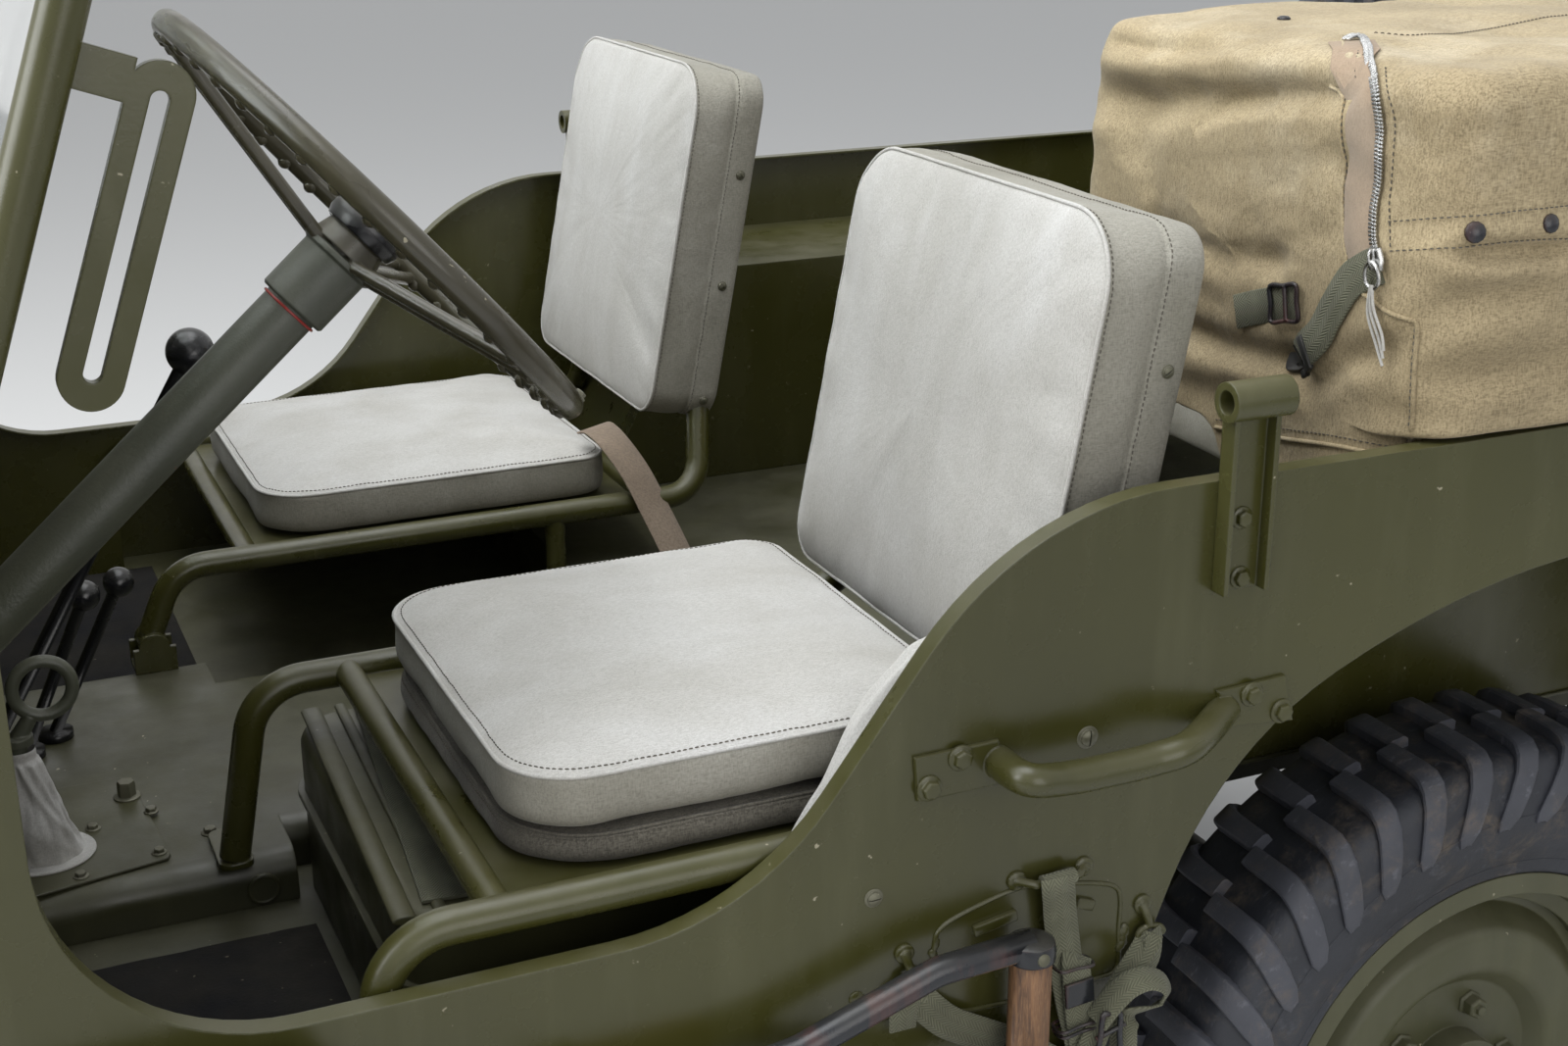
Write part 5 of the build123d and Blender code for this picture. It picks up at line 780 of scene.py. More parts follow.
# finishes of the CAD nodes
nodeFinishes = (
    (olivePaint, "side_panels rear_panel left_toolbox_lid right_toolbox_lid cowl hood grille front_fenders "
        "front_bumper windscreen_frame glass_frame screen_arms driver_seat_frame passenger_seat_frame "
        "seat_brackets grab_handles bow_brackets rear_seat_frame wheelhouses"),
    (floorPaint, "floor_pan tunnel_cover fuel_tank pedals gearbox"),
    (chassisPaint, "chassis_frame front_axle rear_axle left_knuckle right_knuckle track_rod leaf_springs drive_shafts "
        "rear_hitch engine_block radiator exhaust"),
    (wheelPaint, "wheel_front_left wheel_front_right wheel_rear_left wheel_rear_right spare_wheel"),
    (columnPaint, "steering_column"),
    (rimPlastic, "steering_wheel"),
    (toolEnamel, "shovel"),
    (webbing, "tool_straps"),
    (blackKnob, "levers"),
    (bootRubber, "lever_boot"),
    (lampChrome, "headlights"),
    (lampRed, "tail_lamps"),
    (paneGlass, "windscreen_glass"),
    (tyreRubber, "tyre_front_left tyre_front_right tyre_rear_left tyre_rear_right spare_tyre"),
    (seatCanvas, "driver_cushions passenger_cushions rear_seat_cushions"),
    (tanCanvas, "canvas_cover"),
)
for finish, names in nodeFinishes:
    for name in names.split():
        nodes[name].data.materials.clear()
        nodes[name].data.materials.append(finish)

setCamera(cameraLook)
setLights(lightLook)
half = lightLook["floorSize"] / 2
floorMesh = rawMesh("floor", [(-half, -half, 0), (half, -half, 0), (half, half, 0), (-half, half, 0)], [(0, 1, 2, 3)])
floorMesh.materials.append(paleFloor)
placed("floor", floorMesh)
scene.view_settings.view_transform = "Standard"
print("stage 4: nodes finished, camera and lamps set")

# stuffed pieces: a stack of rounded outlines, puffed up by a short cloth run
clothRun = {"pressure": 4.0, "frames": 20, "quality": 6, "massKg": 0.25}


def evenly(dense, count):  # evenly spaced points on a closed line of (x, y)
    dense = dense + [dense[0]]
    lengths = [0.0]
    for a, b in zip(dense, dense[1:]):
        lengths.append(lengths[-1] + math.dist(a, b))
    out, k = [], 0
    for i in range(count):
        goal = lengths[-1] * i / count
        while lengths[k + 1] < goal:
            k += 1
        share = (goal - lengths[k]) / max(lengths[k + 1] - lengths[k], 1e-9)
        out.append(tuple(a + (b - a) * share for a, b in zip(dense[k], dense[k + 1])))
    return out


def roundedOutline(halfWide, halfTall, radii, count, taper=0.0):
    dense = []
    for (sx, sy, start), radius in zip(((1, 1, 0), (-1, 1, 90), (-1, -1, 180), (1, -1, 270)), radii):
        for i in range(19):
            angle = math.radians(start + 90 * i / 18)
            dense.append((sx * (halfWide - radius) + radius * math.cos(angle),
                sy * (halfTall - radius) + radius * math.sin(angle)))
    return [(x * (1 - taper * (y / halfTall + 1) / 2), y) for x, y in evenly(dense, count)]


def ringStack(place, outlines, halfWide, halfTall, rings):
    # rings: (inset, height); place turns (side, up, height) into the frame; first and last rings are capped
    count = len(outlines[0])
    verts = [place(x * (1 - inset / halfWide), y * (1 - inset / halfTall), height)
        for (inset, height), outline in zip(rings, outlines) for x, y in outline]
    low = len(verts)
    verts += [place(0, 0, rings[0][1]), place(0, 0, rings[-1][1])]
    return verts, ringFaces(len(rings), count, low, low + 1)


def puff(mesh, held, pressure, cap, seed):
    # held: weights from 0, free, to 1, fixed. The cloth runs 20 frames and is then written to the mesh.
    start = np.array([v.co for v in mesh.vertices], float)
    piece = placed("clothRun", mesh)
    group = piece.vertex_groups.new(name="held")
    for i, weight in enumerate(held):
        group.add([i], weight, "REPLACE")
    rng = random.Random(seed)
    for v in mesh.vertices:
        if held[v.index] < 1:
            v.co += Vector((rng.uniform(-1, 1), rng.uniform(-1, 1), rng.uniform(-1, 1))) * 0.0004
    modifier = piece.modifiers.new("Cloth", "CLOTH")
    settings = modifier.settings
    settings.quality, settings.mass = clothRun["quality"], clothRun["massKg"]
    settings.use_pressure, settings.uniform_pressure_force = True, pressure
    settings.vertex_group_mass = "held"
    settings.effector_weights.gravity = 0
    settings.tension_stiffness = settings.compression_stiffness = 12
    settings.shear_stiffness, settings.bending_stiffness = 6, 0.4
    modifier.point_cache.frame_start, modifier.point_cache.frame_end = 1, clothRun["frames"]
    for number in range(1, clothRun["frames"] + 1):
        scene.frame_set(number)
    done = piece.evaluated_get(bpy.context.evaluated_depsgraph_get()).data
    shift = np.array([v.co for v in done.vertices], float) - start
    length = np.linalg.norm(shift, axis=1, keepdims=True)
    shift *= np.minimum(1.0, cap / np.maximum(length, 1e-9))
    for v, place in zip(mesh.vertices, start + shift):
        v.co = place
    bpy.data.objects.remove(piece)
    scene.frame_set(1)


def rippled(mesh, indices, amount, size, seed):
    # small soft waves along the normals, from a fixed field
    normals = [v.normal.copy() for v in mesh.vertices]
    offset = Vector((seed * 7.13, seed * 3.71, seed * 1.97))
    for i in indices:
        v = mesh.vertices[i]
        v.co += normals[i] * amount * fieldNoise.fractal(v.co / size + offset, 0.9, 2.0, 3)


def evenOut(mesh, chosen, times):  # relaxes the crowded middle of a cushion's top
    near = {i: [] for i in chosen}
    for edge in mesh.edges:
        a, b = edge.vertices
        if a in near:
            near[a].append(b)
        if b in near:
            near[b].append(a)
    for _ in range(times):
        fresh = {i: sum((mesh.vertices[k].co for k in near[i]), Vector()) / len(near[i]) for i in chosen}
        for i, place in fresh.items():
            mesh.vertices[i].co = mesh.vertices[i].co.lerp(place, 0.6)


def divided(mesh, name):  # one level of subdivision, written to the mesh and shaded smooth
    holder = placed(name + "Holder", mesh)
    modifier = holder.modifiers.new("smooth", "SUBSURF")
    modifier.levels = modifier.render_levels = 1
    out = appliedMesh(holder, name)
    out.shade_smooth()
    return out


def stuffed(name, spec, place, body, materials):
    # spec: half sizes, corner radii, rings of (inset, height, held weight, material index), ripple
    rings, count, wide, tall = spec["rings"], spec["around"], spec["halfWide"], spec["halfTall"]
    outlines = []
    for ring in rings:
        share = ring[4] if len(ring) > 4 else 0.0
        radii = [a + (b - a) * share for a, b in zip(spec["radii"], spec.get("rearRadii", spec["radii"]))]
        outlines.append(roundedOutline(wide, tall, radii, count, spec.get("taper", 0.0)))
    mesh = rawMesh(name + "Start", *ringStack(place, outlines, wide, tall, [r[:2] for r in rings]))
    outward(mesh)
    total = len(rings) * count
    held = [rings[i // count][2] for i in range(total)] + [rings[0][2], rings[-1][2]]
    rippled(mesh, [i for i, weight in enumerate(held) if weight < 1], spec["ripple"], spec["rippleSize"], spec["seed"])
    puff(mesh, held, spec["pressure"], spec["cap"], spec["seed"])
    mesh.update()
    if "shape" in spec:
        spec["shape"](mesh)
    evenOut(mesh, {*range(total - 3 * count, total), total + 1}, 12)
    for polygon in mesh.polygons:
        ring = min(polygon.vertices) // count
        if max(polygon.vertices) >= total:
            ring = 0 if total in polygon.vertices else len(rings) - 1
        polygon.material_index = rings[ring][3]
    seams = {key: [v.co.copy() for v in mesh.vertices[ring * count:(ring + 1) * count]]
        for key, ring in spec["seams"].items()}
    piece = newPiece(name, divided(mesh, name), materials, body)
    return piece, seams


def onSkin(tree, points, lift):  # points brought to a skin, with the way out of it
    hits = [tree.find_nearest(point)[:2] for point in points]
    return [(place + normal * lift, normal) for place, normal in hits]


def pipe(name, lines, radius, material, body, closed=True):
    bm = bmesh.new()
    for line in lines:
        addTube(bm, [p for p, _ in line], radius, 6, closed)
    makePiece(name, bm, material, body, 80)


def trim(name, piece, piping, stitches, body, radius=0.0018, lift=0.0005, finish=None, pitch=0.0046):
    skin = treeOf(piece)
    pipe(name + "Piping", [onSkin(skin, piping, lift)], radius, finish or seatCanvas, body)
    sew(name + "Stitches", [(onSkin(skin, line, 0.0002), True) for line in stitches], threadDark, body,
        pitch)
    return skin


def leaned(angle):  # up along a leaning back, and forwards out of it
    return Vector((math.sin(angle), 0, math.cos(angle))), Vector((-math.cos(angle), 0, math.sin(angle)))


# seat cushions and backs
backLook = {"lean": math.radians(10.9), "top": 1187.0, "foot": 1592.0, "half": 0.2085, "front": 0.0665}
seatSpecs = {
    # side, front and rear of the cushion, pan height, seam heights, crown, shift of the back, its lower end, seeds
    "driver": {"y": -470.0, "front": 1143.0, "rear": 1504.0, "pan": 0.7676, "lower": 0.798, "seam": 0.842,
        "crown": 0.860, "wide": 0.2, "shift": 0.0, "body": "car", "low": 812.0, "seeds": (3, 12)},
    "passenger": {"y": 470.0, "front": 1143.0, "rear": 1541.0, "pan": 0.7116, "lower": 0.714, "seam": 0.762,
        "crown": 0.775, "wide": 0.2, "shift": 46.0, "body": "passenger_seat", "low": 792.0, "seeds": (5, 17)},
}


def makeSeatPad(name, look, wide, deep, level):  # the seat's own thin pad under the loose cushion
    pan, lower = look["pan"], look["lower"]
    spec = {
        "halfWide": wide + 0.001, "halfTall": deep + 0.001, "radii": (0.075, 0.075, 0.03, 0.03), "around": 150,
        "rings": [(wide * 0.9, pan + 0.0005, 1, 0), (wide * 0.4, pan + 0.0005, 1, 0), (0.016, pan + 0.0005, 1, 0),
            (0.004, pan + 0.003, 0.7, 0), (0.0, pan + 0.009, 0, 0), (0.0005, pan + 0.016, 0, 0),
            (0.002, lower - 0.0075, 0.8, 0), (0.0045, lower - 0.005, 1.0, 0), (0.012, lower - 0.0022, 0.4, 0),
            (0.03, lower - 0.0008, 0.9, 0), (wide * 0.4, lower - 0.0006, 1, 0),
            (wide * 0.9, lower - 0.0006, 1, 0)],
        "ripple": 0.0016, "rippleSize": 0.06, "seed": 8, "pressure": 3.0, "cap": 0.005,
        "seams": {"top": 7, "stitch": 6}, "fill": 0.6,
    }
    pad, seams = stuffed(name + "SeatPad", spec, level, look["body"], [seatLowShadedCanvas])
    trim(name + "SeatPad", pad, seams["top"], [seams["stitch"]], look["body"], 0.0016, finish=seatLowShadedCanvas)


def makeSeat(name, look):
    middle, body, wide = (look["front"] + look["rear"]) / 2, look["body"], look["wide"]
    deep = (look["rear"] - look["front"]) / 2000

    def level(x, y, z):  # x across the car towards the left, y forwards
        return row(middle - y * 1000, look["y"] - x * 1000, z * 1000)

    top, seam, lower = look["crown"], look["seam"], look["lower"]
    spec = {
        "halfWide": wide, "halfTall": deep, "radii": (0.058, 0.058, 0.032, 0.032), "around": 160,
        "rings": [(wide * 0.9, lower + 0.001, 1, 1), (wide * 0.5, lower + 0.001, 1, 1),
            (0.03, lower + 0.001, 1, 1), (0.012, lower + 0.0015, 1, 1),
            (0.004, lower + 0.004, 0.8, 1), (0.0, lower + 0.010, 0.0, 1), (0.0, (lower + seam) / 2, 0, 1),
            (0.0005, seam - 0.008, 0.0, 1), (0.0, seam - 0.0025, 0.9, 1), (0.0008, seam, 1.0, 0),
            (0.006, seam + 0.0035, 0.6, 0), (0.014, seam + 0.008, 0.1, 0)]
        + [(0.014 + wide * 0.80 * k / 9, top - (top - seam - 0.008) * (1 - k / 9) ** 2.2, 0, 0)
            for k in range(1, 10)],
        "ripple": 0.0022, "rippleSize": 0.085, "seed": look["seeds"][0],
        "pressure": clothRun["pressure"], "cap": 0.007, "seams": {"top": 9, "stitch": 10}, "fill": 0.75,
    }
    # the sides take the darker side canvas, which holds painted shade
    cushion, seams = stuffed(name + "Cushion", spec, level, body, [seatCanvas, seatSideShadedCanvas])
    trim(name + "Cushion", cushion, seams["top"], [seams["stitch"]], body, 0.0019, 0.0006)
    if lower - look["pan"] > 0.01:
        makeSeatPad(name, look, wide, deep, level)

    # the back: a front pad and two bands that take in the tubes
    half, front, low, lean = backLook["half"], backLook["front"], look["low"], backLook["lean"]
    upward, forward = leaned(lean)
    foot = row(backLook["foot"] + look["shift"] + (low - look["pan"] * 1000) * math.tan(lean), look["y"], low)
    tall = (backLook["top"] - low) / 1000 / math.cos(lean)

    def leaning(x, y, d):
        return foot - yAxis * x + upward * (y + tall / 2) + forward * d

    def puckers(mesh):  # gathers that hang from the top seam, and pulls by the lower one
        normals = [v.normal.copy() for v in mesh.vertices]
        for v in mesh.vertices:
            local = v.co - foot
            height, across, depth = local.dot(upward), -local.y, local.dot(forward)
            if depth < front - 0.002:
                continue
            fromTop = tall - height
            fade = max(0.0, 1 - abs(fromTop - 0.035) / 0.085) ** 1.3 * min(1.0, fromTop / 0.02)
            wave = math.sin(across * 235 + 1.3 * math.sin(across * 61)) + 0.5 * math.sin(across * 410 + 0.7)
            side = max(0.0, 1 - abs(half - abs(across) - 0.02) / 0.03)
            v.co += normals[v.index] * (0.00115 * wave * fade * max(0.0, 1 - (abs(across) / 0.2) ** 6)
                + 0.0008 * side * math.sin(height * 120 + across * 40))

    spec = {
        "halfWide": half, "halfTall": tall / 2, "radii": (0.060, 0.060, 0.034, 0.034), "rearRadii": (0.034,) * 4,
        "around": 180, "taper": 0.01,
        "rings": [(half * 0.9, -0.0165, 1, 1, 1), (half * 0.45, -0.0165, 1, 1, 1), (0.03, -0.0165, 1, 1, 1),
            (0.006, -0.0165, 1, 1, 1), (0.0005, -0.0145, 1, 1, 1), (0.0, -0.006, 0.8, 1, 1),
            (0.0, 0.008, 0.8, 1, 1), (0.0, 0.0165, 0.9, 1, 0.9), (0.0022, 0.0190, 1.0, 1, 0.8),
            (0.0008, 0.0215, 0.6, 1, 0.8),
            (0.0, 0.031, 0.2, 1, 0.5), (0.0, 0.044, 0.2, 1, 0.25), (0.0008, 0.056, 0.5, 1, 0.05),
            (0.0006, front - 0.0035, 0.95, 1), (0.0012, front, 1, 0), (0.006, front + 0.0032, 0.5, 0),
            (0.015, front + 0.0075, 0.1, 0)]
        + [(0.015 + half * 0.8 * k / 10, front + 0.0075 + 0.0065 * (1 - (1 - k / 10) ** 2), 0, 0)
            for k in range(1, 11)],
        "ripple": 0.0020, "rippleSize": 0.1, "seed": look["seeds"][1], "pressure": clothRun["pressure"], "cap": 0.008,
        "shape": puckers, "seams": {"front": 14, "frontStitch": 13, "grooveStitch": 7}, "fill": 0.7,
    }
    back, seams = stuffed(name + "Back", spec, leaning, body, [seatCanvas, seatSideShadedCanvas])
    skin = trim(name + "Back", back, seams["front"], [seams["frontStitch"], seams["grooveStitch"]], body)
    for hand in (-1, 1):  # screws that hold the cover to the frame
        for share in (0.06, 0.40, 0.72):
            goal = leaning(hand * half * (1 - 0.035 * share), (share - 0.5) * tall, 0.001)
            place, normal, _, _ = skin.find_nearest(goal)
            fasten("screw", body, place, normal, 0.72)
    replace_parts(cushion, name + "_cushions")


for seatName, oneSeat in seatSpecs.items():
    makeSeat(seatName, oneSeat)
print("stage 5: seats made")

# rear bench cushions
benchLook = {"halfWide": 0.425, "halfDeep": 0.148, "middle": 2236.0, "low": 0.801, "seam": 0.862, "crown": 0.877,
    "backHalfWide": 0.458, "backHalfTall": 0.094, "backThick": 0.045, "foot": 2420.0,
    "lean": math.atan2(56, 286)}


def makeBench(look):
    def level(x, y, z):
        return row(look["middle"] - y * 1000, -x * 1000, z * 1000)

    low, seam, crown, deep = look["low"], look["seam"], look["crown"], look["halfDeep"]
    spec = {
        "halfWide": look["halfWide"], "halfTall": deep, "radii": (0.04,) * 4, "around": 200,
        "rings": [(deep * 0.85, low, 1, 1), (deep * 0.4, low, 1, 1), (0.008, low + 0.001, 1, 1),
            (0.001, low + 0.006, 0.5, 1), (0, low + 0.02, 0.1, 1), (0, (low + seam) / 2, 0.1, 1),
            (0, seam - 0.004, 0.9, 1), (0.001, seam, 1, 0), (0.006, seam + 0.004, 0.4, 0),
            (0.016, seam + 0.009, 0, 0)]
        + [(0.016 + deep * 0.72 * k / 6, seam + 0.009 + (crown - seam - 0.009) * (1 - (1 - k / 6) ** 2), 0, 0)
            for k in range(1, 7)],
        "ripple": 0.002, "rippleSize": 0.09, "seed": 21, "pressure": 3.0, "cap": 0.006,
        "seams": {"top": 7, "stitch": 8}, "fill": 0.7,
    }
    seat, seams = stuffed("benchCushion", spec, level, "car", [seatCanvas, seatSideShadedCanvas])
    trim("benchCushion", seat, seams["top"], [seams["stitch"]], "car", pitch=0.006)
    upward, forward = leaned(look["lean"])
    foot = row(look["foot"], 0, 800) + upward * 0.19 + forward * 0.0125

    def leaning(x, y, d):
        return foot - yAxis * x + upward * y + forward * d

    tall, thick = look["backHalfTall"], look["backThick"]
    rings = [(tall * 0.8, 0.0005, 1, 1), (0.01, 0.0008, 1, 1), (0.001, 0.006, 0.6, 1), (0, thick * 0.4, 0.1, 1),
        (0, thick - 0.012, 0.8, 1), (0.001, thick - 0.008, 1, 0), (0.006, thick - 0.004, 0.4, 0)]
    rings += [(0.008 + tall * 0.72 * k / 5, thick - 0.003 + 0.003 * k / 5, 0, 0) for k in range(1, 6)]
    spec = dict(spec, halfWide=look["backHalfWide"], halfTall=tall, radii=(0.034,) * 4, rings=rings, seed=23,
        seams={"top": 5, "stitch": 4})
    back, seams = stuffed("benchBack", spec, leaning, "car", [seatCanvas, seatSideShadedCanvas])
    trim("benchBack", back, seams["top"], [seams["stitch"]], "car", pitch=0.006)
    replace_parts(seat, "rear_seat_cushions")


makeBench(benchLook)
print("stage 6: bench made")

# the folded top in its zipped cover
coverLook = {
    "front": 1834.0, "rear": 2374.0, "side": -741.0, "around": 230, "centre": (-485.0, 1128.0), "floor": 992.0,
    # y, z and corner radius of the section, in mm
    "section": ((-741, 1015, 8), (-741, 1298, 38), (-234, 1300, 50), (-229, 975, 44), (-478, 969.5, 20),
        (-522, 919.6, 12), (-709, 919.6, 10), (-709, 1015, 4)),
    "frontRound": 58.0, "rearRound": 70.0, "capRings": 22, "bodySteps": 26,
    "big": 0.0105, "bigSize": 0.17, "small": 0.0032, "smallSize": 0.05,
    # creases: photo points, plane, depth and width in metres
    "creases": (
        (((1085, 28), (1160, 44), (1260, 40), (1352, 36)), "front", 0.011, 0.011),
        (((1098, 96), (1180, 106), (1290, 98), (1374, 92)), "front", 0.010, 0.014),
        (((1222, 128), (1250, 108), (1290, 99)), "front", 0.005, 0.007),
        (((1180, 230), (1240, 262), (1300, 268)), "front", 0.006, 0.012),
        (((1195, 330), (1240, 352), (1290, 366), (1322, 372)), "front", 0.012, 0.012),
        (((1190, 385), (1230, 408), (1290, 398)), "front", 0.006, 0.010),
        (((1330, 400), (1370, 372), (1420, 352)), "front", 0.006, 0.009),
        (((1425, 268), (1480, 262), (1540, 258), (1600, 256)), "side", 0.013, 0.007),
        (((1392, 298), (1415, 318), (1436, 326)), "side", 0.008, 0.006),
        (((1450, 335), (1490, 312), (1560, 300)), "side", 0.006, 0.012),
        (((1450, 400), (1520, 385), (1590, 372)), "side", 0.006, 0.013),
        (((1444, 30), (1500, 42), (1600, 20)), "side", 0.006, 0.008),
    ),
}


def roundedPolygon(corners, count):
    dense = []
    for i, (y, z, radius) in enumerate(corners):
        here = Vector((y, z))
        before = Vector(corners[i - 1][:2]) - here
        after = Vector(corners[(i + 1) % len(corners)][:2]) - here
        cut = min(radius, before.length * 0.48, after.length * 0.48)
        a, b = here + before.normalized() * cut, here + after.normalized() * cut
        for k in range(9):
            t = k / 8
            dense.append(tuple(a * (1 - t) ** 2 + here * 2 * t * (1 - t) + b * t * t))
    return evenly(dense, count)


def toLine(point, line):  # distance of a point from a run of straight pieces
    best = 9.0
    for a, b in zip(line, line[1:]):
        d = b - a
        t = max(0.0, min(1.0, (point - a).dot(d) / max(d.length_squared, 1e-12)))
        best = min(best, (point - (a + d * t)).length)
    return best


def coverRings(look):  # (station, pull of the edges, share left towards the middle)
    front, rear, deepFront, deepRear = look["front"], look["rear"], look["frontRound"], look["rearRound"]
    caps, steps, first, last = look["capRings"], look["bodySteps"], front + deepFront, rear - deepRear
    rings = [(front, deepFront, 0.04 + 0.96 * (k + 0.5) / caps) for k in range(caps)]
    for turn in (math.pi / 2 * (k + 0.5) / 7 for k in range(7)):
        rings.append((front + deepFront * (1 - math.cos(turn)), deepFront * (1 - math.sin(turn)), 1.0))
    rings += [(first + (last - first) * k / steps, 0.0, 1.0) for k in range(steps + 1)]
    for turn in (math.pi / 2 * (k + 1) / 6 for k in range(6)):
        rings.append((last + deepRear * math.sin(turn), deepRear * (1 - math.cos(turn)), 1.0))
    return rings + [(rear, deepRear, 1 - (k + 1) / 9) for k in range(8)]


def makeCover(look):
    section, rings, count = roundedPolygon(look["section"], look["around"]), coverRings(look), look["around"]
    cy, cz = look["centre"]
    verts = []
    for station, pull, share in rings:
        for y, z in section:
            y = cy + (y - cy) * (1 - pull / 256)
            if z > look["floor"]:
                z = look["floor"] + (z - look["floor"]) * (1 - pull * 0.55 / 308)
            verts.append(row(station, cy + (y - cy) * share, cz + (z - cz) * share))
    low = len(verts)
    verts += [row(look["front"], cy, cz), row(look["rear"], cy, cz)]
    mesh = rawMesh("coverStart", verts, ringFaces(len(rings), count, low, low + 1))
    outward(mesh)
    lines = []
    frontX = row(look["front"], 0, 0).x
    for points, plane, depth, width in look["creases"]:
        axis, value = (0, look["front"]) if plane == "front" else (1, look["side"])
        places = [sightOnPlane(axis, value, px, py) for px, py in points]
        for place in places:  # a line on the front stays on it where it runs past the corner
            place.x, place.y = max(place.x, frontX), max(place.y, look["side"] / 1000)
        lines.append((places, depth, width))
    normals = [v.normal.copy() for v in mesh.vertices]
    for v in mesh.vertices:
        if v.co.z < 1.006 and v.co.x > row(1845, 0, 0).x:
            continue
        free = min(1.0, max(0.0, (v.co.z - 0.985) / 0.05))
        x, y, z = v.co
        big = fieldNoise.fractal(Vector((x * 1.1, y, z * 1.5)) / look["bigSize"] + Vector((3.1, 0.4, 8.2)), 1.0, 2.0, 2)
        ridge = 1 - abs(fieldNoise.noise(Vector((x, y * 0.8, z * 2.2)) / 0.11 + Vector((1.7, 5.2, 0.9)))) * 2
        small = fieldNoise.fractal(v.co / look["smallSize"] + Vector((9.1, 2.3, 1.1)), 1.0, 2.0, 3)
        push = min(big * look["big"] + ridge * 0.0035 + small * look["small"], 0.004) - 0.004
        for places, depth, width in lines:
            distance = toLine(v.co, places)
            if distance < width * 4:
                push -= depth * math.exp(-(distance / width) ** 2)
                push += depth * 0.35 * math.exp(-((distance - width * 1.9) / width) ** 2)
        v.co += normals[v.index] * push * (0.3 + 0.7 * free)
        x, y, z = v.co
        v.co = max(x, row(look["front"] - 1.5, 0, 0).x), max(y, -0.7445), min(z, 1.3065)
    mesh.update()
    cover = newPiece("topCover", divided(mesh, "topCover"), tanCanvas, "car")
    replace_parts(cover, "canvas_cover")
    return treeOf(cover)


coverSkin = makeCover(coverLook)


def onCover(px, py):
    return sightOnTree(coverSkin, px, py)


def overSkin(points, lift, steps=6):  # photo points laid on the cover, smoothly between them
    out = []
    for point in smoothPath([onCover(px, py)[0] for px, py in points], steps):
        place, normal, _, _ = coverSkin.find_nearest(point)
        if normal.dot(cameraPlace - place) < 0:
            normal = -normal
        out.append((place + normal * lift, normal))
    return out


def layStrap(bm, line, width, thickness, stretch=None):  # a flat strap on a line of (place, facing)
    points = [p for p, _ in line]
    sides = []
    for i, (_, normal) in enumerate(line):
        ahead = points[min(i + 1, len(points) - 1)] - points[max(i - 1, 0)]
        sides.append(ahead.cross(normal).normalized())
    section = [strapSection(width * s, thickness) for s in stretch] if stretch else strapSection(width, thickness)
    mappedSweep(bm, points, section, sides)


def mappedSweep(bm, points, section, sides=None, closed=False):  # a sweep with the weave's UV map
    uv = bm.loops.layers.uv.get("strapMap") or bm.loops.layers.uv.new("strapMap")
    sweepSection(bm, points, section, sides, closed, uv)


def strapPiece(name, line, width, thickness, material=webbing, stretch=None):
    bm = bmesh.new()
    layStrap(bm, line, width, thickness, stretch)
    makePiece(name, bm, material, "car", 50)


# zip, its slider, cords, strap, buckle, snaps and seams of the cover
coverParts = {
    "zip": ((1374, 44), (1387, 40), (1398, 62), (1406, 92), (1411, 130), (1410, 170), (1405, 212), (1404, 240),
        (1409, 262)),
    "tape": ((1379, 44), (1389, 90), (1393, 140), (1391, 190), (1388, 235), (1394, 268)),
    "tapeWidth": 0.036, "tapeThickness": 0.0016, "toothSize": (0.0062, 0.0021, 0.0022), "toothPitch": 0.0029,
    "strapWidth": 0.030, "strapThickness": 0.0026, "tabWidth": 0.029,
    "stitched": (
        ((1371, 40), (1373, 100), (1374, 160), (1373, 220), (1377, 272)),
        ((1383, 46), (1390, 92), (1391, 140), (1389, 190), (1386, 240)),
        ((1388, 46), (1396, 92), (1398, 140), (1396, 190), (1393, 245)),
        ((1414, 70), (1421, 110), (1422, 160), (1418, 210), (1419, 250)),
        ((1418, 226), (1470, 222), (1540, 216), (1598, 210)),
        ((1420, 256), (1470, 253), (1530, 247), (1598, 243)),
        ((1404, 34), (1450, 36), (1520, 30), (1598, 16)),
        ((1444, 330), (1440, 380), (1438, 430), (1436, 466)),
        ((1242, 428), (1300, 436), (1370, 446), (1428, 456), (1500, 452), (1598, 444)),
    ),
    "seams": (
        ((1369, 38), (1371, 100), (1372, 160), (1371, 220), (1376, 276)),
        ((1437, 326), (1446, 334), (1443, 380), (1441, 430), (1439, 470)),
        ((1241, 436), (1300, 446), (1370, 456), (1428, 466), (1500, 462), (1598, 454)),
        ((1392, 300), (1416, 318), (1437, 326)),
    ),
    "buckle": ((1302, 292), (1328, 291), (1330, 327), (1303, 328)),
    "snaps": ((1505, 237, 2.1), (1582, 228, 1.9), (1310, 20, 1.5)),
}


def makeZip(look):
    strapPiece("zipTape", overSkin(look["tape"], 0.0012), look["tapeWidth"], look["tapeThickness"], zipTape)
    bm = bmesh.new()
    wide, long, tall = look["toothSize"]
    for hand in (-1, 1):
        middle = Vector((hand * long * 0.2, hand * wide * 0.28, tall * 0.3))
        addBlock(bm, middle, (xAxis, yAxis, zAxis), (long, wide * 0.62, tall))
    tooth = headShape("zipTooth", bm)
    path = overSkin(look["zip"], 0.0026, 10)
    edges = [(i, i + 1) for i in range(len(path) - 1)]
    runTree("zipTeeth", facedLine("zipLine", [p for p, _ in path], edges, [n for _, n in path]), sewingTree,
        {"Pitch": look["toothPitch"], "Stitch": tooth, "Finish": lampChrome}, "car")


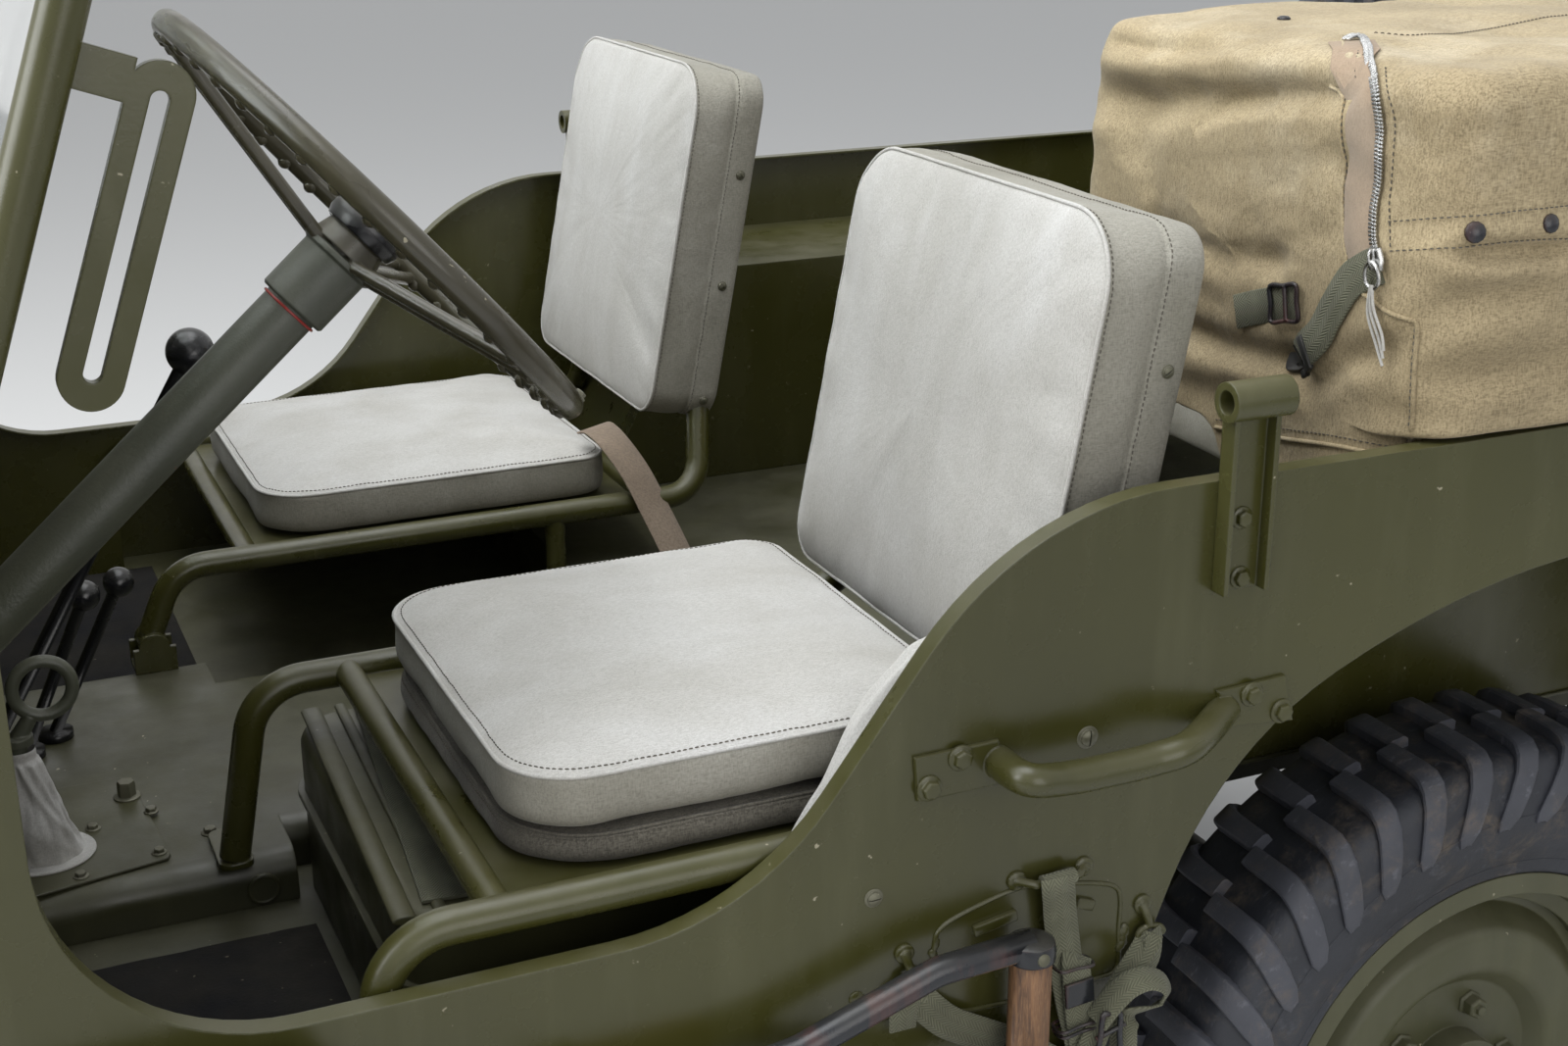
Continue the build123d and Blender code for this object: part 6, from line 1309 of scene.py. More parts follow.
def makeZipSlider():
    bm = bmesh.new()
    place, normal = onCover(1409, 262)
    down = (onCover(1411, 285)[0] - place)
    down = (down - normal * down.dot(normal)).normalized()
    across = down.cross(normal)

    def near(a, b, up=0.004):  # across, down and off the cover
        return place + normal * up + across * a + down * b

    addSlab(bm, [near(a, b) for a, b in ((-0.0055, -0.008), (0.0055, -0.008), (0.008, 0.001), (0.006, 0.010),
        (-0.006, 0.010), (-0.008, 0.001))], 0.0035, normal, 0.0012)
    loopTube(bm, [near(a, b, 0.010) for a, b in ((0.0, 0.002), (0.0065, 0.008), (0.007, 0.018), (0.0, 0.023),
        (-0.007, 0.018), (-0.0065, 0.008))], 0.0016)
    loopTube(bm, [near(0, b, h) for h, b in ((0.008, -0.006), (0.0115, -0.004), (0.0115, 0.003), (0.008, 0.006))],
        0.0011)
    makePiece("zipSlider", bm, lampChrome, "car")
    for turn in range(3):  # three short pull cords on the slider's ring
        drift, drop = (turn - 1) * 0.0035, 0.050 + 0.006 * turn
        path = smoothPath([near(drift * 0.3, 0.020, 0.011), near(drift + 0.003, 0.020 + drop * 0.35, 0.011),
            near(drift - 0.003, 0.020 + drop * 0.75, 0.010),
            near(drift * 0.4 - 0.006, 0.020 + drop, 0.010)], 7)
        bm = bmesh.new()
        addTube(bm, path, 0.0012, 7)
        cord = makePiece(f"zipPullCord{turn}", bm, seatCanvas, "car")


def makeCoverStrap(look):
    wide = look["strapWidth"]
    strapPiece("coverStrap", overSkin(((1408, 270), (1390, 279), (1377, 290), (1360, 318), (1344, 346), (1331, 368)),
        0.0022), wide, look["strapThickness"])
    strapPiece("coverStrapTip", overSkin(((1337, 358), (1330, 370), (1324, 381)), 0.0034, 5), wide * 0.98, 0.0040,
        bareSteel, [1.0, 1.02, 1.02, 1.02, 1.02, 1.0, 0.97, 0.90, 0.78, 0.6, 0.35])
    strapPiece("coverTab", overSkin(((1263, 318), (1280, 314), (1300, 310), (1326, 307)), 0.0020), look["tabWidth"],
        0.0024)
    bm = bmesh.new()
    hits = [onCover(px, py) for px, py in look["buckle"]]
    normal = sum((n for _, n in hits), Vector()).normalized()
    corners = [p + normal * 0.006 for p, _ in hits]
    loopTube(bm, withMiddles(corners), 0.0021, 5)
    addTube(bm, [corners[0].lerp(corners[1], 0.6) + normal * 0.001, corners[3].lerp(corners[2], 0.6) + normal * 0.001],
        0.0019, 8)
    makePiece("coverBuckle", bm, toolEnamel, "car")
    for px, py, size in look["snaps"]:
        place, normal = onCover(px, py)
        fasten("snap", "car", place + normal * 0.0008, normal, size)


makeZip(coverParts)
sew("coverStitches", [(overSkin(line, 0.0006, 8), False) for line in coverParts["stitched"]], threadDark, "car",
    0.0052)
pipe("coverSeams", [overSkin(line, 0.0004, 8) for line in coverParts["seams"]], 0.0022, tanCanvas, "car",
    False)
makeZipSlider()
makeCoverStrap(coverParts)
print("stage 7: cover made")

# tyres: a carcass of revolution with two rows of lugs
tyreShape = {
    # radius and half width of the carcass, from the tread's middle to the bead
    "profile": ((343.5, 0), (343.5, 24), (343.0, 48), (340.0, 61), (332.0, 69.0), (318.0, 73.6), (300.0, 75.4),
        (282.0, 75.6), (262.0, 73.6), (243.0, 66.8), (230.5, 59.5), (226.5, 59.8), (222.0, 58.5),
        (219.5, 56.0), (219.5, 52.6), (206.0, 52.4), (203.6, 50.0), (203.6, 0)),
    "sides": 132, "lugs": 42, "turn": 1.0, "first": 0.02, "offset": 6.0,
    # a lug's outer line, the line it stands on, its drift along the tread and half width
    "lugTop": ((354.6, 1.0), (354.6, 26.0), (354.2, 44.0), (352.4, 57.0), (346.0, 67.0), (333.5, 74.6),
        (314.5, 78.6), (293.0, 79.6), (281.0, 78.6)),
    "lugFoot": ((338, 1.0), (338, 26.0), (337, 44.0), (334, 56.0), (329, 62.0), (321, 66.0), (302, 70.0),
        (284, 71.0), (277, 71.0)),
    "drift": (0.0, 0.0, 0.3, 1.2, 4.0, 9.5, 17.5, 26.0, 30.5),
    "lugHalf": (10.6, 10.8, 11.2, 11.8, 12.6, 13.0, 12.8, 11.4, 6.0),
    "mould": (((288.0, 75.4), 0.9), ((236.0, 62.6), 0.8)),
}


def makeLugPair(look):  # modelled at the wheel's top, one lug for each side
    bm = bmesh.new()
    for hand, offset in ((-1, 0.0), (1, 0.5)):
        shift = 2 * math.pi * offset / look["lugs"]
        rings = []
        for (r, h), (ri, hi), d, w in zip(look["lugTop"], look["lugFoot"], look["drift"], look["lugHalf"]):
            middle = hand * (d * look["turn"] - look["offset"])
            corners = ((-w, hi, ri), (-w + 0.6, h - 1.6, r - 2.6), (-w + 2.2, h - 0.4, r - 0.8), (-w + 4.6, h, r),
                (w - 4.6, h, r), (w - 2.2, h - 0.4, r - 0.8), (w - 0.6, h - 1.6, r - 2.6), (w, hi, ri))
            ring = []
            for a, across, up in corners:
                x, z = (a + middle) / 1000, up / 1000
                ring.append(bm.verts.new(Vector((x * math.cos(shift) + z * math.sin(shift), hand * across / 1000,
                    z * math.cos(shift) - x * math.sin(shift)))))
            rings.append(ring)
        joinRings(bm, rings)
    return headShape("lugPair", bm)


def makeTyre(name, body, node, placing, look=tyreShape):
    profile = [(r / 1000, h / 1000) for r, h in look["profile"]]
    profile += [(r, -h) for r, h in reversed(profile) if h > 0]
    bm = bmesh.new()
    joinRings(bm, [[bm.verts.new(Vector((r * math.sin(t), h, r * math.cos(t)))) for r, h in profile]
        for t in circle(look["sides"])], True)
    for (radius, height), size in look["mould"]:
        for hand in (-1, 1):
            line = [Vector((radius * math.sin(t), hand * height, radius * math.cos(t))) / 1000 for t in circle(96)]
            addTube(bm, line, size / 1000, 6, True)
    bm.transform(placing)
    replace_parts(makePiece(name, bm, tyreRubber, body, 50), node)
    lugs = runRing(name + "Lugs", lugPair, look["lugs"], look["first"], (0.0, 0.0, 0.0), lugRubber, body, 28)
    lugs.data.transform(placing)


lugPair = makeLugPair(tyreShape)
wheelTrack, wheelHigh, wheelBase = 622.5, 355.0, 2032.0
wheels = [(end, side, station, hand) for end, station in (("front", 0.0), ("rear", wheelBase))
    for side, hand in (("left", -1), ("right", 1))]
for end, side, station, hand in wheels:
    makeTyre(end + side.title() + "Tyre", f"{end}_{side}", f"tyre_{end}_{side}",
        Matrix.Translation(row(station, hand * wheelTrack, wheelHigh)))
makeTyre("spareTyre", "car", "spare_tyre",
    Matrix.Translation(row(2727, 300, 935)) @ Matrix.Rotation(math.pi / 2, 4, "Z"))
print("stage 8: tyres made")

# shovel on the left side: the built mesh divided into wood and enamel
shovelLook = {"y": -767.5, "z": 636.0, "wood": (1010.0, 1270.0), "fork": 1498.0, "gripHalf": 52.0, "gripReach": 24.0,
    "socket": ((0.0165, 0), (0.0185, 0.0015), (0.0188, 0.010), (0.0175, 0.0155), (0.013, 0.0185),
        (0.0, 0.0195))}


def makeShovel(look):
    bm = nodeMesh("shovel")
    half = look["gripHalf"]
    for face in bm.faces:
        spot = face.calc_center_median()
        station, z = spot.x * 1000 + frontAxle, spot.z * 1000
        shaft = look["wood"][0] < station < look["wood"][1]
        grip = abs(station - look["fork"] + 10) < look["gripReach"] and abs(z - look["z"]) < half - 8
        face.material_index = 1 if shaft else 2 if grip else 0
    piece = makePiece("shovelFinished", bm, [toolEnamel, shaftWood, gripWood], "car", 40)
    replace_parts(piece, "shovel")
    bm = bmesh.new()
    top = row(look["fork"], look["y"], look["z"] + half)
    addLathe(bm, top - zAxis * 0.013, zAxis, look["socket"], 36)
    addLathe(bm, top - zAxis * (half / 500 - 0.013), -zAxis, look["socket"], 36)
    makePiece("gripSockets", bm, toolEnamel, "car", 40)
    fasten("rivet", "car", top + Vector((0, -0.0183, -0.0045)), Vector((0, -1, 0.15)), 1.3)


makeShovel(shovelLook)

# webbing loops, straps and their metal on the left side
outerFace = sightOnTree(nodeTree("side_panels"), 1150, 800)[0].y
loopLook = {"eye": 0.0078, "plate": 0.0030, "wire": 0.0034, "stand": 0.009}


def onSide(px, py, lift=0.0):  # a photo point on the side panel's outer plane, lifted off it
    return sightOnPlane(1, (outerFace - lift) * 1000, px, py)


def makeLoop(name, eyes, hold, look=loopLook):  # screwed eyes with a bent wire between them
    bm = bmesh.new()
    out, r, thick, wire = -yAxis, look["eye"], look["plate"], look["wire"]
    for px, py in eyes:
        eye = onSide(px, py)
        addLathe(bm, eye, out, [(r, -0.0004), (r, thick * 0.7), (r * 0.82, thick)], 20)
        addLathe(bm, eye + out * thick, out, [(r * 0.52, -0.0002), (r * 0.52, 0.0009), (r * 0.36, 0.0016)], 14)
    if len(eyes) == 2:
        a, b = (onSide(*p, 0.002) for p in eyes)
        c, d = (onSide(*p, look["stand"]) for p in hold)
        path = [a, a.lerp(c, 0.55) + out * 0.002, c, d, b.lerp(d, 0.55) + out * 0.002, b]
        addTube(bm, smoothPath(path, 7), wire, 8)
    else:
        a = onSide(*eyes[0], 0.002)
        c = onSide(*hold[0], look["stand"] * 0.7)
        neck = smoothPath([a, a.lerp(c, 0.5) + out * 0.002, c], 7)
        addTube(bm, neck, [wire * (1.2 - 0.35 * k / len(neck)) for k in range(len(neck))], 8)
        w = xAxis * 0.011
        down = onSide(*hold[1], look["stand"] * 0.7) - c
        loopTube(bm, [c, c + w * 0.8 + down * 0.3, c + w + down, c + down * 1.05, c - w + down,
            c - w * 0.8 + down * 0.3], wire * 0.72, 5)
    makePiece(name, bm, olivePaint, "car", 40)


def sideStrap(name, line, width, faces, thickness=0.0024, material=webbing):
    # line: photo point and height above the panel; faces: (times, way) that the strap's flat side looks
    points = smoothPath([onSide(px, py, lift) for px, py, lift in line], 7)
    keys = smoothPath([Vector(way) for times, way in faces for _ in range(times)], 7)
    strapPiece(name, [(p, k.normalized()) for p, k in zip(points, keys)], width, thickness, material)


makeLoop("centreLoop", ((1036.8, 898.2), (1105.2, 883.2)), ((1062, 902), (1097, 893)))
makeLoop("leftLoop", ((922.3, 972.2),), ((931, 995), (933, 1008)))
makeLoop("rightLoop", ((1165.1, 921.3),), ((1173, 944), (1174, 953)))
strapWide = (onSide(1097, 893) - onSide(1063, 902)).length * 0.98
sideStrap("centreStrap", ((1079.5, 895, 0.0135), (1080, 903, 0.0145), (1081, 918, 0.012), (1082, 935, 0.011),
    (1085, 962, 0.012), (1088, 985, 0.014), (1094, 1020, 0.016), (1101, 1050, 0.016),
    (1108, 1085, 0.012), (1112, 1120, 0.006)), strapWide,
    ((1, (0, -0.75, 0.66)), (9, (0, -1, 0.05))))
foldBm = bmesh.new()
mappedSweep(foldBm, [onSide(1063.5, 901, 0.0098), onSide(1096.5, 892, 0.0098)], roundSection(0.0058, 14))
makePiece("strapFold", foldBm, webbing, "car", 50)
sideStrap("centreTongue", ((1099, 974, 0.013), (1098, 980, 0.019), (1099, 1000, 0.021), (1101, 1030, 0.0215),
    (1104, 1052, 0.020), (1107, 1075, 0.017)), strapWide * 0.86,
    ((1, (0, -0.4, 1)), (1, (0, -0.9, 0.4)), (4, (0, -1, 0))))
sideStrap("tongueTip", ((1101, 1001, 0.0235), (1101.5, 1012, 0.0238), (1102, 1024, 0.0238)), strapWide * 0.88,
    ((3, (0, -1, 0)),), 0.0030, toolEnamel)


def makeKeepers():
    bm = bmesh.new()
    for start, end, lift in (((1083, 992), (1116, 984), 0.0255), ((1084, 1054), (1120, 1040), 0.0255),
            ((1085, 1059), (1121, 1046), 0.0245)):
        a, b = onSide(*start, lift), onSide(*end, lift)
        middle, back = a.lerp(b, 0.5), yAxis * 0.014
        loopTube(bm, [a, middle, b, b + back, middle + back, a + back], 0.0014, 5)
    makePiece("strapKeepers", bm, toolEnamel, "car")


makeKeepers()
# the loose strap of the right loop, and its big hanging loop
sideStrap("rightStrapBack", ((1174, 951, 0.010), (1169, 964, 0.013), (1157, 984, 0.015), (1143, 1006, 0.017),
    (1128, 1030, 0.020), (1114, 1054, 0.024), (1098, 1085, 0.026)), 0.020,
    ((1, (-0.7, -0.7, 0.2)), (6, (-0.75, -0.6, -0.3))))
sideStrap("rightStrapFront", ((1174, 951, 0.010), (1177, 958, 0.012), (1174, 976, 0.014), (1165, 992, 0.015),
    (1150, 1008, 0.018), (1136, 1028, 0.022), (1120, 1052, 0.027), (1106, 1085, 0.030)),
    0.020, ((1, (0.2, -1, 0.2)), (1, (0.3, -1, 0.1)), (2, (0.15, -1, 0.1)), (4, (-0.6, -0.7, -0.3))))
sideStrap("hangingLoop", ((1118, 1042, 0.030), (1134, 1022, 0.033), (1152, 1005, 0.036), (1172, 998, 0.038),
    (1188, 1004, 0.038), (1188, 1019, 0.036), (1174, 1028, 0.034), (1156, 1033, 0.033),
    (1147, 1046, 0.032), (1146, 1066, 0.031), (1142, 1090, 0.030)), 0.021,
    [(1, way) for way in ((-0.5, -0.55, 0.7), (-0.5, -0.5, 0.75), (-0.3, -0.5, 0.85), (0.1, -0.5, 0.9),
        (0.8, -0.55, 0.3), (0.3, -0.55, -0.8), (-0.1, -0.6, -0.8), (-0.3, -0.75, -0.6),
        (-0.7, -0.75, 0.1), (-0.5, -0.9, 0.1), (-0.4, -0.9, 0.1))])
buckleBm = bmesh.new()
buckleCorners = ((1126, 1036), (1143, 1034), (1142, 1072), (1120, 1078))
loopTube(buckleBm, withMiddles([onSide(px, py, 0.036) for px, py in buckleCorners]), 0.0024, 5)
addTube(buckleBm, [onSide(1118, 1060, 0.034), onSide(1148, 1044, 0.036)], 0.0020, 8)
makePiece("looseBuckle", buckleBm, toolEnamel, "car")
# the left loop's strap runs down behind the fork to the shovel's grip
sideStrap("leftStrap", ((932, 1008, 0.006), (930, 1012, 0.009), (945, 1026, 0.010), (968, 1043, 0.011),
    (1000, 1054, 0.011), (1030, 1064, 0.011), (1062, 1078, 0.010), (1100, 1100, 0.008)), 0.026,
    ((1, (-0.2, -0.6, 0.9)), (1, (-0.1, -1, 0.2)), (6, (0, -1, 0.05))))
sideStrap("leftStrapTail", ((932, 1009, 0.007), (926, 1020, 0.012), (922, 1034, 0.012), (921, 1050, 0.009)), 0.021,
    [(1, way) for way in ((-0.3, -0.8, 0.6), (-0.3, -1, 0.1), (-0.2, -1, 0), (-0.1, -1, 0))])
strapRing = bmesh.new()
mappedSweep(strapRing, [row(1150, -767.5 + 19.5 * math.cos(t), 636 + 19.5 * math.sin(t)) for t in circle(28)],
    strapSection(0.030, 0.0026), [xAxis] * 28, True)
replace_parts(makePiece("forwardStrap", strapRing, webbing, "car", 50), "tool_straps")

# blade recess for the axe: its raised edge, ribs and weld beads
recessLook = {
    "edge": ((951, 1002), (953, 966), (959, 948), (980, 933), (1028, 910), (1058, 902), (1085, 901), (1120, 901),
        (1138, 905), (1143, 918), (1141, 950), (1139, 988), (1112, 1000), (1062, 1014), (1010, 1026), (972, 1030)),
    "ribs": (((993, 950), (1037, 932)), ((1098, 920), (1115, 923))),
    "beads": (((955, 962), (951, 985), (953, 1003)), ((1145, 944), (1147, 956), (1143, 968))),
}


def makeRecess(look):
    bm = bmesh.new()
    loopTube(bm, [onSide(px, py, 0.0002) for px, py in look["edge"]], 0.0019, 5)
    for a, b in look["ribs"]:
        start, end = onSide(*a, 0.0012), onSide(*b, 0.0012)
        along = (end - start).normalized()
        sizes = ((end - start).length, 0.0088, 0.0062)
        addBlock(bm, start.lerp(end, 0.5), (along, along.cross(-yAxis), -yAxis), sizes, 0.0016)
    draw = random.Random(11)
    for line in look["beads"]:
        for spot in smoothPath([onSide(px, py) for px, py in line], 7):
            size = draw.uniform(0.0022, 0.0044)
            place = spot + Vector((draw.uniform(-0.002, 0.002), 0, draw.uniform(-0.002, 0.002)))
            addLathe(bm, place, -yAxis, [(size, -0.0004), (size * 0.85, size * 0.4), (size * 0.4, size * 0.62)], 8)
    makePiece("axeRecess", bm, olivePaint, "car", 40)


makeRecess(recessLook)

# bolts and screws of the left side, and the grab handles
for px, py, kind, size in ((1109.4, 751.9, "screw", 1.15), (891.2, 915.9, "screw", 0.95),
        (873.8, 1018.7, "paintedRivet", 1.6)):
    fasten(kind, "car", onSide(px, py), -yAxis, size)
handleLook = {"plane": -735.2, "radius": 12.4, "thick": 3.6, "reach": -773.0,
    "plates": (((931, 772), (1018, 753), (1023, 797), (934, 817)),
        ((1240, 704), (1310, 687), (1317, 733), (1247, 741))),
    "grip": ((1048, 795), (1088, 794), (1130, 786), (1176, 775), (1216, 760)),
    "feet": ((1017, 776), (1250, 723)),
    "bolts": ((980, 773), (948, 804), (1277, 708), (1307, 725))}


def makeHandles(look):
    bm = bmesh.new()
    for hand in (-1, 1):
        def there(value, spot):
            place = sightOnPlane(1, value, *spot)
            return Vector((place.x, place.y * -hand, place.z))
        out = yAxis * hand
        for plate in look["plates"]:
            corners = [there(look["plane"], spot) for spot in plate]
            addSlab(bm, corners if hand < 0 else corners[::-1], look["thick"] / 1000, out, 0.0012)
        feet = [there(look["plane"], spot) for spot in look["feet"]]
        grip = [there(look["reach"], spot) for spot in look["grip"]]
        addTube(bm, smoothPath([feet[0]] + grip + [feet[1]], 8), look["radius"] / 1000, 24)
        for spot in look["bolts"]:
            fasten("paintedHex", "car", there(look["plane"] - look["thick"], spot), out, 1.25)
    handles = makePiece("grabHandles", bm, olivePaint, "car", 35)
    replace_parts(handles, "grab_handles")


makeHandles(handleLook)
bows = nodeTree("bow_brackets")
for station, z in ((1680, 984), (1682, 937)):
    for hand in (-1, 1):
        place, normal, _, _ = bows.ray_cast(row(station, hand * 900, z), yAxis * -hand)
        if place is not None:
            fasten("paintedHex", "car", place, yAxis * hand, 1.1)
print("stage 9: side made")

# steering wheel details
steeringLook = {"centre": (1150.7, -321.4, 1173.6), "angle": 41.6, "rim": 208.0, "collarRadius": 29.0,
    "collarLength": 56.0, "collarStart": -92.0, "grips": 42, "gripSize": 8.4}
rimTilt = math.radians(steeringLook["angle"])
rimAxis = Vector((math.cos(rimTilt), 0, math.sin(rimTilt)))
rimCentre = row(*steeringLook["centre"])


def onRim(degrees, radius, below=0.0):
    turn = math.radians(degrees)
    outwards = yAxis * math.cos(turn) + rimAxis.cross(yAxis) * math.sin(turn)
    return rimCentre + outwards * radius / 1000 - rimAxis * below / 1000


def makeSteeringDetails(look):
    bm = bmesh.new()
    foot = rimCentre + rimAxis * look["collarStart"] / 1000
    r, long, size = look["collarRadius"] / 1000, look["collarLength"] / 1000, look["gripSize"] / 1000
    addLathe(bm, foot, rimAxis, [(r * 0.94, 0), (r, 0.002), (r, long * 0.86), (r * 1.1, long * 0.9),
        (r * 1.1, long * 0.97), (r * 0.9, long)], 36)
    makePiece("hubCollar", bm, columnPaint, "steering", 40)
    line = bmesh.new()
    addTube(line, [foot - rimAxis * 0.003 + (onRim(t, 23.6) - rimCentre) for t in range(0, 360, 10)], 0.0012, 6, True)
    makePiece("hubLine", line, lampRed, "steering", 60)
    grips = bmesh.new()
    shape = [(size * a, size * b) for a, b in ((0.62, 0.16), (0.86, 0.5), (0.9, 0.78), (0.86, 1.06), (0.62, 1.4))]
    for k in range(look["grips"]):
        degrees = 360 * k / look["grips"]
        along = (onRim(degrees + 1, 208) - onRim(degrees - 1, 208)).normalized()
        addLathe(grips, onRim(degrees, look["rim"] - 2.5, 6.4) - along * size * 0.78, along,
            [(0.0012, 0), *shape, (0.0012, size * 1.56)], 10)
    makePiece("rimGrips", grips, rimPlastic, "steering", 50)
    cap = bmesh.new()
    addLathe(cap, rimCentre - rimAxis * 0.012, rimAxis, [
        (0.030, -0.006), (0.0325, 0.0), (0.0325, 0.008), (0.029, 0.013), (0.018, 0.015),
        (0.0175, 0.0185), (0.0, 0.0195)], 32)
    makePiece("hornButton", cap, blackKnob, "steering", 40)
    fasten("hex", "steering", onRim(248, 208) + rimAxis * 0.0105, rimAxis, 0.8)


makeSteeringDetails(steeringLook)

# cloth boot, its flange and the brake lever's ring
bootLook = {"foot": sightOnPlane(2, 608.5, 46, 871), "top": sightOnPlane(1, -178, 18, 764), "footRadius": 31.0,
    "topRadius": 13.0, "around": 96, "rings": 46, "ring": sightOnPlane(1, -178, 43, 702), "ringRadius": 0.0245}


def makeBoot(look):
    verts = []
    wobble = Vector((4.3, 1.2, 7.7))
    for k in range(look["rings"]):
        share = k / (look["rings"] - 1)
        centre = look["foot"].lerp(look["top"], share)
        base = look["footRadius"] + (look["topRadius"] - look["footRadius"]) * (share ** 0.8)
        tied = min(1.0, (1 - share) * 9)
        for turn in circle(look["around"]):
            spot = Vector((math.cos(turn) * 1.6, math.sin(turn) * 1.6, share * 2.2))
            fold = fieldNoise.fractal(spot * 1.25 + wobble, 1.0, 2.0, 2)
            late = turn + share * 1.5
            spot = Vector((math.cos(late) * 1.7, math.sin(late) * 1.7, share * 1.1))
            sharp = 1 - abs(fieldNoise.noise(spot + wobble)) * 2.4
            radius = base * (1 + 0.13 * fold * tied + 0.09 * sharp * tied * (0.35 + 0.65 * min(1, share * 3 + 0.2)))
            if abs(share - 0.93) < 0.035:
                radius = look["topRadius"] * 0.99
            radius = min(radius, look["footRadius"] * 1.06)
            verts.append(centre + Vector((radius * 1.08 * math.cos(turn), radius * math.sin(turn), 0)) / 1000)
    mesh = divided(rawMesh("leverBoot", verts, ringFaces(look["rings"], look["around"])), "leverBoot")
    boot = newPiece("leverBoot", mesh, seatCanvas, "car")
    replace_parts(boot, "lever_boot")
    flange = bmesh.new()
    line = [look["foot"] + Vector((0.037 * math.cos(t), 0.035 * math.sin(t), 0.0007)) for t in circle(60)]
    outwards = [Vector((math.cos(t), math.sin(t), 0)) for t in circle(60)]
    sweepSection(flange, line, strapSection(0.013, 0.0034), outwards, True)
    makePiece("bootFlange", flange, seatCanvas, "car", 40)


def makeLevers(look):  # the built levers without the brake lever's ring, which faces the driver here
    bm = nodeMesh("levers")
    bmesh.ops.delete(bm, geom=[f for f in bm.faces if f.calc_center_median().y < -0.12], context="FACES")
    centre, top, radius = look["ring"], look["top"], look["ringRadius"]
    ring = [centre + Vector((radius * math.sin(t), 0, -radius * math.cos(t))) for t in circle(40)]
    addTube(bm, ring, 0.0057, 14, True, yAxis)
    stem = [look["foot"] + zAxis * 0.004, top - zAxis * 0.02, top + zAxis * 0.008, centre - Vector((0.012, 0, 0.0235))]
    addTube(bm, stem, [0.009, 0.0095, 0.0085, 0.0062], 16)
    addLathe(bm, top + zAxis * 0.004, zAxis, [(0.0118, 0), (0.0138, 0.001), (0.0138, 0.008), (0.0118, 0.009)], 24)
    for face in bm.faces:
        face.material_index = 1 if face.calc_center_median().y < -0.12 else 0
    levers = makePiece("leversFinished", bm, [blackKnob, columnPaint], "car", 40)
    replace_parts(levers, "levers")


makeBoot(bootLook)
makeLevers(bootLook)

# cover plate on the tunnel with its bolts and plugs, and the floor mats
floorLevel = nodeTree("floor_pan", "tunnel_cover", "wheelhouses", "seat_brackets")


def makePlate():
    bm = bmesh.new()
    outline = [(826, -238), (955, -213), (958, -205), (946, -40), (938, -30), (835, -30), (828, -120)]
    addSlab(bm, [row(s, y, 606.0) for s, y in outline], 0.0022, zAxis, 0.0006)
    makePiece("tunnelPlate", bm, floorPaint, "car", 30)
    tall = bmesh.new()
    addLathe(tall, row(938, -76, 608), zAxis, [(0.0085, 0), (0.0085, 0.014), (0.0075, 0.0165), (0, 0.0168)], 6)
    addLathe(tall, row(938, -76, 608), zAxis, [(0.0125, 0), (0.0125, 0.0016), (0.011, 0.0024)], 20)
    makePiece("tunnelPlug", tall, boltSteel, "car", 40)
    for s, y in ((954, -116), (949, -200), (901, -129), (881, -216)):
        fasten("hex", "car", row(s, y, 608.2), zAxis, 0.85)
    plug = bmesh.new()
    addLathe(plug, *sightOnTree(floorLevel, 269.4, 906.5), [(0.0150, -0.001), (0.0150, 0.0012), (0.0125, 0.0022),
        (0.0118, 0.0014), (0, 0.0016)], 30)
    makePiece("floorPlug", plug, floorPaint, "car", 40)
    fasten("hex", "car", *sightOnTree(floorLevel, 214.4, 849.5), 1.0)


def makeMat(name, xs, ys, lift, thick):  # a mat laid on the floor, following it
    bm = bmesh.new()
    nx, ny = 26, 30
    top, low = [], []
    for i in range(nx + 1):
        ups, downs = [], []
        for j in range(ny + 1):
            s, y = xs[0] + (xs[1] - xs[0]) * i / nx, ys[0] + (ys[1] - ys[0]) * j / ny
            place = floorLevel.ray_cast(row(s, y, 900), -zAxis)[0]
            bump = 0.0006 * fieldNoise.noise(Vector((s / 24, y / 24, 0)))
            ups.append(bm.verts.new(place + zAxis * (lift + thick + bump)))
            downs.append(bm.verts.new(place + zAxis * lift))
        top.append(ups)
        low.append(downs)
    for i in range(nx):
        for j in range(ny):
            bm.faces.new((top[i][j], top[i + 1][j], top[i + 1][j + 1], top[i][j + 1]))
            bm.faces.new((low[i][j], low[i][j + 1], low[i + 1][j + 1], low[i + 1][j]))
    rims = [[[line[i] for line in side] for side in (top, low)] for i in (0, ny)] + [[top[i], low[i]] for i in (0, nx)]
    for upper, lower in rims:
        for k in range(len(upper) - 1):
            bm.faces.new((upper[k], upper[k + 1], lower[k + 1], lower[k]))
    mat = makePiece(name, bm, floorMat, "car", 40)


makePlate()
makeMat("driverMat", (826, 1062), (-672, -302), 0.0004, 0.004)
makeMat("passengerMat", (826, 1062), (302, 672), 0.0004, 0.004)

# fuel tank: pressed ridges on its top and a webbing strip across it
tankTop = 716.0


def makeTankDetails():
    bm = bmesh.new()
    for start, end, width, high in ((1092, 1076, 9.0, 3.2), (1118, 1104, 5.0, 2.4)):
        places = ((start, -196), ((start + end) / 2, -394), (end, -592))
        line = smoothPath([row(s, y, tankTop) for s, y in places], 8)
        sweepSection(bm, line, roundSection(width / 1000, 10, high / width), [xAxis] * len(line))
    makePiece("tankRidges", bm, floorPaint, "car", 50)
    line = [(row(1150 + 0.095 * (y + 192), y, tankTop + 1.6), zAxis) for y in range(-196, -596, -20)]
    strapPiece("tankStrip", line, 0.040, 0.0024)


makeTankDetails()
print("stage 10: inside made")

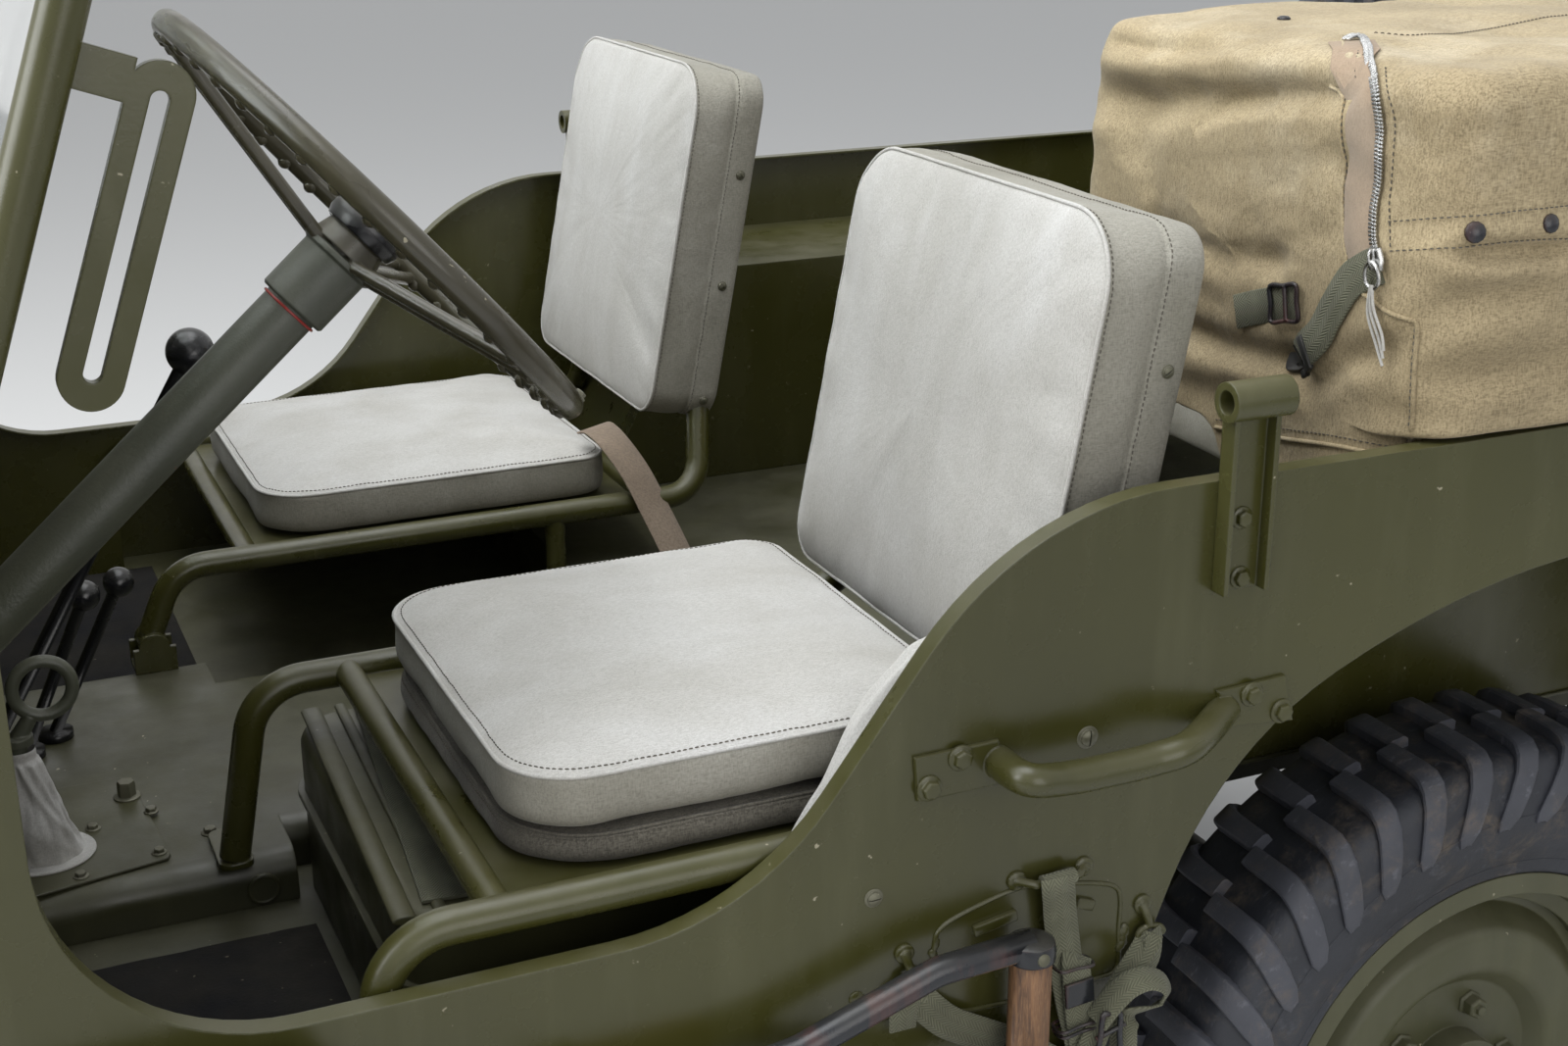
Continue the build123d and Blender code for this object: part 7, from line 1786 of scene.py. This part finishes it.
# wheel nuts
wheelNuts = {"circle": 69.0, "count": 5, "profile": (
    (0.0130, -0.001), (0.0130, 0.002), (0.0105, 0.0035), (0.0105, 0.0130), (0.0088, 0.0150), (0.0052, 0.0152),
    (0.0052, 0.0190), (0.0, 0.0200))}
nutShapes = {}
for hand in (-1, 1):
    nutBm = bmesh.new()
    addLathe(nutBm, zAxis * wheelNuts["circle"] / 1000, yAxis * hand, wheelNuts["profile"], 6)
    nutShapes[hand] = headShape("nutLeft" if hand < 0 else "nutRight", nutBm)
for end, side, station, hand in wheels:
    disc = nodeTree(f"wheel_{end}_{side}")
    place, _, _, _ = disc.ray_cast(row(station, hand * 900, wheelHigh + wheelNuts["circle"]), yAxis * -hand)
    runRing(end + side.title() + "Nuts", nutShapes[hand], wheelNuts["count"], 0.3,
        (row(station, 0, 0).x, place.y, wheelHigh / 1000), wheelPaint, f"{end}_{side}", 35)

# hood latches
hoodTree = nodeTree("hood", "cowl", "front_fenders", "grille")
for hand in (-1, 1):
    place, _, _, _ = hoodTree.ray_cast(row(250, hand * 900, 905), yAxis * -hand)
    if place is not None:
        latch, out = bmesh.new(), yAxis * hand
        addBlock(latch, place - zAxis * 0.002 + out * 0.004, (xAxis, zAxis, out), (0.026, 0.034, 0.008), 0.002)
        bend = ((-0.006, -0.030), (-0.007, -0.012), (0, -0.002), (0.007, -0.012), (0.006, -0.030))
        addTube(latch, smoothPath([place + out * 0.012 + Vector((dx, 0, dz)) for dx, dz in bend], 6), 0.0026, 8)
        addLathe(latch, place + out * 0.008 + Vector((-0.014, 0, -0.008)), xAxis, [(0.0045, 0), (0.0045, 0.028)], 12)
        makePiece("hoodLatchLeft" if hand < 0 else "hoodLatchRight", latch, olivePaint, "hood", 40)

# head lamps: a bezel and a fluted lens; tail lamps: a red glass
lampLook = {"station": -218.0, "y": 350.0, "z": 812.0, "radius": 92.0, "flutes": 17}


def makeLamps(look):
    bezel, lens, tail = bmesh.new(), bmesh.new(), bmesh.new()
    r, rings = look["radius"] / 1000, 10
    for hand in (-1, 1):
        centre = row(look["station"], hand * look["y"], look["z"])
        addLathe(bezel, centre, -xAxis, [(r * 1.0, -0.012), (r * 1.02, -0.002), (r * 1.0, 0.004), (r * 0.93, 0.007),
            (r * 0.90, 0.004), (r * 0.90, 0.0)], 64)
        verts = []
        for share in (k / rings for k in range(rings + 1)):
            ring = []
            for turn in circle(72 if share else 1):
                y, z = r * 0.905 * share * math.cos(turn), r * 0.905 * share * math.sin(turn)
                flute = 0.0007 * math.cos(y / r * look["flutes"] * math.pi)
                ring.append(lens.verts.new(centre + Vector((-(0.0022 + 0.007 * (1 - share ** 2) + flute), y, z))))
            verts.append(ring)
        joinRings(lens, verts, capped=False)
        addLathe(tail, row(2638.3, hand * 590, 566), xAxis,
            [(0.0255, -0.001), (0.0255, 0.002), (0.020, 0.0045), (0, 0.006)], 40)
    makePiece("lampBezels", bezel, olivePaint, "car", 40)
    makePiece("lampLenses", lens, lampChrome, "car", 60)
    makePiece("tailGlass", tail, lampRed, "car", 40)


makeLamps(lampLook)


# bolts in lines: tub seams, fenders, cowl, rear panel, bumper, spare wheel, seat brackets
def boltLine(kind, tree, starts, direction, size=1.0):
    for start in starts:
        place, normal, _, distance = tree.ray_cast(row(*start), direction)
        if place is not None and distance < 1.2:
            if normal.dot(direction) > 0:
                normal = -normal
            if normal.dot(direction) < -0.8:
                fasten(kind, "car", place, normal, size)


tub = nodeTree("side_panels", "rear_panel", "cowl", "wheelhouses", "floor_pan", "front_fenders", "grille")
for hand in (-1, 1):
    for places, size in (([(s, 975) for s in range(560, 800, 55)], 0.9), ([(560, z) for z in range(560, 960, 70)], 0.9),
            ([(s, 512) for s in range(600, 1800, 75)], 0.8),
            ([(2585, z) for z in range(560, 1000, 60)], 0.8)):
        boltLine("paintedRivet", tub, [(s, hand * 900, z) for s, z in places], yAxis * -hand, size)
    boltLine("paintedHex", tub, [(s, hand * 697, 1200) for s in range(-180, 420, 120)], -zAxis, 0.8)
for z in (980, 520):
    boltLine("paintedRivet", tub, [(3000, y, z) for y in range(-640, 660, 80)], -xAxis, 0.8)
boltLine("paintedHex", tub, [(-600, y, z) for y in (-430, 430) for z in range(520, 900, 90)], xAxis, 0.9)
boltLine("hex", nodeTree("front_bumper"), [(-900, y, z) for y in (-371, 371) for z in (480, 550)], xAxis, 1.5)
boltLine("hex", nodeTree("spare_wheel"), [(3000, 300 + 69 * math.sin(t + 0.4), 935 + 69 * math.cos(t + 0.4))
    for t in circle(5)], -xAxis, 1.7)
boltLine("hex", nodeTree("seat_brackets"), [(s, side * y, 700) for side in (-1, 1) for s in (1000, 1010)
    for y in (280, 660)], -zAxis, 0.9)


# dash: a panel of round instruments before the driver
def makeDials():
    dash = nodeTree("cowl")
    ring, face, marks = bmesh.new(), bmesh.new(), bmesh.new()
    for y, z, r in ((-110, 985, 0.03), (-38, 985, 0.03), (36, 985, 0.03), (108, 985, 0.03), (0, 920, 0.046)):
        place, normal, _, _ = dash.ray_cast(row(1000, y, z), -xAxis)
        if place is None or normal.x < 0.3:
            continue
        addLathe(ring, place, xAxis, [(r, -0.001), (r, 0.005), (r * 0.9, 0.0075), (r * 0.86, 0.005),
            (r * 0.86, 0.001)], 40)
        addLathe(face, place, xAxis, [(r * 0.88, -0.001), (r * 0.87, 0.0012), (0, 0.0013)], 32)
        hands = [(-130 + k * 32.5, 0.0016, 0.7, 0.14) for k in range(9)]
        hands.append((45, 0.0022, 0.2 * math.sqrt(2), 0.55))
        for degrees, lift, middle, long in hands:
            across, up = math.sin(math.radians(degrees)), math.cos(math.radians(degrees))
            addBlock(marks, place + Vector((lift, across * r * middle, up * r * middle)),
                (xAxis, Vector((0, up, -across)), Vector((0, across, up))), (0.0006, 0.0012, r * long))
    makePiece("dialRings", ring, toolEnamel, "car", 40)
    makePiece("dialFaces", face, blackKnob, "car", 40)
    makePiece("dialMarks", marks, seatCanvas, "car", 40)


makeDials()
print("stage 11: outside details made")

# pale cloth tucked between the driver's cushion and the body's lip
tuckLook = {"y": -694.0, "places": ((804, 890), (820, 855), (847, 808), (875, 752), (904, 706), (930, 674), (951, 650)),
    "half": 14.0, "thick": 5.0, "around": 40, "steps": 14}


def makeTuck(look):
    path = smoothPath([sightOnPlane(1, look["y"], *spot) for spot in look["places"]], look["steps"])
    bm = bmesh.new()
    last = len(path) - 1
    rings = []
    for i, point in enumerate(path):
        up = yAxis.cross((path[min(i + 1, last)] - path[max(i - 1, 0)]).normalized()).normalized()
        if up.z < 0:
            up = -up
        share = i / last
        close = min(1.0, 0.25 + share * 7, 0.2 + (1 - share) * 6)
        ring = []
        for turn in circle(look["around"]):
            a = math.cos(turn) * look["half"] / 1000 * close
            b = math.sin(turn) * look["thick"] / 1000 * close
            fold = fieldNoise.noise(Vector((a * 60, share * 2.0, 3.3)))
            fold += 0.6 * fieldNoise.noise(Vector((a * 150 + share * 1.5, share * 4.0, 9.1)))
            if b > -0.002:
                b += fold * 0.0055 * close
            sway = 0.002 * fieldNoise.noise(Vector((share * 7, 1.5, turn * 0.3)))
            ring.append(bm.verts.new(point + yAxis * (a + sway) + up * b))
        rings.append(ring)
    joinRings(bm, rings)
    tuck = makePiece("tuckedCloth", bm, seatCanvas, "car", 80)


makeTuck(tuckLook)

# lap belt falling off the passenger's cushion
beltPoints = ((1532, 300, 789), (1537, 285, 790), (1546, 262, 778), (1562, 238, 747), (1577, 215, 705),
    (1592, 192, 660), (1600, 174, 628), (1598, 155, 612.5), (1580, 128, 609.5), (1556, 104, 609.5))


def makeBelt(points):
    path = smoothPath([row(*p) for p in points], 8)
    first, last = Vector((0.82, 0.45, 0.05)), Vector((0.85, 0.35, -0.1))
    across = [first.lerp(last, i / (len(path) - 1)).normalized() for i in range(len(path))]
    bm = bmesh.new()
    mappedSweep(bm, path, strapSection(0.046, 0.0022), across)
    makePiece("lapBelt", bm, beltCloth, "passenger_seat", 60)


makeBelt(beltPoints)
makeFasteners()
